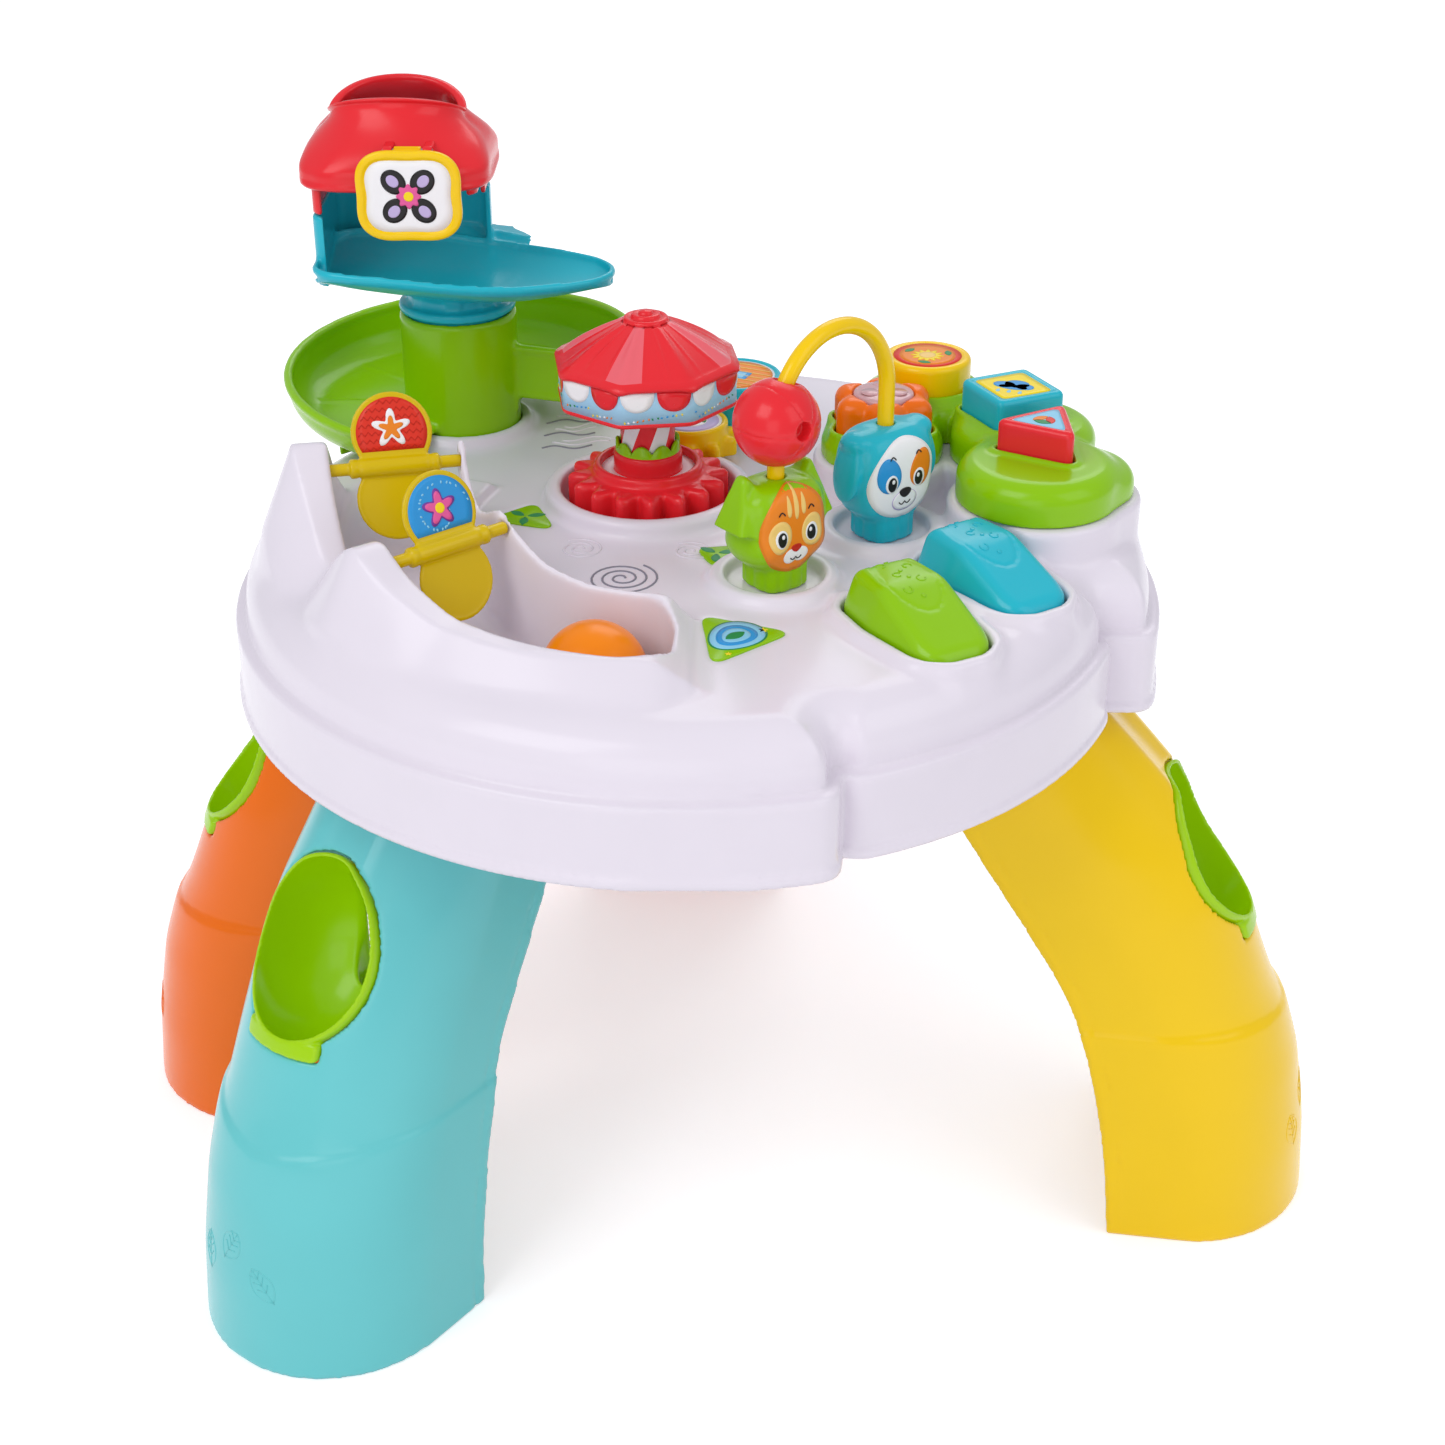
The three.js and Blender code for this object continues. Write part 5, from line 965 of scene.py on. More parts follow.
@dataclass
class Hill:
    """The green hill with four push buttons, their prints and the flower's clear lens."""

    step: float = 1.0
    bottom: float = 388.0
    flower: Point2 = (95.0, 48.0)
    round_place: Point2 = (120.0, 91.0)
    square_place: Point2 = (159.0, 47.0)
    triangle_place: Point2 = (169.0, 1.0)
    button_top: float = 424.0
    flower_top: float = 420.0
    round_radius: float = 22.5
    square_half: float = 19.0
    square_turn: float = 70.0
    triangle_radius: float = 25.0
    triangle_turn: float = 60.0
    corner: float = 4.0
    flange_low: float = 382.0
    flange_high: float = 384.3

    def polygon(self, count: int, radius: float, turn: float, place: Point2) -> list[Point2]:
        """Return a regular outline with its corners rounded."""
        corners = [polar(radius, turn + i / count * 360, *place) for i in range(count)]
        return rounded_outline(corners, self.corner)

    def button_outlines(self) -> dict[str, list[Point2]]:
        """Return each button's outline."""
        wave = [
            polar(24 + 2.4 * math.cos(math.radians(6 * (turn - 30))), turn, *self.flower)
            for turn in (i / 96 * 360 for i in range(96))
        ]
        square = self.square_half * math.sqrt(2)
        return {
            "round_button": [polar(self.round_radius, i * 6, *self.round_place) for i in range(60)],
            "square_button": self.polygon(4, square, self.square_turn, self.square_place),
            "triangle_button": self.polygon(
                3, self.triangle_radius, self.triangle_turn, self.triangle_place
            ),
            "flower_button": wave,
        }

    def build(self) -> None:
        """Mesh the hill, the buttons and their prints."""
        self.build_hill()
        self.build_buttons()
        self.build_flower()

    def build_hill(self) -> None:
        """Mesh the green hill with a raised lip round each button."""
        block = Block((58, -52, 386.5), (218, 130, 412), self.step)
        x, y, z = block.x, block.y, block.z
        lobes = HillBlock()
        outer = None
        for lx, ly, reach, top in lobes.lobes:
            away = np.hypot(x - lx, y - ly) - reach
            shape = round_max(away, z - top, 10.0)
            outer = shape if outer is None else soft_min(outer, shape, 5.0)
        outer = np.maximum(outer, self.bottom - z)
        for name, outline in self.button_outlines().items():
            plan = outline_distance(x, y, outline)
            top = 404.3 if name == "flower_button" else 409.3
            lip = np.maximum(round_max(plan - 3.4, z - top, 1.5), self.bottom - z)
            outer = soft_min(outer, lip, 3.0)
        inner = round_max(lobes.plan(x, y, -2.6), z - 400.0, 7.4)
        shell = np.maximum(outer, -inner)
        for outline in self.button_outlines().values():
            shell = soft_max(shell, -(outline_distance(x, y, outline) - 0.8), 0.8)
        block.piece("green_hill", shell, "table", "lime", ["hill_panel"])

    def build_buttons(self) -> None:
        """Mesh the three plain buttons, each with a shallow dish on top and a printed scene."""
        for name, slot, *place in (
            ("round_button", "yellow", *self.round_place, -8.0),
            ("square_button", "teal", *self.square_place, -20.0),
            ("triangle_button", "red", *self.triangle_place, -30.0),
        ):
            outline = self.button_outlines()[name]
            corner = np.array(outline)
            block = Block((*(corner.min(0) - 4), 381.0), (*(corner.max(0) + 4), 426.0), 0.9)
            x, y, z = block.x, block.y, block.z
            plan = outline_distance(x, y, outline)
            body = np.maximum(round_max(plan, z - self.button_top, 3.0), self.flange_low + 0.2 - z)
            dish = round_max(plan + 4.0, self.button_top - 0.7 - z, 0.6)
            shape = np.minimum(soft_max(body, -dish, 0.8), self.flange(plan, z))
            block.piece(name, shape, name, slot, [name])
            sheet = Sheet(turn_about(*place, self.button_top - 0.7))
            self.print_button(name, outline, slot, sheet)

    def flange(self, plan: Array, z: Array) -> Array:
        """Return the distance to the flange that holds a button under the hill."""
        return np.maximum(round_max(plan - 1.8, z - self.flange_high, 0.5), self.flange_low - z)

    def print_button(self, name: str, outline: Sequence[Point2], slot: str, sheet: Sheet) -> None:
        """Lay a simple generic scene in a button's dish."""
        draft = Draft()
        inverse = sheet.place.inverted()
        local = [(inverse @ Vector((px, py, 0))).xy for px, py in outline]
        middle = sum(local, Vector((0, 0))) / len(local)

        def shrunk(share: float) -> list[Point2]:
            """Return the outline drawn in to a share of its size."""
            return [tuple(middle + (p - middle) * share) for p in local]

        if name == "round_button":
            sheet.prints(
                draft,
                (shrunk(0.78), Finishes.INK_RED, 0.15),
                (shrunk(0.64), Finishes.INK_ORANGE, 0.3),
                (petals(12, 5.5, 8.5, v=-1.0), Finishes.INK_YELLOW, 0.45),
                (egg(4.2, 4.2, v=-1.0), Finishes.INK_CREAM, 0.6),
                *((leaf(7, 3.6, *polar(11.0, turn), turn + 80), Finishes.INK_GREEN, 0.45)
                  for turn in (20, 150, 265)),
            )
        elif name == "square_button":
            cloud = ((-4.5, 0, 5.5, 4.2), (1.5, 2.2, 6.2, 5.2), (6.0, -0.5, 4.6, 3.8),
                     (0.5, -2.4, 7.2, 3.2))
            drops = (-5.5, 0.0, 5.5)
            sheet.prints(
                draft,
                (shrunk(0.74), Finishes.INK_YELLOW, 0.15),
                *((egg(w, h, u=u, v=v), Finishes.INK_BLUE, 0.3) for u, v, w, h in cloud),
                *((egg(0.9, 2.0, u=u, v=-8.5, narrow=0.5), Finishes.INK_PALE_BLUE, 0.3) for u in drops),
            )
        else:
            sheet.prints(
                draft,
                (shrunk(0.78), Finishes.INK_WHITE, 0.15),
                (shrunk(0.68), Finishes.INK_PALE_BLUE, 0.3),
                (leaf(9.0, 4.6, -2.5, 0.5, 60), Finishes.INK_ORANGE, 0.45),
                (leaf(9.0, 4.6, 2.8, 0.5, 120), Finishes.INK_RED, 0.45),
                (leaf(9.0, 4.6, 0.2, -3.4, 0), Finishes.INK_GREEN, 0.45),
            )
        settle(draft.object(f"{name}_print"), name, slot)

    def build_flower(self) -> None:
        """Mesh the orange flower button and its clear lens."""
        outline = self.button_outlines()["flower_button"]
        block = Block((66, 19, 380.5), (124, 77, 422), 0.9)
        x, y, z = block.x, block.y, block.z
        plan = outline_distance(x, y, outline)
        away = np.hypot(x - self.flower[0], y - self.flower[1])
        turn = np.arctan2(y - self.flower[1], x - self.flower[0])
        petal = np.abs(np.cos(3 * (turn - math.radians(30))))
        groove = 1.6 * np.exp(-((petal * away / 7.0) ** 2))
        body = np.maximum(round_max(plan, z - self.flower_top + groove, 7.0), self.flange_low - z)
        body = soft_max(body, -np.maximum(away - 15.4, 415.0 - z), 0.8)
        shape = np.minimum(body, self.flange(plan, z))
        block.piece("flower_button", shape, "flower_button", "orange", ["flower_button"])
        lens = Draft()
        dome = [
            (15.0 - 2.0 * i / 6 - 12.9 * (i / 6) ** 2, 419.4 + 2.0 * math.sin(i / 6 * math.pi / 2))
            for i in range(1, 7)
        ]
        profile = [(0.01, 415.2), (15.0, 415.2), (15.0, 419.4), *dome, (0.01, 421.45)]
        lens.lathe(profile, Finishes.LENS, *self.flower, steps=60)
        boss = [(0.01, 421.0), (5.2, 421.0), (5.0, 421.3), (0.01, 421.5)]
        for i in range(3):
            lens.lathe(boss, Finishes.LENS, *polar(7.5, 90 + 120 * i, *self.flower), steps=24)
        settle(lens.object("flower_lens"), "flower_button", "lens", ["flower_lens"])


# Inlaid panels


@dataclass
class Inlays:
    """The three green panels let into the deck, each with a simple print."""

    corner: float = 5.0
    low: float = 369.25
    high: float = 370.45
    panels: dict[str, tuple[Point2, Point2, Point2]] = field(
        default_factory=lambda: {
            "front_panel": ((5, -102), (10, -150), (46, -119)),
            "left_panel": ((-101, 4), (-66, -8), (-78, 24)),
            "back_panel": ((2, -30), (12, -54), (24, -26)),
        }
    )

    def outlines(self) -> dict[str, list[Point2]]:
        """Return each panel's outline."""
        return {name: rounded_outline(corners, self.corner) for name, corners in self.panels.items()}

    def build(self) -> None:
        """Make the panels and their prints."""
        for name, outline in self.outlines().items():
            panel = Draft()
            middle = np.mean(np.array(outline), 0)
            ring = np.array(outline)

            def level(share: float, z: float) -> Array:
                """Return the outline drawn in to a share of its size, at a height."""
                points = middle + (ring - middle) * share
                return np.column_stack([points, np.full(len(points), z)])

            rows = [level(0.02, self.low), level(1, self.low), level(1, self.high - 0.35)]
            rows += [level(0.985, self.high - 0.08), level(0.96, self.high), level(0.02, self.high)]
            panel.grid(np.array(rows), Finishes.LIME)
            sheet = Sheet(turn_about(middle[0], middle[1], 0, self.high))
            if name == "front_panel":
                self.print_drop(panel, sheet)
            else:
                sheet.prints(panel, *(
                    (leaf(9, 4.4, *polar(5.5, turn), turn), Finishes.INK_GREEN, 0.12)
                    for turn in (15, 140, 265)
                ))
            settle(panel.object(name), "table", "lime", [name])

    def print_drop(self, panel: Draft, sheet: Sheet) -> None:
        """Lay the front panel's blue drop, its leaf and its small star."""
        for size, finish, lift in (
            (1.0, Finishes.INK_GREEN, 0.1), (0.93, Finishes.INK_PALE_BLUE, 0.2),
            (0.7, Finishes.INK_BLUE, 0.3), (0.48, Finishes.INK_PALE_BLUE, 0.4),
        ):
            drop = [(u * size, v * size) for u, v in egg(12.5, 15.0, 36, narrow=-0.22, turn_deg=-35)]
            sheet.print_shape(panel, drop, finish, lift)
        sheet.prints(
            panel,
            (leaf(11, 6, 0, 0, 40), Finishes.INK_GREEN, 0.5),
            (petals(5, 0.9, 2.3, 30, u=12.5, v=6.0), Finishes.INK_YELLOW, 0.2, 2),
            (petals(5, 0.6, 1.6, 30, u=-3.0, v=-17.0), Finishes.INK_YELLOW, 0.2, 2),
        )


# Legs with their ball cups


@dataclass
class Stand:
    """Where one of several like pieces stands, and the slot that it is moulded in."""

    name: str
    slot: str
    x: float
    y: float
    turn: float

    def place(self, z: float = 0.0) -> Matrix:
        """Return the piece's own frame, at a height."""
        return turn_about(self.x, self.y, self.turn, z)

    def finish(self) -> Finishes:
        """Return the finish of the piece's slot."""
        return SLOT_FINISH[self.slot]


@dataclass
class Legs:
    """Four splayed hollow legs, each open on its inner side and set with a green ball cup."""

    step: float = 1.5
    height: float = 317.7
    half_width: float = 65.4
    depth: float = 102.6
    foot_step: float = 1.6
    gutter: Point2 = (40.0, 34.5)
    splay: float = 148.0
    wall: float = 3.0
    side_share: float = 0.36
    levels: tuple[float, ...] = (0, 0.14, 0.28, 0.37, 0.41, 0.47, 0.59, 0.7, 0.81, 0.91, 1)
    inners: tuple[float, ...] = (0, 0.03, 0.086, 0.14, 0.17, 0.225, 0.39, 0.55, 0.7, 0.72, 0.72)
    outers: tuple[float, ...] = (0, 0.025, 0.078, 0.14, 0.185, 0.236, 0.33, 0.44, 0.64, 0.835, 1.02)
    widths: tuple[float, ...] = (1, 0.985, 0.965, 0.95, 0.93, 0.92, 0.885, 0.84, 0.79, 0.74, 0.7)
    cup_centre: tuple[float, float] = (30.0, 205.0)
    cup_radii: Point3 = (42.0, 36.0, 50.0)
    cup_wall: float = 2.2
    places: tuple[Stand, ...] = (
        Stand("side_leg_left", "orange", -210, 66, 183),
        Stand("front_leg", "aqua", -160, -104, -127),
        Stand("side_leg_right", "yellow", 229, -29, -9),
        Stand("back_leg", "red", -10, 250, 90),
    )

    def block(self) -> Block:
        """Return the space that a leg fills in its own frame."""
        return Block((-112, -70, -1.5), (108, 70, 319), self.step)

    def chain(self, z: Array) -> tuple[Array, Array, Array]:
        """Return the inner edge, outer edge and half width at a height."""
        share = z / self.height
        inner = -self.splay * smooth_table(self.levels, self.inners, 0.03)(share)
        outer = self.depth - self.splay * smooth_table(self.levels, self.outers, 0.016)(share)
        width = self.half_width * smooth_table(self.levels, self.widths, 0.03)(share)
        return inner, outer, width

    def filled(self, block: Block, grow: float = 0.0) -> Array:
        """Return the distance to the leg as if it were solid, grown by a distance."""
        x, y, z = block.x, block.y, block.z
        inner, outer, width = self.chain(z)
        side = inner + (outer - inner) * self.side_share
        front = outer - side
        ahead = np.maximum(x - side, 0) / front
        round_front = (np.hypot(ahead, y / width) - 1) * np.minimum(front, width)
        straight = np.abs(y) - width
        seam = 0.37 * self.height + 0.14 * np.abs(y) - z
        plan = np.where(x > side, round_front, straight) - grow
        made = block.true(plan - self.foot_step * np.clip(seam / 3 + 0.5, 0, 1))
        reach, out = self.gutter
        hollow = np.maximum(np.hypot(x - outer - out, y) - reach, self.cup_centre[1] - z)
        return soft_max(made, -hollow, 3.0)

    def egg(self, block: Block, grow: float = 0.0) -> Array:
        """Return the distance to the cup's egg shape."""
        cx, cz = self.cup_centre
        a, b, c = (r + grow for r in self.cup_radii)
        where = np.sqrt(((block.x - cx) / a) ** 2 + (block.y / b) ** 2 + ((block.z - cz) / c) ** 2)
        return (where - 1) * 38.0

    def lip(self, block: Block, grow: float = 0.0) -> Array:
        """Return the distance to the cup's lower lip."""
        low = self.cup_centre[1] - self.cup_radii[2] * 0.8
        tall = round_max(np.abs(block.z - low - 4.5) - 4.5 - grow, np.abs(block.y) - 22.5 - grow, 2.0)
        return np.maximum(tall, 44.0 - block.x)

    def build(self) -> None:
        """Mesh one leg and one cup, and set them at the four places."""
        block = self.block()
        x, z = block.x, block.z
        solid = self.filled(block)
        inner, _, _ = self.chain(z)
        back = (inner - x) / np.sqrt(1 + np.gradient(inner, self.step, axis=2) ** 2)
        edge = soft_max(solid, back, 1.0)
        strip = np.abs(back + 7.5) - 0.7
        outside = np.maximum(edge, -np.maximum(strip, -(solid + 0.55)))
        shell = np.maximum(outside, -(solid + self.wall))
        shell = np.minimum(shell, np.maximum(edge, self.height - self.wall - z))
        shell = soft_max(shell, -self.egg(block, 0.4), 2.0)
        shell = soft_max(shell, -self.lip(block, 0.4), 1.0)
        shell = np.maximum(np.maximum(shell, -z), z - self.height)
        leg_points, leg_quads = block.surface(shell)
        cup_points, cup_quads = self.cup(solid)
        for leg in self.places:
            piece = mesh_object(leg.name, placed(leg_points, leg.place()), leg_quads, [leg.finish()])
            settle(piece, "table", leg.slot, [leg.name])
            name = f"{leg.name}_cup"
            cup = mesh_object(name, placed(cup_points, leg.place()), cup_quads, [Finishes.CUP_LIME])
            settle(cup, "table", "lime", [name])
            self.carve_leaves(leg, piece)

    def cup(self, solid: Array) -> tuple[Array, Array]:
        """Mesh the ball cup: a bowl with a channel up its back and a lip below."""
        block = Block((-16, -39, 150), (100, 39, 258), 1.0)
        whole = self.block()
        axes = zip((block.x, block.y, block.z), whole.low)
        grid = np.stack(np.meshgrid(*[(a.ravel() - low) / self.step for a, low in axes], indexing="ij"))
        near = np.floor(grid).astype(int)
        part = grid - near
        skin = 0.0
        for corner in range(8):
            bits = [(corner >> k) & 1 for k in range(3)]
            weight = np.prod([part[k] if bits[k] else 1 - part[k] for k in range(3)], axis=0)
            at = tuple(np.clip(near[k] + bits[k], 0, solid.shape[k] - 1) for k in range(3))
            skin = skin + weight * solid[at]
        channel = np.hypot(block.x + 7.0, block.y) - 8.5
        channel = np.maximum(channel, np.abs(block.z - 196) - 30)
        outer = soft_min(self.egg(block), channel - self.cup_wall, 2.0)
        inner = soft_min(self.egg(block, -self.cup_wall), channel, 3.0)
        bowl = np.maximum(outer, -inner)
        lip = np.maximum(self.lip(block), -self.egg(block, -self.cup_wall))
        bowl = soft_max(np.minimum(bowl, lip), skin - 1.4, 1.2)
        return block.surface(np.maximum(bowl, -12.0 - block.x))

    def carve_leaves(self, leg: Stand, piece: bpy.types.Object) -> None:
        """Lay three small leaf outlines low on the front of a leg."""
        tree, marks, move, finish = surface_tree(piece), Draft(), leg.place(), leg.finish()
        for side, height, turn in ((-30, 52, 100), (-8, 66, 62), (14, 52, 130)):
            where = move @ Vector((100.0, side, height))
            out = move.to_3x3() @ Vector((1.0, side / 90, 0.1))
            sheet = Sheet(facing(*where, tuple(out)), tree, 45.0)
            outline = leaf(20, 13, 0, 0, turn, 28)
            sheet.trace(marks, [*outline, outline[0]], 0.42, finish, -0.15)
            vein = [polar(9.5 * s, turn) for s in (-1.15, -0.5, 0, 0.5, 0.95)]
            sheet.trace(marks, vein, 0.36, finish, -0.1)
            for s in (-0.4, 0.05, 0.45):
                root = polar(9.5 * s, turn)
                for lean in (-48, 48):
                    sheet.trace(marks, [root, polar(5.0, turn + lean, *root)], 0.3, finish)
        settle(marks.object(f"{leg.name}_leaves"), "table", leg.slot)


# Ball


@dataclass
class Ball:
    """The two-coloured ball, whose halves meet on a wavy seam."""

    x: float = -41.52
    y: float = -135.79
    z: float = 358.3
    radius: float = 24.0
    rings: int = 28
    sides: int = 96

    def build(self) -> None:
        """Make the ball."""
        draft = Draft()
        turns = np.arange(self.sides) / self.sides * math.tau
        seam = np.radians(17) * np.sin(2 * turns) + np.radians(7) * np.sin(turns + 0.6)
        rows = []
        for row in range(-self.rings, self.rings + 1):
            share = abs(row) / self.rings
            pole = math.copysign(math.pi / 2 - 0.004, row)
            rise = seam + (pole - seam) * share if row else seam
            radius = self.radius - 0.45 * math.exp(-((share * 18) ** 2) / 1.6)
            across = radius * np.cos(rise)
            row_points = [across * np.cos(turns), across * np.sin(turns), radius * np.sin(rise)]
            rows.append(np.stack(row_points, 1))

        def half(row: int, _: int) -> Finishes:
            """Return the finish of the ball's half that a row is on."""
            return Finishes.BALL_ORANGE if row >= self.rings else Finishes.BALL_YELLOW

        draft.grid(np.array(rows), Finishes.BALL_YELLOW, capped=True, pick=half)
        lean = Matrix.Rotation(math.radians(16), 4, "Y") @ Matrix.Rotation(math.radians(-24), 4, "X")
        place = Matrix.Translation((self.x, self.y, self.z)) @ lean @ Matrix.Rotation(0.9, 4, "Z")
        settle(draft.object("ball", place), "ball", "orange", ["ball"])


# Flap wheels over the run


@dataclass
class FlapWheel:
    """One two-bladed wheel that turns over the ball run."""

    name: str
    turn: float
    height: float
    label: Finishes

    def place(self) -> Matrix:
        """Return the wheel's own frame, whose X is its axle."""
        return turn_about(*polar(TableTop.run_middle, self.turn), self.turn, self.height)

    def rod(self, x: Array, y: Array, z: Array, radius: float, half_length: float) -> Array:
        """Return the distance to a rod along the axle."""
        px, py = polar(TableTop.run_middle, self.turn)
        along, across = along_across(x, y, px, py, self.turn)
        return np.maximum(np.hypot(across, z - self.height) - radius, np.abs(along) - half_length)


@dataclass
class FlapWheels:
    """The two gold wheels whose upright blades carry round labels."""

    step: float = 0.8
    radius: float = 19.0
    offset: float = 15.5
    thickness: float = 2.4
    hub: float = 4.6
    hub_length: float = 42.0
    axle: float = 3.0
    axle_length: float = 63.0
    turns: tuple[float, ...] = (110.0, 290.0)
    wheels: tuple[FlapWheel, ...] = (
        FlapWheel("rear_flap_wheel", 192.5, 413.0, Finishes.INK_RED),
        FlapWheel("front_flap_wheel", 220.5, 400.0, Finishes.INK_BLUE),
    )

    def build(self) -> None:
        """Mesh one wheel, set it at both places, and label the blades."""
        block = Block((-32.5, -36, -36), (32.5, 36, 36), self.step)
        x, y, z = block.x, block.y, block.z
        around = np.hypot(y, z)
        shape = round_max(around - self.axle, np.abs(x) - self.axle_length / 2, 0.8)
        ripple = 0.35 * (np.abs(np.abs(x) - 16.5) < 1.0)
        hub = round_max(around - self.hub + ripple, np.abs(x) - self.hub_length / 2, 0.8)
        shape = np.minimum(shape, hub)
        for turn in self.turns:
            cos, sin = math.cos(math.radians(turn)), math.sin(math.radians(turn))
            along, out = y * cos + z * sin, -y * sin + z * cos
            reach = np.hypot(x, along - self.offset)
            blade = round_max(reach - self.radius, np.abs(out) - self.thickness / 2 + 0.3, 0.7)
            rim = np.hypot(reach - self.radius + 1.1, out) - 1.15
            shape = soft_min(shape, np.minimum(blade, rim), 1.2)
        points, quads = block.surface(shape)
        for wheel in self.wheels:
            piece = mesh_object(wheel.name, placed(points, wheel.place()), quads, [Finishes.GOLD])
            settle(piece, wheel.name, "gold", [wheel.name])
            self.print_labels(wheel)

    def print_labels(self, wheel: FlapWheel) -> None:
        """Lay a round label on the leading face of each blade."""
        draft = Draft()
        for turn in self.turns:
            tilt = Matrix.Rotation(math.radians(turn), 4, "X")
            middle = tilt @ Vector((0.0, self.offset, -self.thickness / 2 + 0.3))
            out, up = (tilt.to_3x3() @ Vector(way) for way in ((0.0, 0.0, -1.0), (0.0, 1.0, 0.0)))
            self.print_label(draft, Sheet(facing(*middle, tuple(out), tuple(up))), wheel)
        settle(draft.object(f"{wheel.name}_labels", wheel.place()), wheel.name, "gold")

    def print_label(self, draft: Draft, sheet: Sheet, wheel: FlapWheel) -> None:
        """Lay one label: a ground, a zigzag or speckle, and a star or flower."""
        disc = [(u, v) for u, v in egg(16.6, 16.6, 48) if v > -9.5]
        sheet.print_shape(draft, disc, wheel.label, 0.15)
        if wheel.label is Finishes.INK_RED:
            for v in (row * 3.6 for row in range(-2, 5)):
                half = math.sqrt(max(0, 15.6**2 - v * v))
                count = int(2 * half / 1.6) + 1
                zig = [(-half + k * 1.6, v + (0.9 if k % 2 else -0.9)) for k in range(count)]
                sheet.trace(draft, zig, 0.22, Finishes.INK_DEEP_RED, 0.2)
            sheet.prints(
                draft,
                (petals(5, 4.2, 9.4, 60, power=1.2, v=2.0), Finishes.INK_WHITE, 0.4),
                (petals(5, 2.6, 6.0, 60, power=1.2, v=2.0), Finishes.INK_ORANGE, 0.55),
            )
            return
        for k in range(26):
            u, v = polar(4.5 + 11.2 * ((k * 0.618) % 1.0), k * 137.5)
            if v > -8:
                speck = egg(0.75, 0.45, 8, u=u, v=v, turn_deg=k * 40)
                sheet.print_shape(draft, speck, Finishes.INK_PALE_BLUE, 0.25, 1)
        sheet.prints(
            draft,
            (petals(5, 4.6, 9.0, 60, v=2.0), Finishes.INK_PURPLE, 0.4),
            (petals(5, 3.6, 7.6, 60, v=2.0), Finishes.INK_PINK, 0.55),
            (egg(2.4, 2.4, 20, v=2.0), Finishes.INK_YELLOW, 0.7),
        )


# Ball tower


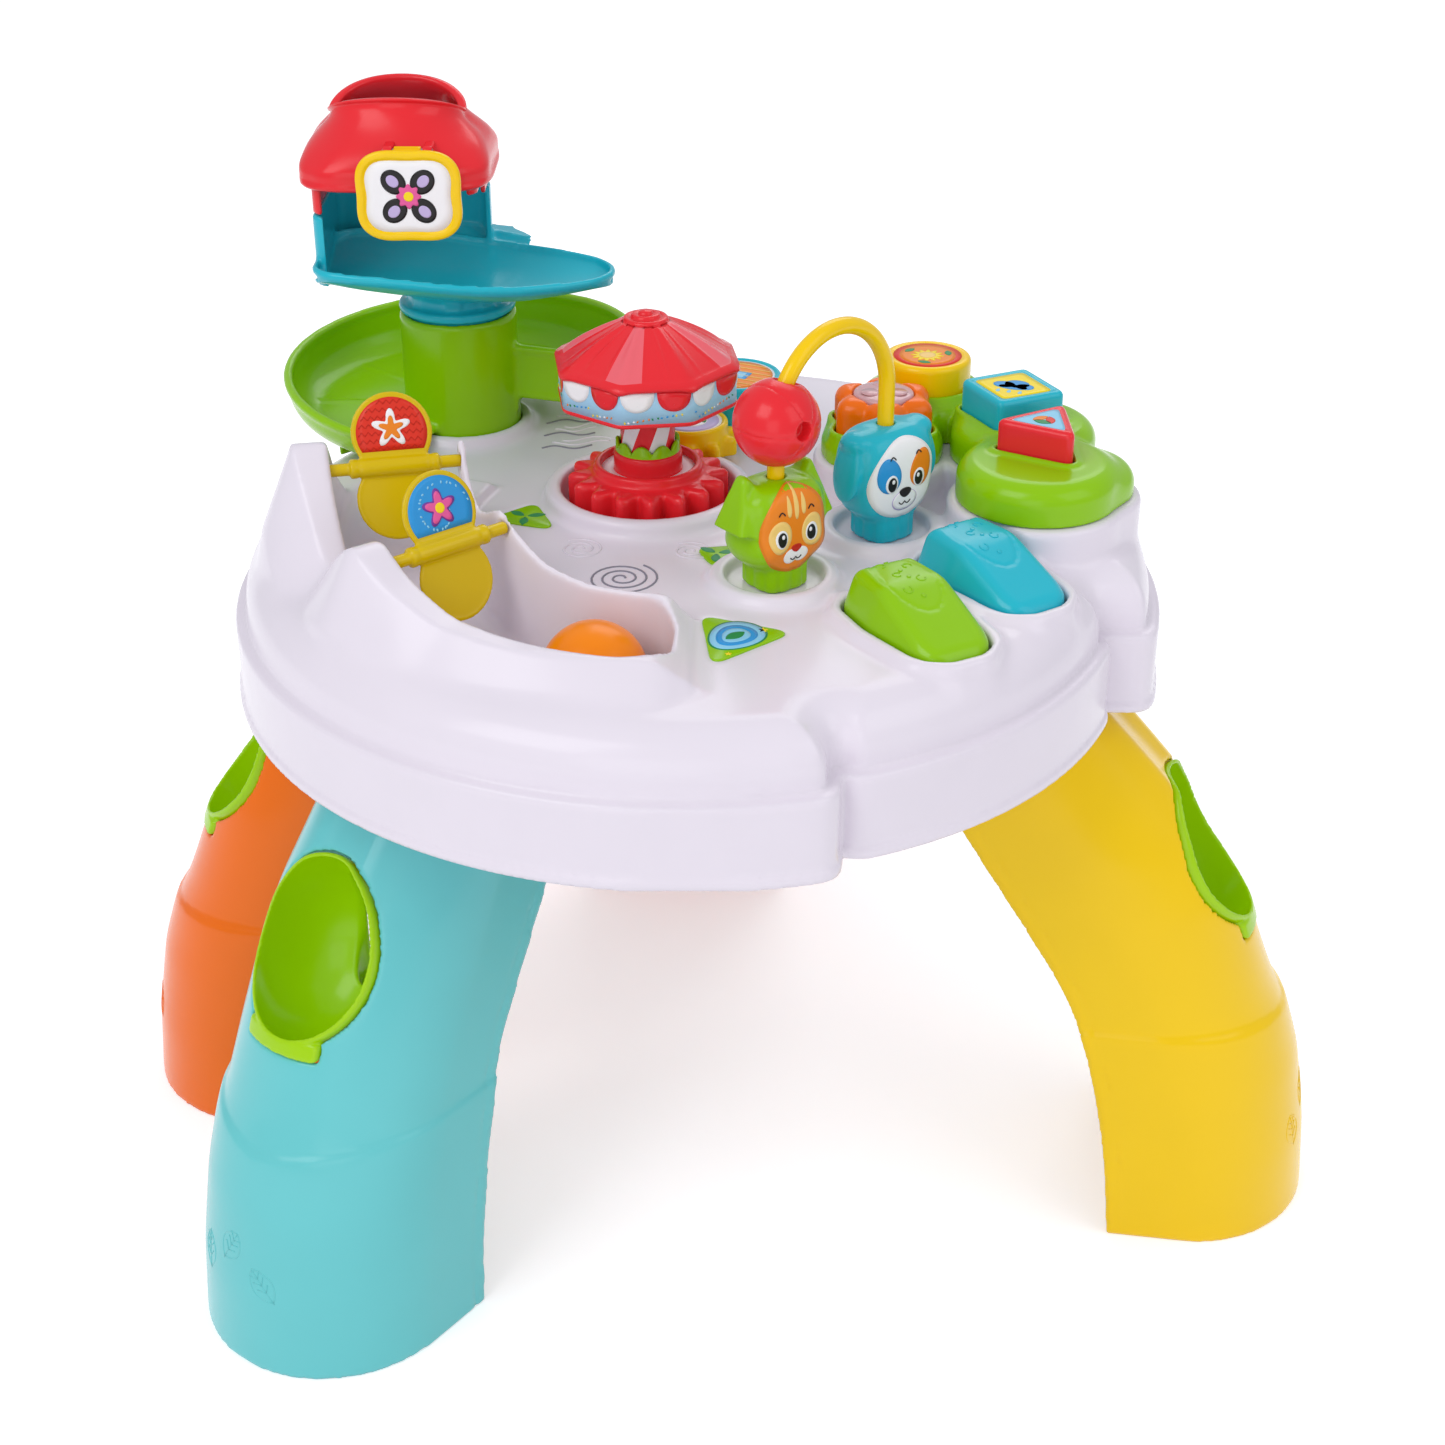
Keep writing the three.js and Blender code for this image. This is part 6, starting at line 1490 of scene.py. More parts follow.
@dataclass
class Tower:
    """The column, the two slides that wind round it, and the little house on top."""

    x: float = -124.0
    y: float = 130.0
    column: float = 30.6
    column_top: float = 436.0
    reach: float = 94.0
    floor: float = 380.0
    fall: float = 12.0
    rise: float = 28.0
    start: float = -18.0
    sweep: float = 268.0
    rises: tuple[float, ...] = (0.86, 1, 1, 0.95, 0.9, 0.86, 0.8, 0.72, 0.62, 0.55)
    neck: float = 25.0
    slide_left: float = -189.0
    slide_right: float = -41.0
    slide_y: float = 108.0
    slide_half: float = 42.0
    slide_rim: float = 466.0
    slide_depth: float = 14.0
    slide_wall: float = 2.6
    slide_widths: tuple[float, ...] = (0.84, 0.96, 1, 1, 0.94, 0.82, 0.62, 0.3)
    slide_rims: tuple[float, ...] = (0.4, 0.36, 0.26, 0.08, -0.1, -0.2, -0.25, -0.3)
    slide_depths: tuple[float, ...] = (0.6, 0.9, 1, 1, 0.95, 0.8, 0.5, 0.2)
    house_x: float = -148.0
    house_half_x: float = 42.0
    house_y: float = 125.0
    house_half_y: float = 36.0
    house_corner: float = 8.0
    house_floor: float = 463.0
    house_top: float = 496.0
    wall_top: float = 520.0
    wall: float = 3.0
    plate_front: float = 130.0
    passage: float = -150.0

    def build(self) -> None:
        """Make the ramp, the slide, the house and its sign."""
        self.build_ramp()
        self.build_slide()
        self.build_walls()
        Roof().build()
        Sign().build()

    def build_ramp(self) -> None:
        """Mesh the green round slide with its column."""
        block = Block((-100, -100, 368.5), (100, 100, 438), 1.25)
        x, y, z = block.x, block.y, block.z
        radius = np.hypot(x, y)
        azimuth = np.degrees(np.arctan2(y, x))
        share = ((azimuth - self.start + 46) % 360 - 46) / self.sweep
        shares = np.linspace(0, 1, len(self.rises))
        floor = self.floor + self.fall * (1 - np.clip(share, 0, 1))
        rim = floor + self.rise * smooth_table(shares, self.rises, 0.04)(share)
        lean = (z - floor) * 0.16
        cup = round_max(radius - (self.reach - 5.0) - lean, floor - 2.6 - z, 15.0)
        hollow = round_max(radius - (self.reach - 8.0) - lean, floor - z, 12.5)
        trough = np.maximum(cup, -hollow)
        trough = soft_max(trough, z - rim, 1.2)
        rolled = np.hypot(radius - (self.reach - 6.4) - (rim - floor) * 0.16, z - rim + 0.6) - 2.5
        trough = soft_min(trough, rolled, 1.5)
        ribs = np.maximum(np.abs((azimuth % 40) - 20) * radius * math.pi / 180 - 0.9, floor - 9.0 - z)
        ribs = np.maximum(ribs, np.maximum(radius - 78, z - floor))
        trough = soft_min(trough, np.maximum(ribs, 30 - radius), 1.5)
        arc = radius * math.radians(self.sweep)
        trough = soft_max(trough, -share * arc, 1.0)
        trough = soft_max(trough, (share - 1) * arc, 1.0)
        across = -share * arc
        end = np.maximum(np.abs(across + 1.3) - 1.5, np.maximum(z - rim, radius - self.reach + 5.5 - lean))
        end = np.maximum(end, np.maximum(floor - 2.0 - z, 30 - radius))
        lip = np.maximum(np.hypot(across + 1.3, z - rim + 0.6) - 2.4, np.maximum(radius - 89, 30 - radius))
        trough = soft_min(trough, np.minimum(end, np.where(np.abs(share) < 0.2, lip, 9.0)), 2.0)
        trough = np.maximum(trough, 370.3 - z)
        pole = round_max(radius - self.column, z - self.column_top, 3.5)
        pole = np.maximum(pole, 370.3 - z)
        made = soft_min(trough, pole, 4.0)
        made = soft_max(made, -(radius - self.column + 3.0), 0.8)
        place = Matrix.Translation((self.x, self.y, 0.0))
        block.piece("green_ramp", made, "table", "lime", ["ramp_bowl"], place)

    def house_plan(self, x: Array, y: Array, inset: float) -> Array:
        """Return the distance outward from the house's outline, drawn in by a wall."""
        qx = np.abs(x - self.house_x) - (self.house_half_x - self.house_corner)
        qy = np.abs(y - self.house_y) - (self.house_half_y - self.house_corner)
        away = np.hypot(np.maximum(qx, 0), np.maximum(qy, 0)) + np.minimum(np.maximum(qx, qy), 0)
        return away - self.house_corner + inset

    def opening(self, x: Array, y: Array) -> Array:
        """Return the distance to the house's open front."""
        front = self.house_y - self.house_half_y
        return np.maximum(np.abs(x - self.house_x) - (self.house_half_x - 6.0), np.abs(y - front) - 8.0)

    def slide_height(self, x: Array, y: Array) -> tuple[Array, Array, Array]:
        """Return the slide's top surface, its rim's height and the place across it."""
        share = np.clip((x - self.slide_left) / (self.slide_right - self.slide_left), 0, 1)
        shares = np.linspace(0, 1, len(self.slide_widths))
        width = self.slide_half * smooth_table(shares, self.slide_widths, 0.03)(share)
        rim = self.slide_rim + self.slide_depth * smooth_table(shares, self.slide_rims, 0.05)(share)
        depth = self.slide_depth * smooth_table(shares, self.slide_depths, 0.05)(share)
        across = np.clip((y - self.slide_y) / width, -1.2, 1.2)
        return rim - depth * (1 - across * across), rim, width

    def build_slide(self) -> None:
        """Mesh the teal slide, its fluted neck and the lower walls of the house."""
        block = Block((-202, 62, 432.5), (-38, 165, 508), 1.2)
        x, y, z = block.x, block.y, block.z
        top, rim, width = self.slide_height(x, y)
        plan = block.true(np.abs(y - self.slide_y) - width + 0 * z)
        plan = round_max(plan, np.maximum(self.slide_left - x, x - self.slide_right) + 0 * y, 12.0)
        slope = np.sqrt(1 + np.gradient(top, block.step, axis=1) ** 2)
        half_wall = self.slide_wall / 2
        leaf_shell = round_max(np.abs(z - top + half_wall) / slope - half_wall, plan, 1.0)
        roll = np.hypot(plan + 1.2, z - rim) - 2.3
        made = soft_min(leaf_shell, roll, 1.5)
        away = np.hypot(x - self.x, y - self.y)
        turn = np.arctan2(y - self.y, x - self.x)
        flute = 1.1 * np.clip(np.cos(8 * turn) * 3, -1, 1)
        stem = np.maximum(away - self.neck - flute, z - top + 1.0)
        stem = np.maximum(stem, self.column_top + 0.3 - z)
        ring = round_max(away - self.column + 0.2, z - self.column_top - 5.0, 1.2)
        ring = np.maximum(ring, self.column_top + 0.3 - z)
        plug = np.maximum(away - self.column + 3.4, z - self.column_top - 1.0)
        flare = away - self.neck - np.maximum(z - 446, 0) * 0.9
        flare = np.maximum(flare, np.maximum(z - top + 1.0, 440 - z))
        made = soft_min(made, np.minimum(np.minimum(stem, ring), plug), 3.0)
        made = soft_min(made, flare, 3.0)
        outside = self.house_plan(x, y, 0.0)
        walls = np.maximum(outside, -self.house_plan(x, y, self.wall))
        walls = np.maximum(walls, -self.opening(x, y))
        walls = np.maximum(walls, np.maximum(z - self.house_top, self.house_floor - 3.0 - z))
        plate = np.maximum(outside, np.abs(z - self.house_floor + 1.5) - 1.5)
        plate = np.maximum(plate, self.plate_front - y)
        clear = np.maximum(plan + 1.8, top - z)
        made = soft_max(soft_min(made, plate, 1.5), -clear, 1.0)
        made = soft_min(made, np.maximum(walls, -np.maximum(clear, self.passage - x)), 1.0)
        made = np.maximum(made, 432.9 - z)
        block.piece("teal_slide", made, "table", "teal", ["upper_slide"])

    def build_walls(self) -> None:
        """Mesh the red upper walls of the house with a jamb beside the open front."""
        block = Block((-194, 85, 494), (-102, 165, 521.5), 1.0)
        x, y, z = block.x, block.y, block.z
        outside = self.house_plan(x, y, 0.6)
        walls = np.maximum(outside, -self.house_plan(x, y, self.wall))
        walls = np.maximum(walls, -self.opening(x, y))
        corner = (x > self.passage) & (y < self.plate_front)
        low = np.where(corner, self.house_top + 10.0, self.house_top + 0.3)
        walls = round_max(walls, np.maximum(z - self.wall_top, low - z), 0.6)
        block.piece("red_house_walls", walls, "table", "red", ["tower_walls"])


@dataclass
class Roof:
    """The red roof: a flared eave that climbs to a rounded three-cornered mouth."""

    eave: float = 511.0
    height: float = 36.0
    half_width: float = 48.5
    half_depth: float = 45.0
    wall: float = 2.6
    squareness: float = 4.2
    lift: float = 6.5
    levels: tuple[float, ...] = (0, 0.26, 0.45, 0.66, 0.85, 1)
    widths: tuple[float, ...] = (1, 1, 0.91, 0.77, 0.65, 0.62)
    mouths: tuple[float, ...] = (0, 0, 0.3, 0.8, 1, 1)
    sides: int = 96

    def ring(self, share: float, inset: float, drop: float = 0.0) -> Array:
        """Return the points round the roof at a share of its height."""
        mouth, spread = (
            float(smooth_table(self.levels, table, 0.05)(share)) for table in (self.mouths, self.widths)
        )
        turns = np.arange(self.sides) / self.sides * math.tau
        cos, sin = np.cos(turns), np.sin(turns)
        power = 2 / self.squareness
        square = np.stack([np.sign(way) * np.abs(way) ** power for way in (cos, sin)], 1)
        bulge = 1 + 0.1 * np.cos(2 * turns)
        rounded = np.stack([bulge * cos, bulge * sin], 1)
        plan = square + (rounded - square) * mouth
        fold = 1 - 0.012 * (1 - mouth) * np.cos(8 * turns) * (share > 0.03)
        x = Tower.house_x + (self.half_width * spread - inset) * plan[:, 0] * fold
        y = Tower.house_y + (self.half_depth * spread - inset) * plan[:, 1] * fold
        rise = self.height * share + self.lift * mouth * share * (2 * np.abs(plan[:, 1]) - 1)
        z = self.eave + rise - drop
        return np.stack([x, y, z], 1)

    def build(self) -> None:
        """Loft the roof's outside over its lip and down its inside, and add the sign's lugs."""
        draft = Draft()
        rows = [
            self.ring(0, 2.4), self.ring(0, 0.9, 0.6), self.ring(0, 0.0, -0.4), self.ring(0.03, 0.0, -0.6),
            *(self.ring(s, 0.6 * min(1, s * 12)) for s in np.linspace(0.07, 0.93, 30)),
            self.ring(0.955, 0.2), self.ring(0.97, -0.9), self.ring(0.985, -1.2), self.ring(0.995, -0.9),
            self.ring(1.0, -0.2, 0.2), self.ring(1.0, 1.0), self.ring(1.0, 2.2, 0.5),
            *(self.ring(s, 2.9) for s in np.linspace(0.96, 0.04, 24)),
        ]
        draft.grid(np.array([*rows, rows[0]]), Finishes.RED)
        settle(draft.object("red_roof"), "table", "red", ["tower_roof"])
        block = Block((-157, 76.5, 527.5), (-119, 93, 534.5), 0.6)
        x, y, z = block.x, block.y, block.z
        pin = np.hypot(y - Sign.hinge_y, z - Sign.hinge_z)
        side = np.abs(np.abs(x - Sign.x) - 9.8) - 2.4
        arm = np.maximum(np.maximum(Sign.hinge_y - y, y - 92.5), np.abs(z - Sign.hinge_z) - 2.3)
        lugs = np.minimum(round_max(pin - 2.9, side, 0.6), round_max(arm, side, 0.6))
        block.piece("sign_hinge_lugs", np.maximum(lugs, 1.7 - pin), "table", "red")


@dataclass
class Sign:
    """The hanging sign: a yellow quatrefoil frame round a plain flower."""

    x: float = -138.0
    z: float = 511.0
    radius: float = 24.0
    wave: float = 2.0
    stretch: float = 1.16
    back: float = 76.0
    front: float = 72.0
    hinge_y: float = 80.0
    hinge_z: float = 531.0

    def outline(self, shrink: float) -> list[Point2]:
        """Return the sign's outline, drawn in by a distance."""
        shape = []
        for turn in (i / 96 * 360 for i in range(96)):
            reach = self.radius + self.wave * math.cos(math.radians(4 * (turn - 45))) - shrink
            u, v = polar(reach, turn)
            shape.append((u * self.stretch, v))
        return shape

    def build(self) -> None:
        """Make the frame, its hanger and the printed flower."""
        block = Block((-28, 70.5, -28), (28, 85, 28), 0.7)
        u, y, v = block.x, block.y, block.z
        plan = outline_distance(u, v, self.outline(0.0))
        body = round_max(plan, np.maximum(self.front - y, y - self.back), 1.2)
        body = soft_max(body, -round_max(plan + 4.0, y - self.front - 1.0, 0.5), 0.5)
        up = np.abs(v - (self.hinge_z - self.z))
        pin = np.hypot(y - self.hinge_y, up)
        side = np.abs(u) - 6.9
        arm = np.maximum(np.maximum(self.back - 1 - y, y - self.hinge_y), up - 2.3)
        hanger = np.minimum(round_max(pin - 2.6, side, 0.5), round_max(arm, side, 0.5))
        body = np.minimum(body, np.maximum(hanger, 1.6 - pin))
        place = Matrix.Translation((self.x, 0.0, self.z))
        block.piece("sign_frame", body, "sign_plaque", "yellow", ["sign_plaque"], place)
        draft = Draft()
        sheet = Sheet(facing(self.x, self.front + 1.0, self.z, (0.0, -1.0, 0.0)))
        sheet.print_shape(draft, self.outline(4.4), Finishes.INK_WHITE, 0.15)
        for turn in range(45, 405, 90):
            for reach, across, tall, steps, finish, lift in (
                (10.0, 6.6, 5.6, 32, Finishes.INK_BLACK, 0.35),
                (10.6, 3.4, 2.6, 24, Finishes.INK_LILAC, 0.5),
            ):
                pu, pv = polar(reach, turn)
                petal = egg(across, tall, steps, u=pu, v=pv, turn_deg=turn)
                sheet.print_shape(draft, petal, finish, lift)
        sheet.prints(
            draft,
            (petals(8, 4.6, 6.2, 64), Finishes.INK_PINK, 0.55),
            (egg(2.4, 2.4, 24), Finishes.INK_YELLOW, 0.7),
        )
        settle(draft.object("sign_print"), "sign_plaque", "yellow")


# Carousel and gear train


@dataclass
class Carousel:
    """The red gear with its striped post and the fairground canopy above it."""

    x: float = -22.0
    y: float = 30.0
    teeth: int = 16
    pitch: float = 37.5
    phase: float = 71.0
    gear_low: float = 362.8
    gear_top: float = 385.5
    ring_radius: float = 27.0
    ring_top: float = 391.0
    floor: float = 387.0
    hub_radius: float = 17.0
    hub_top: float = 397.5
    post_radius: float = 13.6
    post_top: float = 426.0
    canopy_radius: float = 46.0
    canopy_low: float = 424.0
    canopy_high: float = 442.0
    canopy_turn: float = -60.0
    roof_rise: float = 21.0
    cap_rise: float = 5.0
    stripes: int = 5

    def build(self) -> None:
        """Make the gear, the post and the canopy."""
        self.build_gear()
        self.build_post()
        self.build_band()
        self.build_canopy()

    def build_gear(self) -> None:
        """Mesh the gear with its finger-like teeth, its ring and its hub."""
        shape = GearShape(self.teeth, self.pitch, 1, self.phase)
        block = Block((-42, -42, 361.5), (42, 42, 400), 0.8)
        x, y, z = block.x, block.y, block.z
        radius = np.hypot(x, y)
        teeth = np.maximum(round_max(shape.distance(x, y), z - self.gear_top, 3.4), self.gear_low - z)
        ring = round_max(radius - self.ring_radius, z - self.ring_top, 2.2)
        ring = np.maximum(ring, self.gear_top - 6 - z)
        body = soft_min(teeth, ring, 3.0)
        well = round_max(radius - self.ring_radius + 3.4, self.floor - 0.3 - z, 1.0)
        body = soft_max(body, -well, 1.2)
        hub = round_max(radius - self.hub_radius, z - self.hub_top, 1.8)
        body = soft_min(body, np.maximum(hub, self.floor - 4 - z), 1.0)
        body = np.maximum(body, -np.maximum(radius - self.post_radius - 0.3, self.floor + 0.3 - z))
        body = np.maximum(body, -(radius - 4.4))
        place = Matrix.Translation((self.x, self.y, 0))
        block.piece("carousel_gear_red", body, "carousel", "red", ["carousel_gear"], place)
        floor = Draft()
        rim, top = self.floor - 0.1, self.floor + 0.25
        profile = [(16.6, rim), (17.0, top), (23.2, top), (23.6, rim)]
        floor.lathe(profile, Finishes.WHITE, self.x, self.y, 64)
        settle(floor.object("carousel_floor"), "carousel", "white")

    def build_post(self) -> None:
        """Make the white post with its red stripes and the green leaves round its foot."""
        post = Draft()
        columns, low = 60, self.floor + 0.3
        around = np.arange(columns) / columns * math.tau
        reach = self.post_radius - 0.2 + 0.15 * np.cos(self.stripes * 2 * around)
        rings = []
        for z in np.linspace(low, self.post_top, 22):
            turns = around + math.radians(62) * (z - low) / (self.post_top - low)
            rings.append(self.level(np.stack([reach * np.cos(turns), reach * np.sin(turns)], 1), z))
        band = columns // self.stripes

        def stripe(_: int, i: int) -> Finishes:
            """Return the post's finish at a step round it."""
            return Finishes.RED if i % band < band * 0.42 else Finishes.WHITE

        post.grid(np.array(rings), Finishes.WHITE, capped=True, pick=stripe)
        settle(post.object("striped_post"), "carousel", "white", ["carousel_post"])
        leaves = Draft()
        foot = self.hub_top - 1.5
        outer = []
        for turn in (i / 120 * math.tau for i in range(120)):
            top = self.hub_top + 1.4 + 4.6 * abs(math.sin(turn * 4.5)) ** 0.75
            cos, sin = math.cos(turn), math.sin(turn)
            edge = ((15.9, foot), (15.9, top - 0.7), (15.3, top), (14.5, top), (14.1, top - 0.8),
                    (14.1, foot))
            outer.append([(self.x + r * cos, self.y + r * sin, z) for r, z in edge])
        rings = np.array(outer).transpose(1, 0, 2)
        leaves.grid(np.concatenate([rings, rings[:1]]), Finishes.LIME)
        settle(leaves.object("post_leaves"), "carousel", "lime")

    def octagon(self, radius: float, steps: int = 128) -> Array:
        """Return points round an eight-sided outline with eased corners."""
        turns = np.arange(steps) / steps * math.tau
        apart = (np.degrees(turns) - self.canopy_turn) % 45 - 22.5
        reach = radius * math.cos(math.radians(22.5)) / np.cos(np.radians(apart))
        reach -= 0.012 * radius * np.exp(-(((22.5 - np.abs(apart)) / 2.2) ** 2))
        return np.stack([reach * np.cos(turns), reach * np.sin(turns)], 1)

    def level(self, plan: Array, z: float | Array) -> Array:
        """Return a plan's points at a height."""
        return np.column_stack([plan[:, 0] + self.x, plan[:, 1] + self.y, np.zeros(len(plan)) + z])

    def build_band(self) -> None:
        """Make the pale blue band with its scallops, confetti and red lower rim."""
        draft = Draft()
        low, high = self.canopy_low, self.canopy_high
        outer, inner = self.octagon(self.canopy_radius - 0.3), self.octagon(self.canopy_radius - 2.4)
        rows = [self.level(inner, high), self.level(inner, low + 0.8), self.level(outer, low + 0.8),
                self.level(outer, high), self.level(inner, high)]
        draft.grid(np.array(rows), Finishes.SKY)
        rim = self.octagon(self.canopy_radius - 1.2)
        draft.tube(self.level(rim, low + 1.3), 1.3, Finishes.RED, 10, closed=True)
        apothem = (self.canopy_radius - 0.3) * math.cos(math.radians(22.5))
        side = 2 * (self.canopy_radius - 0.3) * math.sin(math.radians(22.5))
        flecks = (Finishes.INK_BLUE, Finishes.INK_ORANGE, Finishes.INK_YELLOW, Finishes.INK_GREEN,
                  Finishes.INK_WHITE)
        for face in range(8):
            out = math.radians(self.canopy_turn + 22.5 + 45 * face)
            x, y = self.x + apothem * math.cos(out), self.y + apothem * math.sin(out)
            sheet = Sheet(facing(x, y, high, (math.cos(out), math.sin(out), 0.0)))
            for half, finish in ((-1, Finishes.INK_WHITE), (1, Finishes.RED)):
                shape = [
                    (half * side / 4 + side / 4.3 * math.cos(t), -9.6 * abs(math.sin(t)) ** 0.8 - 0.2)
                    for t in np.linspace(0, -math.pi, 20)
                ]
                sheet.print_shape(draft, shape, finish, 0.2, 2)
            for k in range(13):
                u = ((k * 0.618 + face * 0.37) % 1.0 - 0.5) * (side - 5)
                v = -11.2 - 3.6 * ((k * 0.377 + face * 0.21) % 1.0)
                fleck = egg(0.62, 0.42, 8, u=u, v=v, turn_deg=40 * k)
                sheet.print_shape(draft, fleck, flecks[k % 5], 0.2, 1)
        settle(draft.object("canopy_band_printed"), "carousel", "sky", ["canopy_band"])

    def build_canopy(self) -> None:
        """Loft the red canopy over its eave, its ribs and its ringed cap, and close it below."""
        draft = Draft()
        steps = 256
        turns = np.arange(steps) / steps * 360
        apart = np.abs((turns - self.canopy_turn) % 45 - 22.5)
        corner = np.exp(-(((22.5 - apart) / 5.0) ** 2))
        crease = np.exp(-(((apart - 9.5) / 1.6) ** 2))
        eave_z = self.canopy_high + 0.3
        rows = [
            self.level(self.octagon(self.canopy_radius + grow, steps), eave_z + rise - droop * corner)
            for grow, rise, droop in ((-3.0, 0, 0), (0.6, -0.2, 1.1), (1.5, 0.9, 1.1), (1.1, 2.2, 0.9))
        ]
        for share in np.linspace(0.06, 1, 22):
            radius = self.canopy_radius - 1.0 + (12.0 - self.canopy_radius + 1.0) * share
            bulge = math.sin(math.pi * share) ** 0.7
            z = eave_z + 2.0 + (self.roof_rise - 2.0) * share**0.9
            z = z + bulge * (1.1 * corner + 0.55 * crease) - 0.9 * (1 - share) ** 6 * corner
            rows.append(self.level(self.octagon(radius, steps), z))
        peak = eave_z + self.roof_rise
        circle = np.stack([np.cos(np.radians(turns)), np.sin(np.radians(turns))], 1)
        for radius, z in (
            (11.4, peak - 0.1), (10.9, peak + 1.2), (10.2, peak + 1.9), (8.6, peak + 1.9),
            (8.0, peak + 1.4),
            (7.3, peak + 1.5), (6.9, peak + 2.9), (6.2, peak + 3.4), (4.6, peak + 3.3), (4.1, peak + 2.9),
            (3.5, peak + 3.0), (3.2, peak + 4.2), (2.6, peak + self.cap_rise - 0.3),
            (0.02, peak + self.cap_rise - 0.1),
        ):
            rows.append(self.level(circle * radius, z))

        def panel(row: int, i: int) -> Finishes:
            """Return the canopy's finish at a row and a step round it."""
            pale = 3 < row < 25 and apart[i] > 9.5 and int((turns[i] + 82.5) // 45) % 2
            return Finishes.ROSE if pale else Finishes.RED

        draft.grid(np.array(rows), Finishes.RED, pick=panel)
        under = [
            self.level(self.octagon(self.canopy_radius - inset, steps), eave_z + rise)
            for inset, rise in ((3.0, 0.0), (3.0, -4.0), (5.2, -4.0), (5.6, 0.2))
        ]
        inner = ((16.0, eave_z + 1.0), (15.6, 425.0), (13.9, 424.6))
        under += [self.level(circle * r, z) for r, z in inner]
        draft.grid(np.array(under)[::-1], Finishes.RED)
        settle(draft.object("canopy_roof"), "carousel", "red", ["carousel_canopy"])


@dataclass
class GearShape:
    """A gear's outline of rounded teeth about the origin."""

    teeth: int
    pitch: float
    side: int
    phase: float
    play: float = 0.6
    wave: float = 3.0
    valley: float = 2.2

    def distance(self, x: Array, y: Array) -> Array:
        """Return the distance outward from the teeth."""
        turn = np.arctan2(y, x) - math.radians(self.phase)
        swing = self.side * np.cos(self.teeth * turn)
        deeper = self.wave * swing - self.valley * np.clip(-swing, 0, 1) ** 1.3
        slope = self.teeth * (self.wave + self.valley / 2) * np.abs(np.sin(self.teeth * turn)) / self.pitch
        return (np.hypot(x, y) - self.pitch + self.play - deeper) / np.sqrt(1 + slope**2)


@dataclass
class GearTrain:
    """The yellow gear that the carousel turns, and the teal drum gear behind it."""

    teeth: int = 10
    pitch: float = 37.5 * 10 / 16
    low: float = 373.2
    top: float = 383.0
    yellow_hub: float = 20.0
    yellow_top: float = 390.0
    teal_hub: float = 25.0
    teal_top: float = 400.0

    @staticmethod
    def places() -> tuple[Point2, Point2]:
        """Return where the yellow and the teal gear turn."""
        pinion = GearTrain.pitch
        yellow = polar(Carousel.pitch + pinion, Carousel.phase, Carousel.x, Carousel.y)
        return yellow, polar(pinion * 2, 60.0, *yellow)

    def build(self) -> None:
        """Make both gears and their labels."""
        yellow, teal = self.places()
        for name, place, side, phase, hub, top in (
            ("yellow", yellow, -1, Carousel.phase + 180, self.yellow_hub, self.yellow_top),
            ("teal", teal, 1, 120.0 - Carousel.phase, self.teal_hub, self.teal_top),
        ):
            self.build_gear(name, place, GearShape(self.teeth, self.pitch, side, phase), hub, top)

    def build_gear(self, slot: str, place: Point2, shape: GearShape, hub: float, top: float) -> None:
        """Mesh one gear with its hub, and lay its label on top."""
        name = f"{slot}_gear"
        block = Block((-29, -29, 371.5), (29, 29, top + 2), 0.8)
        x, y, z = block.x, block.y, block.z
        radius = np.hypot(x, y)
        body = np.maximum(round_max(shape.distance(x, y), z - self.top, 3.2), self.low - z)
        body = soft_min(body, np.maximum(round_max(radius - hub, z - top, 1.8), self.low - z), 2.0)
        body = soft_max(body, -round_max(radius - hub + 2.6, top - 1.1 - z, 0.6), 0.6)
        body = np.maximum(body, -np.maximum(radius - 3.2, z - top + 3.0))
        if slot == "teal":
            body = soft_min(body, np.hypot(radius - hub - 0.2, z - 391) - 1.1, 1.2)
        block.piece(f"{name}_wheel", body, name, slot, [name], Matrix.Translation((*place, 0.0)))
        draft = Draft()
        sheet = Sheet(turn_about(*place, -25.0, top - 1.1))
        reach = hub - 3.0
        ground = Finishes.INK_ORANGE if slot == "teal" else Finishes.INK_LILAC
        sheet.prints(
            draft,
            (egg(reach, reach, 60), Finishes.INK_WHITE, 0.12),
            (egg(reach - 1.6, reach - 1.6, 60), ground, 0.24),
        )
        if slot == "teal":
            self.print_planks(draft, sheet, reach - 2.4)
        else:
            self.print_segments(draft, sheet)
        settle(draft.object(f"{name}_label"), name, slot)

    def print_segments(self, draft: Draft, sheet: Sheet) -> None:
        """Lay a disc of green and white segments."""
        sheet.print_shape(draft, egg(9.2, 9.2, 48), Finishes.INK_WHITE, 0.36)
        for start in (0, 120, 240):
            wedge = [(0.0, 0.0)] + [polar(8.8, start + t) for t in range(0, 61, 6)]
            sheet.print_shape(draft, wedge, Finishes.INK_GREEN, 0.5, 3)

    def print_planks(self, draft: Draft, sheet: Sheet, reach: float) -> None:
        """Lay the seams between planks and a plain blue panel."""
        for v in (k * 5.4 for k in range(-3, 4)):
            if abs(v) < reach:
                half = math.sqrt(max(1.0, reach**2 - v * v))
                sheet.trace(draft, [(-half, v), (half, v)], 0.35, Finishes.INK_CREAM, 0.3)
        for u, v, corner, finish, lift in (
            (8, 5.5, 1.2, Finishes.INK_BLUE, 0.45), (6, 3.8, 1.0, Finishes.INK_PALE_BLUE, 0.6),
        ):
            panel = rounded_outline([(-u, -v), (u, -v), (u, v), (-u, v)], corner)
            sheet.print_shape(draft, panel, finish, lift)


# Arch, bead and turning heads


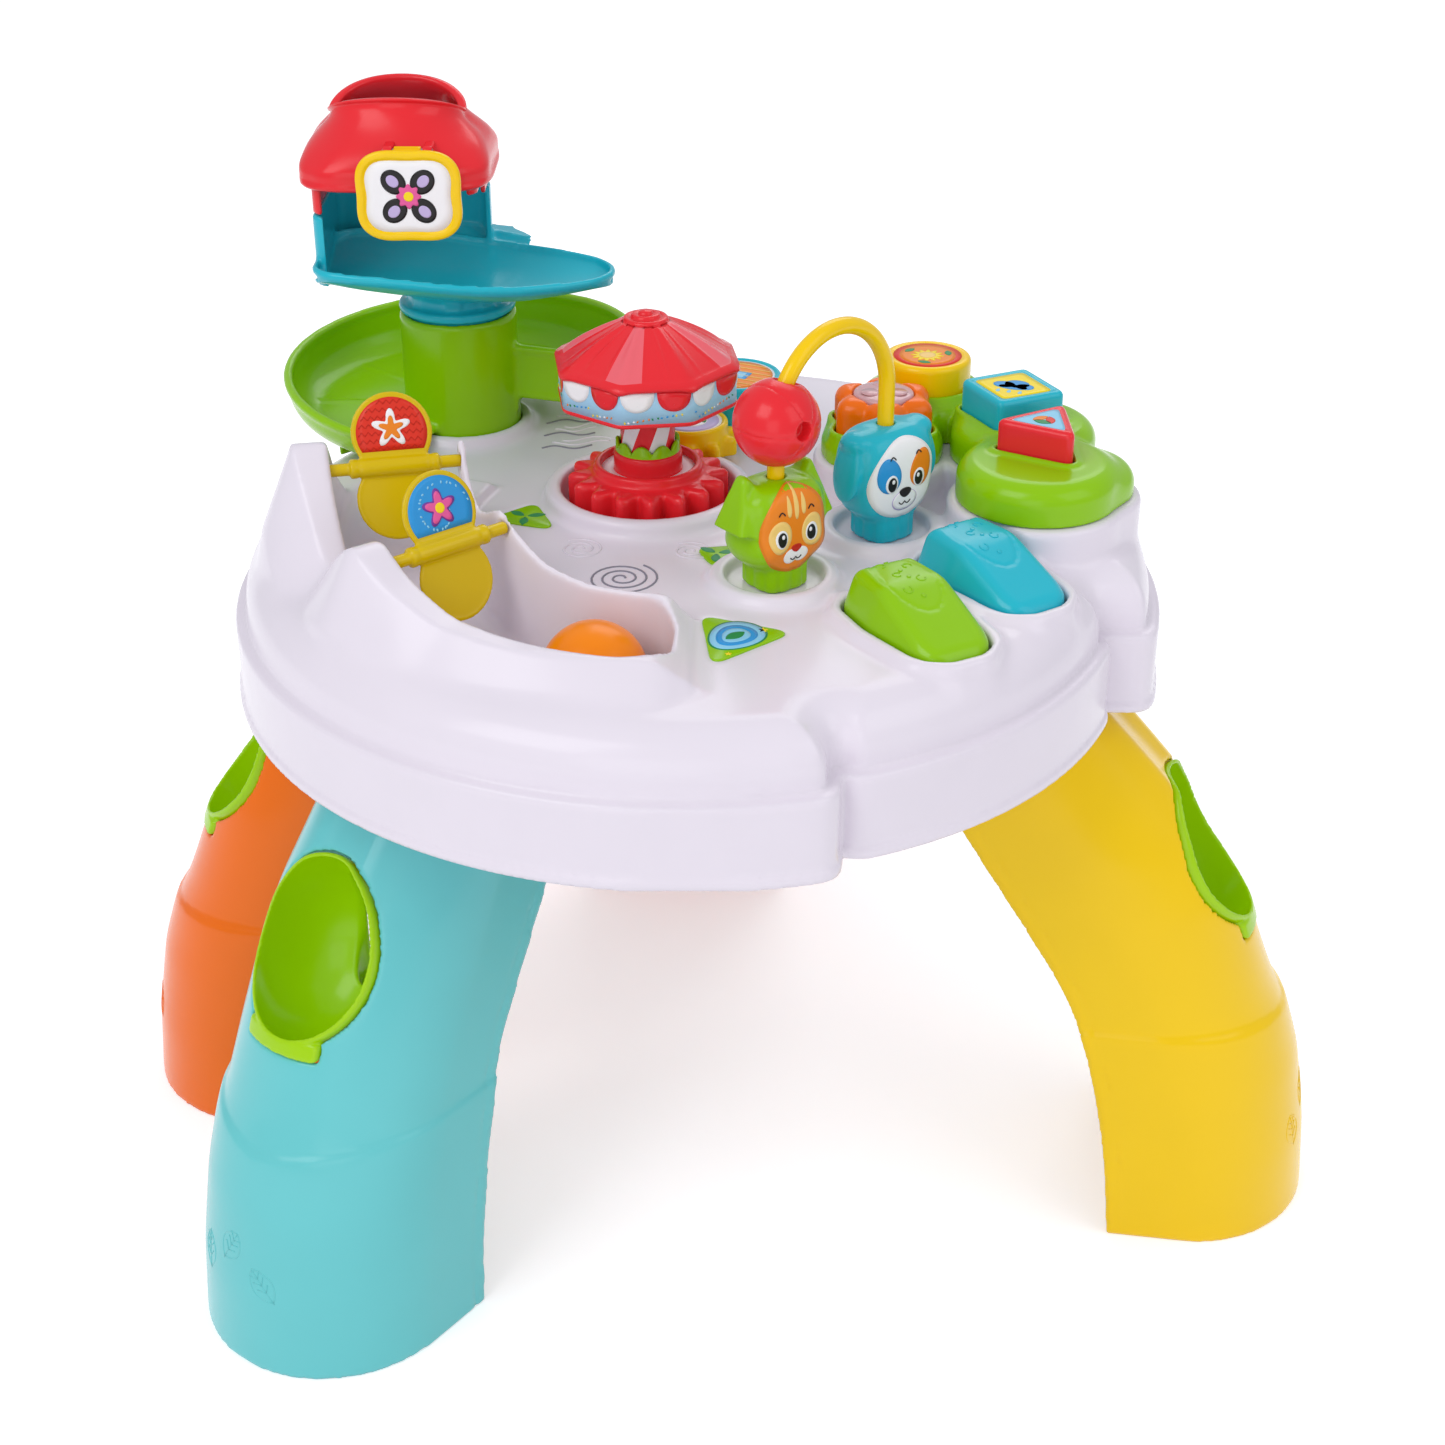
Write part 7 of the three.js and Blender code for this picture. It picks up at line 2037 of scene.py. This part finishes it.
@dataclass
class Arch:
    """The yellow arch between the two heads, and the red bead that slides on it."""

    bottom: float = 360.0
    spring: float = 445.0
    tube: float = 4.0
    bead: float = 20.0
    bead_lift: float = 3.6
    bore: float = 6.2

    def frame(self) -> tuple[Vector, Vector, Vector, float]:
        """Return the arch's centre, its level and normal directions, and its radius."""
        (ax, ay), (bx, by) = Heads.cat, Heads.dog
        span = Vector((bx - ax, by - ay, 0.0))
        level, centre = span.normalized(), Vector(((ax + bx) / 2, (ay + by) / 2, self.spring))
        return centre, level, level.cross(Vector((0, 0, 1))), span.length / 2

    def build(self) -> None:
        """Make the tube and the bead."""
        centre, level, normal, radius = self.frame()
        up = Vector((0, 0, 1))
        bow = [
            centre - level * radius * math.cos(t) + up * radius * math.sin(t)
            for t in np.linspace(0, math.pi, 64)
        ]
        foot = self.bottom - self.spring
        path = [centre - level * radius + up * z for z in np.linspace(foot, -2, 12)] + bow
        path += [centre + level * radius + up * z for z in np.linspace(-2, foot, 12)]
        draft = Draft()
        draft.tube(np.array([tuple(p) for p in path]), self.tube, Finishes.YELLOW, 20)
        settle(draft.object("yellow_arch"), "table", "yellow", ["arch_tube"])
        turn = math.asin(self.bead_lift / radius)
        away = -level * math.cos(turn) + up * math.sin(turn)
        middle = centre + away * radius
        block = Block((-21, -21, -21), (21, 21, 21), 0.7)
        x, y, z = block.x, block.y, block.z
        ball = np.sqrt(x * x + y * y + z * z) - self.bead
        cutter = np.minimum(np.abs(x * 0.9 + z * 0.44), np.abs(x * 0.9 - z * 0.44)) - 0.4
        ball = np.maximum(ball, -np.maximum(cutter, -ball - 0.5))
        equator = np.maximum(np.abs(z + 0.12 * x) - 0.3, -ball - 0.4)
        ball = np.maximum(ball, -equator)
        hole = np.hypot(np.sqrt((x + radius) ** 2 + z**2) - radius, y) - self.bore
        ball = soft_max(ball, -hole, 1.0)
        dimple = np.maximum(np.hypot(x - 2.5, z - 1.0) - 4.2, 13.5 - y)
        ball = soft_max(ball, -dimple, 1.0)
        basis = Matrix((away, normal, up)).transposed()
        basis.col[2] = Vector(basis.col[0]).cross(Vector(basis.col[1]))
        place = Matrix.Translation(middle) @ basis.to_4x4()
        block.piece("red_bead", ball, "bead", "red", ["bead"], place)


@dataclass
class Heads:
    """The two turning animal heads, each in a dish on the deck, with plain faces of their own."""

    cat: Point2 = (39.0, -66.0)
    dog: Point2 = (92.0, -11.0)
    face: float = -52.0
    half_depth: float = 16.0
    half_width: float = 22.5
    low: float = 370.3
    chin: float = 382.3
    cat_top: float = 423.0
    dog_top: float = 427.0
    bore: float = 4.3

    def shape(self, block: Block, top: float, scale: float) -> Array:
        """Return the distance to a head without its ears."""
        x, y, z = block.x, block.y, block.z
        half_height = (top - self.chin) / 2 + 1.0
        middle = (top + self.chin) / 2 - 1.0
        a, b, c = self.half_depth - 0.6, self.half_width * scale - 0.8, half_height
        power = 3.4
        up = (z - middle) / c
        wide = 1 + 0.05 * up - 0.05 * up * up
        size = np.abs(x / a) ** power + np.abs(y / (b * wide)) ** power + np.abs(up) ** power
        size = size ** (1 / power)
        return block.true((size - 1) * 18.0)

    def neck(self, block: Block) -> Array:
        """Return the distance to a neck with its upright grooves."""
        x, y, z = block.x, block.y, block.z
        plan = (np.abs(x / 13.0) ** 3.4 + np.abs(y / 13.0) ** 3.4) ** (1 / 3.4) * 13.0 - 13.0
        turn = np.arctan2(y, x)
        plan = plan + 0.7 * np.clip(np.cos(12 * turn) - 0.2, 0, 1)
        return np.maximum(round_max(plan, self.low - z, 1.2), z - self.chin - 6)

    def build(self) -> None:
        """Mesh both heads and lay their faces."""
        self.build_cat()
        self.build_dog()

    def face_sheet(
        self, name: str, place: Point2, shape: Array, block: Block, slot: str, middle: float, size: float
    ) -> Sheet:
        """Bore a head for the arch, set it in its dish and return the sheet that its face is laid from."""
        shape = soft_max(shape, -(np.hypot(block.x, block.y) - self.bore), 0.6)
        move = turn_about(*place, self.face)
        piece = block.piece(f"{name}_block", shape, name, slot, [name], move)
        where = move @ Vector((20.0, 0.0, middle))
        out = move.to_3x3() @ Vector((1.0, 0.0, 0.0))
        return Sheet(facing(*where, tuple(out)), surface_tree(piece), 25.0, size)

    def lay_eyes(self, draft: Draft, sheet: Sheet, ovals: Sequence[tuple], brow: Sequence[float]) -> None:
        """Lay both eyes and their brows.

        Args:
            draft: The mesh that takes them.
            sheet: The face's sheet.
            ovals: Rows of half sizes, steps, a place, a finish, a lift and maybe the rings.
            brow: The brow's start, its rise and its lift.
        """
        u, v, rise, lift = brow
        for side in (-1, 1):
            for a, b, steps, at_u, at_v, *rest in ovals:
                sheet.print_shape(draft, egg(a, b, steps, u=side * at_u, v=at_v), *rest)
            path = [(side * (u + 2.8 * t), v + rise * math.sin(t * 3.1)) for t in np.linspace(0, 1, 7)]
            sheet.trace(draft, path, 0.32, Finishes.INK_BLACK, lift)

    def lay_mouth(self, draft: Draft, sheet: Sheet, half: float, v: float, depth: float) -> None:
        """Lay the two curves of a mouth."""
        mouth = [(half * t, v - depth * abs(math.sin(t * math.pi))) for t in np.linspace(-1, 1, 15)]
        sheet.trace(draft, mouth, 0.3, Finishes.INK_BLACK, 0.52)

    def build_cat(self) -> None:
        """Mesh the green cat with its ears and its orange face."""
        block = Block((-19, -28, 369), (19, 28, 429), 0.8)
        x, y, z = block.x, block.y, block.z
        shape = soft_min(self.shape(block, self.cat_top, 1.0), self.neck(block), 3.0)
        for side in (-1, 1):
            reach = np.abs(x + 1.0) - 7.5 + (z - 414) * 0.3
            across = np.abs(y - side * (16.5 + (z - 412) * 0.12)) - 8.2 + (z - 412) * 0.42
            ear = round_max(round_max(reach, across, 3.0), z - 427.0, 2.0)
            ear = np.maximum(ear, 402 - z)
            squares = ((x - 7.5) / 4.0) ** 2 + ((y - side * 17.0) / 4.2) ** 2 + ((z - 419) / 6.5) ** 2
            hollow = np.sqrt(squares) * 4 - 4
            shape = soft_min(shape, soft_max(ear, -hollow, 1.5), 4.0)
        cheek = np.sqrt((x / 15.0) ** 2 + ((np.abs(y) - 13) / 9.5) ** 2 + ((z - 393) / 9.0) ** 2) * 9 - 9
        shape = soft_min(shape, cheek, 4.0)
        sheet = self.face_sheet("cat_head", self.cat, shape, block, "lime", 401.0, 1.2)
        draft = Draft()
        sheet.print_shape(draft, egg(16.0, 17.4, 60, narrow=0.06, v=0.4), Finishes.INK_ORANGE, 0.2, 8)
        for u, tall in ((-3.4, 4.2), (0.0, 6.6), (3.4, 4.2)):
            stripe = egg(1.0, tall, 20, u=u, v=11.4 - abs(u) * 0.3, narrow=0.35)
            sheet.print_shape(draft, stripe, Finishes.INK_CREAM, 0.32)
        self.lay_eyes(draft, sheet, (
            (5.2, 6.6, 32, 7.6, -1.0, Finishes.INK_CREAM, 0.32),
            (2.9, 3.7, 28, 7.2, -1.8, Finishes.INK_WHITE, 0.44),
            (2.1, 3.0, 28, 7.0, -2.0, Finishes.INK_BLACK, 0.56),
            (0.7, 0.9, 12, 6.6, -0.9, Finishes.INK_WHITE, 0.68, 2),
        ), (5.6, 7.6, 1.4, 0.4))
        sheet.prints(
            draft,
            (egg(3.4, 3.0, 28, u=-2.4, v=-10.0), Finishes.INK_WHITE, 0.44),
            (egg(3.4, 3.0, 28, u=2.4, v=-10.0), Finishes.INK_WHITE, 0.44),
            (egg(2.3, 1.6, 24, v=-6.9, narrow=-0.35), Finishes.INK_DEEP_RED, 0.56),
        )
        self.lay_mouth(draft, sheet, 2.6, -10.6, 1.0)
        settle(draft.object("cat_face"), "cat_head", "lime")

    def build_dog(self) -> None:
        """Mesh the teal dog with its hanging ears and its white face."""
        block = Block((-19, -31, 369), (19, 31, 431), 0.8)
        x, y, z = block.x, block.y, block.z
        shape = soft_min(self.shape(block, self.dog_top, 1.06), self.neck(block), 3.0)
        for side in (-1, 1):
            lean = (z - 404) * 0.16
            squares = ((x - 0.5) / 9.0) ** 2 + ((y - side * (24.0 - lean)) / 4.2) ** 2
            ear = np.sqrt(squares + ((z - 408) / 15.0) ** 2)
            ear = (ear - 1) * 5.0
            squares = ((x - 1.0) / 8.0) ** 2 + ((y - side * 16.0) / 10.0) ** 2 + ((z - 422) / 4.6) ** 2
            flap = np.sqrt(squares) * 5 - 5
            shape = soft_min(shape, block.true(soft_min(ear, flap, 3.0)), 1.6)
        sheet = self.face_sheet("dog_head", self.dog, shape, block, "teal", 403.0, 1.17)
        draft = Draft()
        sheet.prints(
            draft,
            (egg(17.4, 17.2, 60, narrow=0.1, v=0.5), Finishes.INK_WHITE, 0.2, 8),
            (egg(5.8, 8.0, 36, u=8.4, v=3.4, narrow=0.12, turn_deg=-12), Finishes.INK_ORANGE, 0.32),
            (egg(5.8, 7.6, 36, u=-8.4, v=3.2, narrow=0.12, turn_deg=12), Finishes.INK_BLUE, 0.32),
        )
        self.lay_eyes(draft, sheet, (
            (3.1, 3.9, 28, 7.2, -0.6, Finishes.INK_WHITE, 0.44),
            (2.2, 3.1, 28, 7.0, -0.8, Finishes.INK_BLACK, 0.56),
            (0.75, 0.95, 12, 6.6, 0.4, Finishes.INK_WHITE, 0.68, 2),
        ), (5.4, 9.6, 1.3, 0.42))
        sheet.prints(
            draft,
            (egg(6.6, 4.6, 36, v=-9.0), Finishes.INK_LILAC, 0.32),
            (egg(6.2, 4.2, 36, v=-8.8), Finishes.INK_WHITE, 0.44),
            (egg(3.0, 2.1, 28, v=-5.6, narrow=-0.3), Finishes.INK_BLACK, 0.56),
        )
        self.lay_mouth(draft, sheet, 3.0, -9.4, 1.2)
        settle(draft.object("dog_face"), "dog_head", "teal")


# Keys


@dataclass
@dataclass
class Keys:
    """The green and the teal key, each a smooth hump that slopes into its slot."""

    length: float = 74.0
    half_width: float = 23.0
    bottom: float = 361.0
    deck: float = 370.0
    rise: float = 22.0
    play: float = 1.4
    shares: tuple[float, ...] = (0, 0.05, 0.12, 0.4, 0.46, 0.84, 0.96, 1)
    widths: tuple[float, ...] = (0.7, 0.84, 0.93, 1, 0.99, 0.84, 0.68, 0.52)
    heights: tuple[float, ...] = (0.6, 0.9, 1, 1, 0.94, 0.42, 0.26, 0.16)
    places: tuple[Stand, ...] = (
        Stand("green_key", "lime", 84, -84, -61),
        Stand("aqua_key", "teal", 119, -40, -56),
    )

    def outline_plan(self, along: Array, across: Array) -> Array:
        """Return the distance outward from a key's outline in its own frame."""
        width = self.half_width * smooth_table(self.shares, self.widths, 0.03)(along / self.length)
        ends = np.abs(along - self.length / 2) - self.length / 2
        return round_max(np.abs(across) - width, ends, 7.0)

    def plan(self, x: Array, y: Array, key: Stand) -> Array:
        """Return the distance outward from a key's slot."""
        return self.outline_plan(*along_across(x, y, key.x, key.y, key.turn)) - self.play

    def build(self) -> None:
        """Mesh one key and set it at both places with its raised marks."""
        block = Block((-1.5, -25, 360), (75.5, 25, 394), 0.8)
        x, y, z = block.x, block.y, block.z
        plan = self.outline_plan(x, y)
        top = self.deck + self.rise * smooth_table(self.shares, self.heights, 0.025)(x / self.length)
        width = self.half_width * smooth_table(self.shares, self.widths, 0.03)(x / self.length)
        crown = 0.5 * (y / width) ** 2
        lean = np.maximum(z - self.deck - 4, 0) * 0.34
        shape = block.true(round_max(plan + 0.4 + lean, z - top + crown, 4.5))
        oval = np.sqrt(((x - 26) / 22.0) ** 2 + (y / 12.5) ** 2)
        rim = np.maximum(np.abs(oval - 1) * 14 - 0.55, -shape - 0.35)
        shape = np.maximum(np.maximum(shape, -rim), self.bottom - z)
        shape = np.maximum(shape, 1.7 - np.hypot(x - 6, z - 364))
        points, quads = block.surface(shape)
        for key in self.places:
            piece = mesh_object(f"{key.name}_cap", placed(points, key.place()), quads, [key.finish()])
            settle(piece, key.name, key.slot, [key.name])
            self.raise_marks(key, piece)

    def raise_marks(self, key: Stand, piece: bpy.types.Object) -> None:
        """Lay small raised dots and curls on a key's flat top."""
        marks = Draft()
        sheet = Sheet(key.place(395.0), surface_tree(piece), 30.0)
        for k, (u, v) in enumerate(((12, -5), (17, 6), (23, -3), (30, 5), (35, -5))):
            path = [(u + 2.0 * math.cos(t), v + 2.0 * math.sin(t)) for t in np.linspace(k, k + 4.6, 14)]
            sheet.trace(marks, path, 0.4, key.finish())
        for u, v in ((9, 0), (20, 0.5), (27, 0.5), (40, 0)):
            sheet.print_shape(marks, egg(1.0, 1.0, 14, u=u, v=v), key.finish(), 0.45, 3)
        settle(marks.object(f"{key.name}_marks"), key.name, key.slot)


# Kept pieces, stage, lamps and camera


def dress_kept_nodes() -> None:
    """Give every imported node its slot's finish."""
    for part in frame["record"]["subparts"]:
        node, slot = part["node"], part["material_slot"]
        if node in frame["nodes"] and slot in SLOT_FINISH:
            piece = frame["nodes"][node]
            material = SLOT_FINISH[slot].material()
            if not piece.material_slots:
                piece.data.materials.append(material)
            for place in piece.material_slots:
                place.material = material
            LOG.info("%s keeps its shape in %s", node, slot)


@dataclass
class Studio:
    """The floor, the plain soft lamps and the camera at the photograph's angle."""

    camera_mm: Point3 = (14.9, -1027.5, 828.0)
    pitch: float = 61.0
    lens: float = 57.08
    floor_half: float = 3.0
    floor_colour: tuple[float, ...] = (0.92, 0.92, 0.93, 1.0)
    floor_glow: float = 0.42
    ambient_colour: tuple[float, ...] = (0.93, 0.95, 1.0, 1.0)
    ambient: float = 0.6
    aim: Point3 = (0.0, 0.0, 0.3)
    lamps: tuple[tuple[str, Point3, float, float], ...] = (
        ("key_lamp", (-1.5, -1.6, 2.4), 1.6, 25.0),
        ("fill_lamp", (1.9, -1.3, 1.9), 1.8, 12.0),
        ("rear_lamp", (0.5, 2.0, 2.2), 1.6, 14.0),
        ("front_lamp", (-0.4, -2.3, 0.8), 1.2, 5.0),
    )

    def build_camera(self) -> None:
        """Make the camera."""
        lens = bpy.data.cameras.new("camera")
        lens.lens = self.lens
        lens.sensor_width = 36.0
        lens.clip_end = 50.0
        camera = add_object("camera", lens)
        camera.location = tuple(to_frame(np.array(self.camera_mm)))
        camera.rotation_euler = (math.radians(self.pitch), 0.0, 0.0)
        bpy.context.scene.camera = camera

    def build_floor(self) -> None:
        """Make the white floor, which keeps the table's shadow."""
        data = bpy.data.meshes.new("floor")
        s = self.floor_half
        data.from_pydata([(-s, -s, 0), (s, -s, 0), (s, s * 3, 0), (-s, s * 3, 0)], [], [(0, 1, 2, 3)])
        made = bpy.data.materials.new("floor_white")
        made.use_nodes = True
        nodes = shader_nodes(
            made.node_tree, out="OutputMaterial", white="BsdfDiffuse", glow="Emission", both="AddShader",
            light="LightPath", share="MixShader", seen="Math",
        )
        nodes["seen"].operation = "MAXIMUM"
        wire(made.node_tree, nodes, (
            ("white", "Color", self.floor_colour),
            ("glow", "Strength", self.floor_glow),
        ), (
            ("light", "Is Camera Ray", "seen", 0),
            ("light", "Is Glossy Ray", "seen", 1),
            ("white", "BSDF", "both", 0),
            ("glow", "Emission", "both", 1),
            ("seen", 0, "share", 0),
            ("white", "BSDF", "share", 1),
            ("both", 0, "share", 2),
            ("share", 0, "out", "Surface"),
        ))
        data.materials.append(made)
        add_object("floor", data)

    def build_lamps(self) -> None:
        """Make the broad soft lamps."""
        for name, place, size, power in self.lamps:
            data = bpy.data.lights.new(name, "AREA")
            data.size = size
            data.energy = power
            lamp = add_object(name, data)
            lamp.location = place
            aim = Vector(self.aim) - Vector(place)
            lamp.rotation_euler = aim.to_track_quat("-Z", "Y").to_euler()

    def build_world(self) -> None:
        """Make a surround that looks white and lights softly."""
        world = bpy.data.worlds.new("studio")
        bpy.context.scene.world = world
        world.use_nodes = True
        nodes = shader_nodes(
            world.node_tree, out="OutputWorld", ambient="Background", white="Background", light="LightPath",
            seen="Math", mix="MixShader",
        )
        nodes["seen"].operation = "MAXIMUM"
        wire(world.node_tree, nodes, (
            ("ambient", "Color", self.ambient_colour),
            ("ambient", "Strength", self.ambient),
            ("white", "Color", (1.0, 1.0, 1.0, 1.0)),
            ("white", "Strength", 1.0),
        ), (
            ("light", "Is Camera Ray", "seen", 0),
            ("light", "Is Transmission Ray", "seen", 1),
            ("seen", 0, "mix", 0),
            ("ambient", 0, "mix", 1),
            ("white", 0, "mix", 2),
            ("mix", 0, "out", "Surface"),
        ))

    def build(self) -> None:
        """Make the floor, the lamps and the surround, and set the plain view."""
        self.build_floor()
        self.build_lamps()
        self.build_world()
        bpy.context.scene.view_settings.view_transform = "Standard"


ORIGIN = table_origin()


def main() -> None:
    """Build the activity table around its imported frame."""
    logging.basicConfig(level=logging.INFO, format="%(name)s: %(message)s")
    studio = Studio()
    studio.build_camera()
    dress_kept_nodes()
    for part in (
        TableTop(), Hill(), Inlays(), Legs(), Ball(), FlapWheels(), Tower(), Carousel(), GearTrain(),
        Arch(),
        Heads(), Keys(),
    ):
        LOG.info("building %s", type(part).__name__)
        part.build()
    studio.build()


if __name__ == "__main__":
    main()
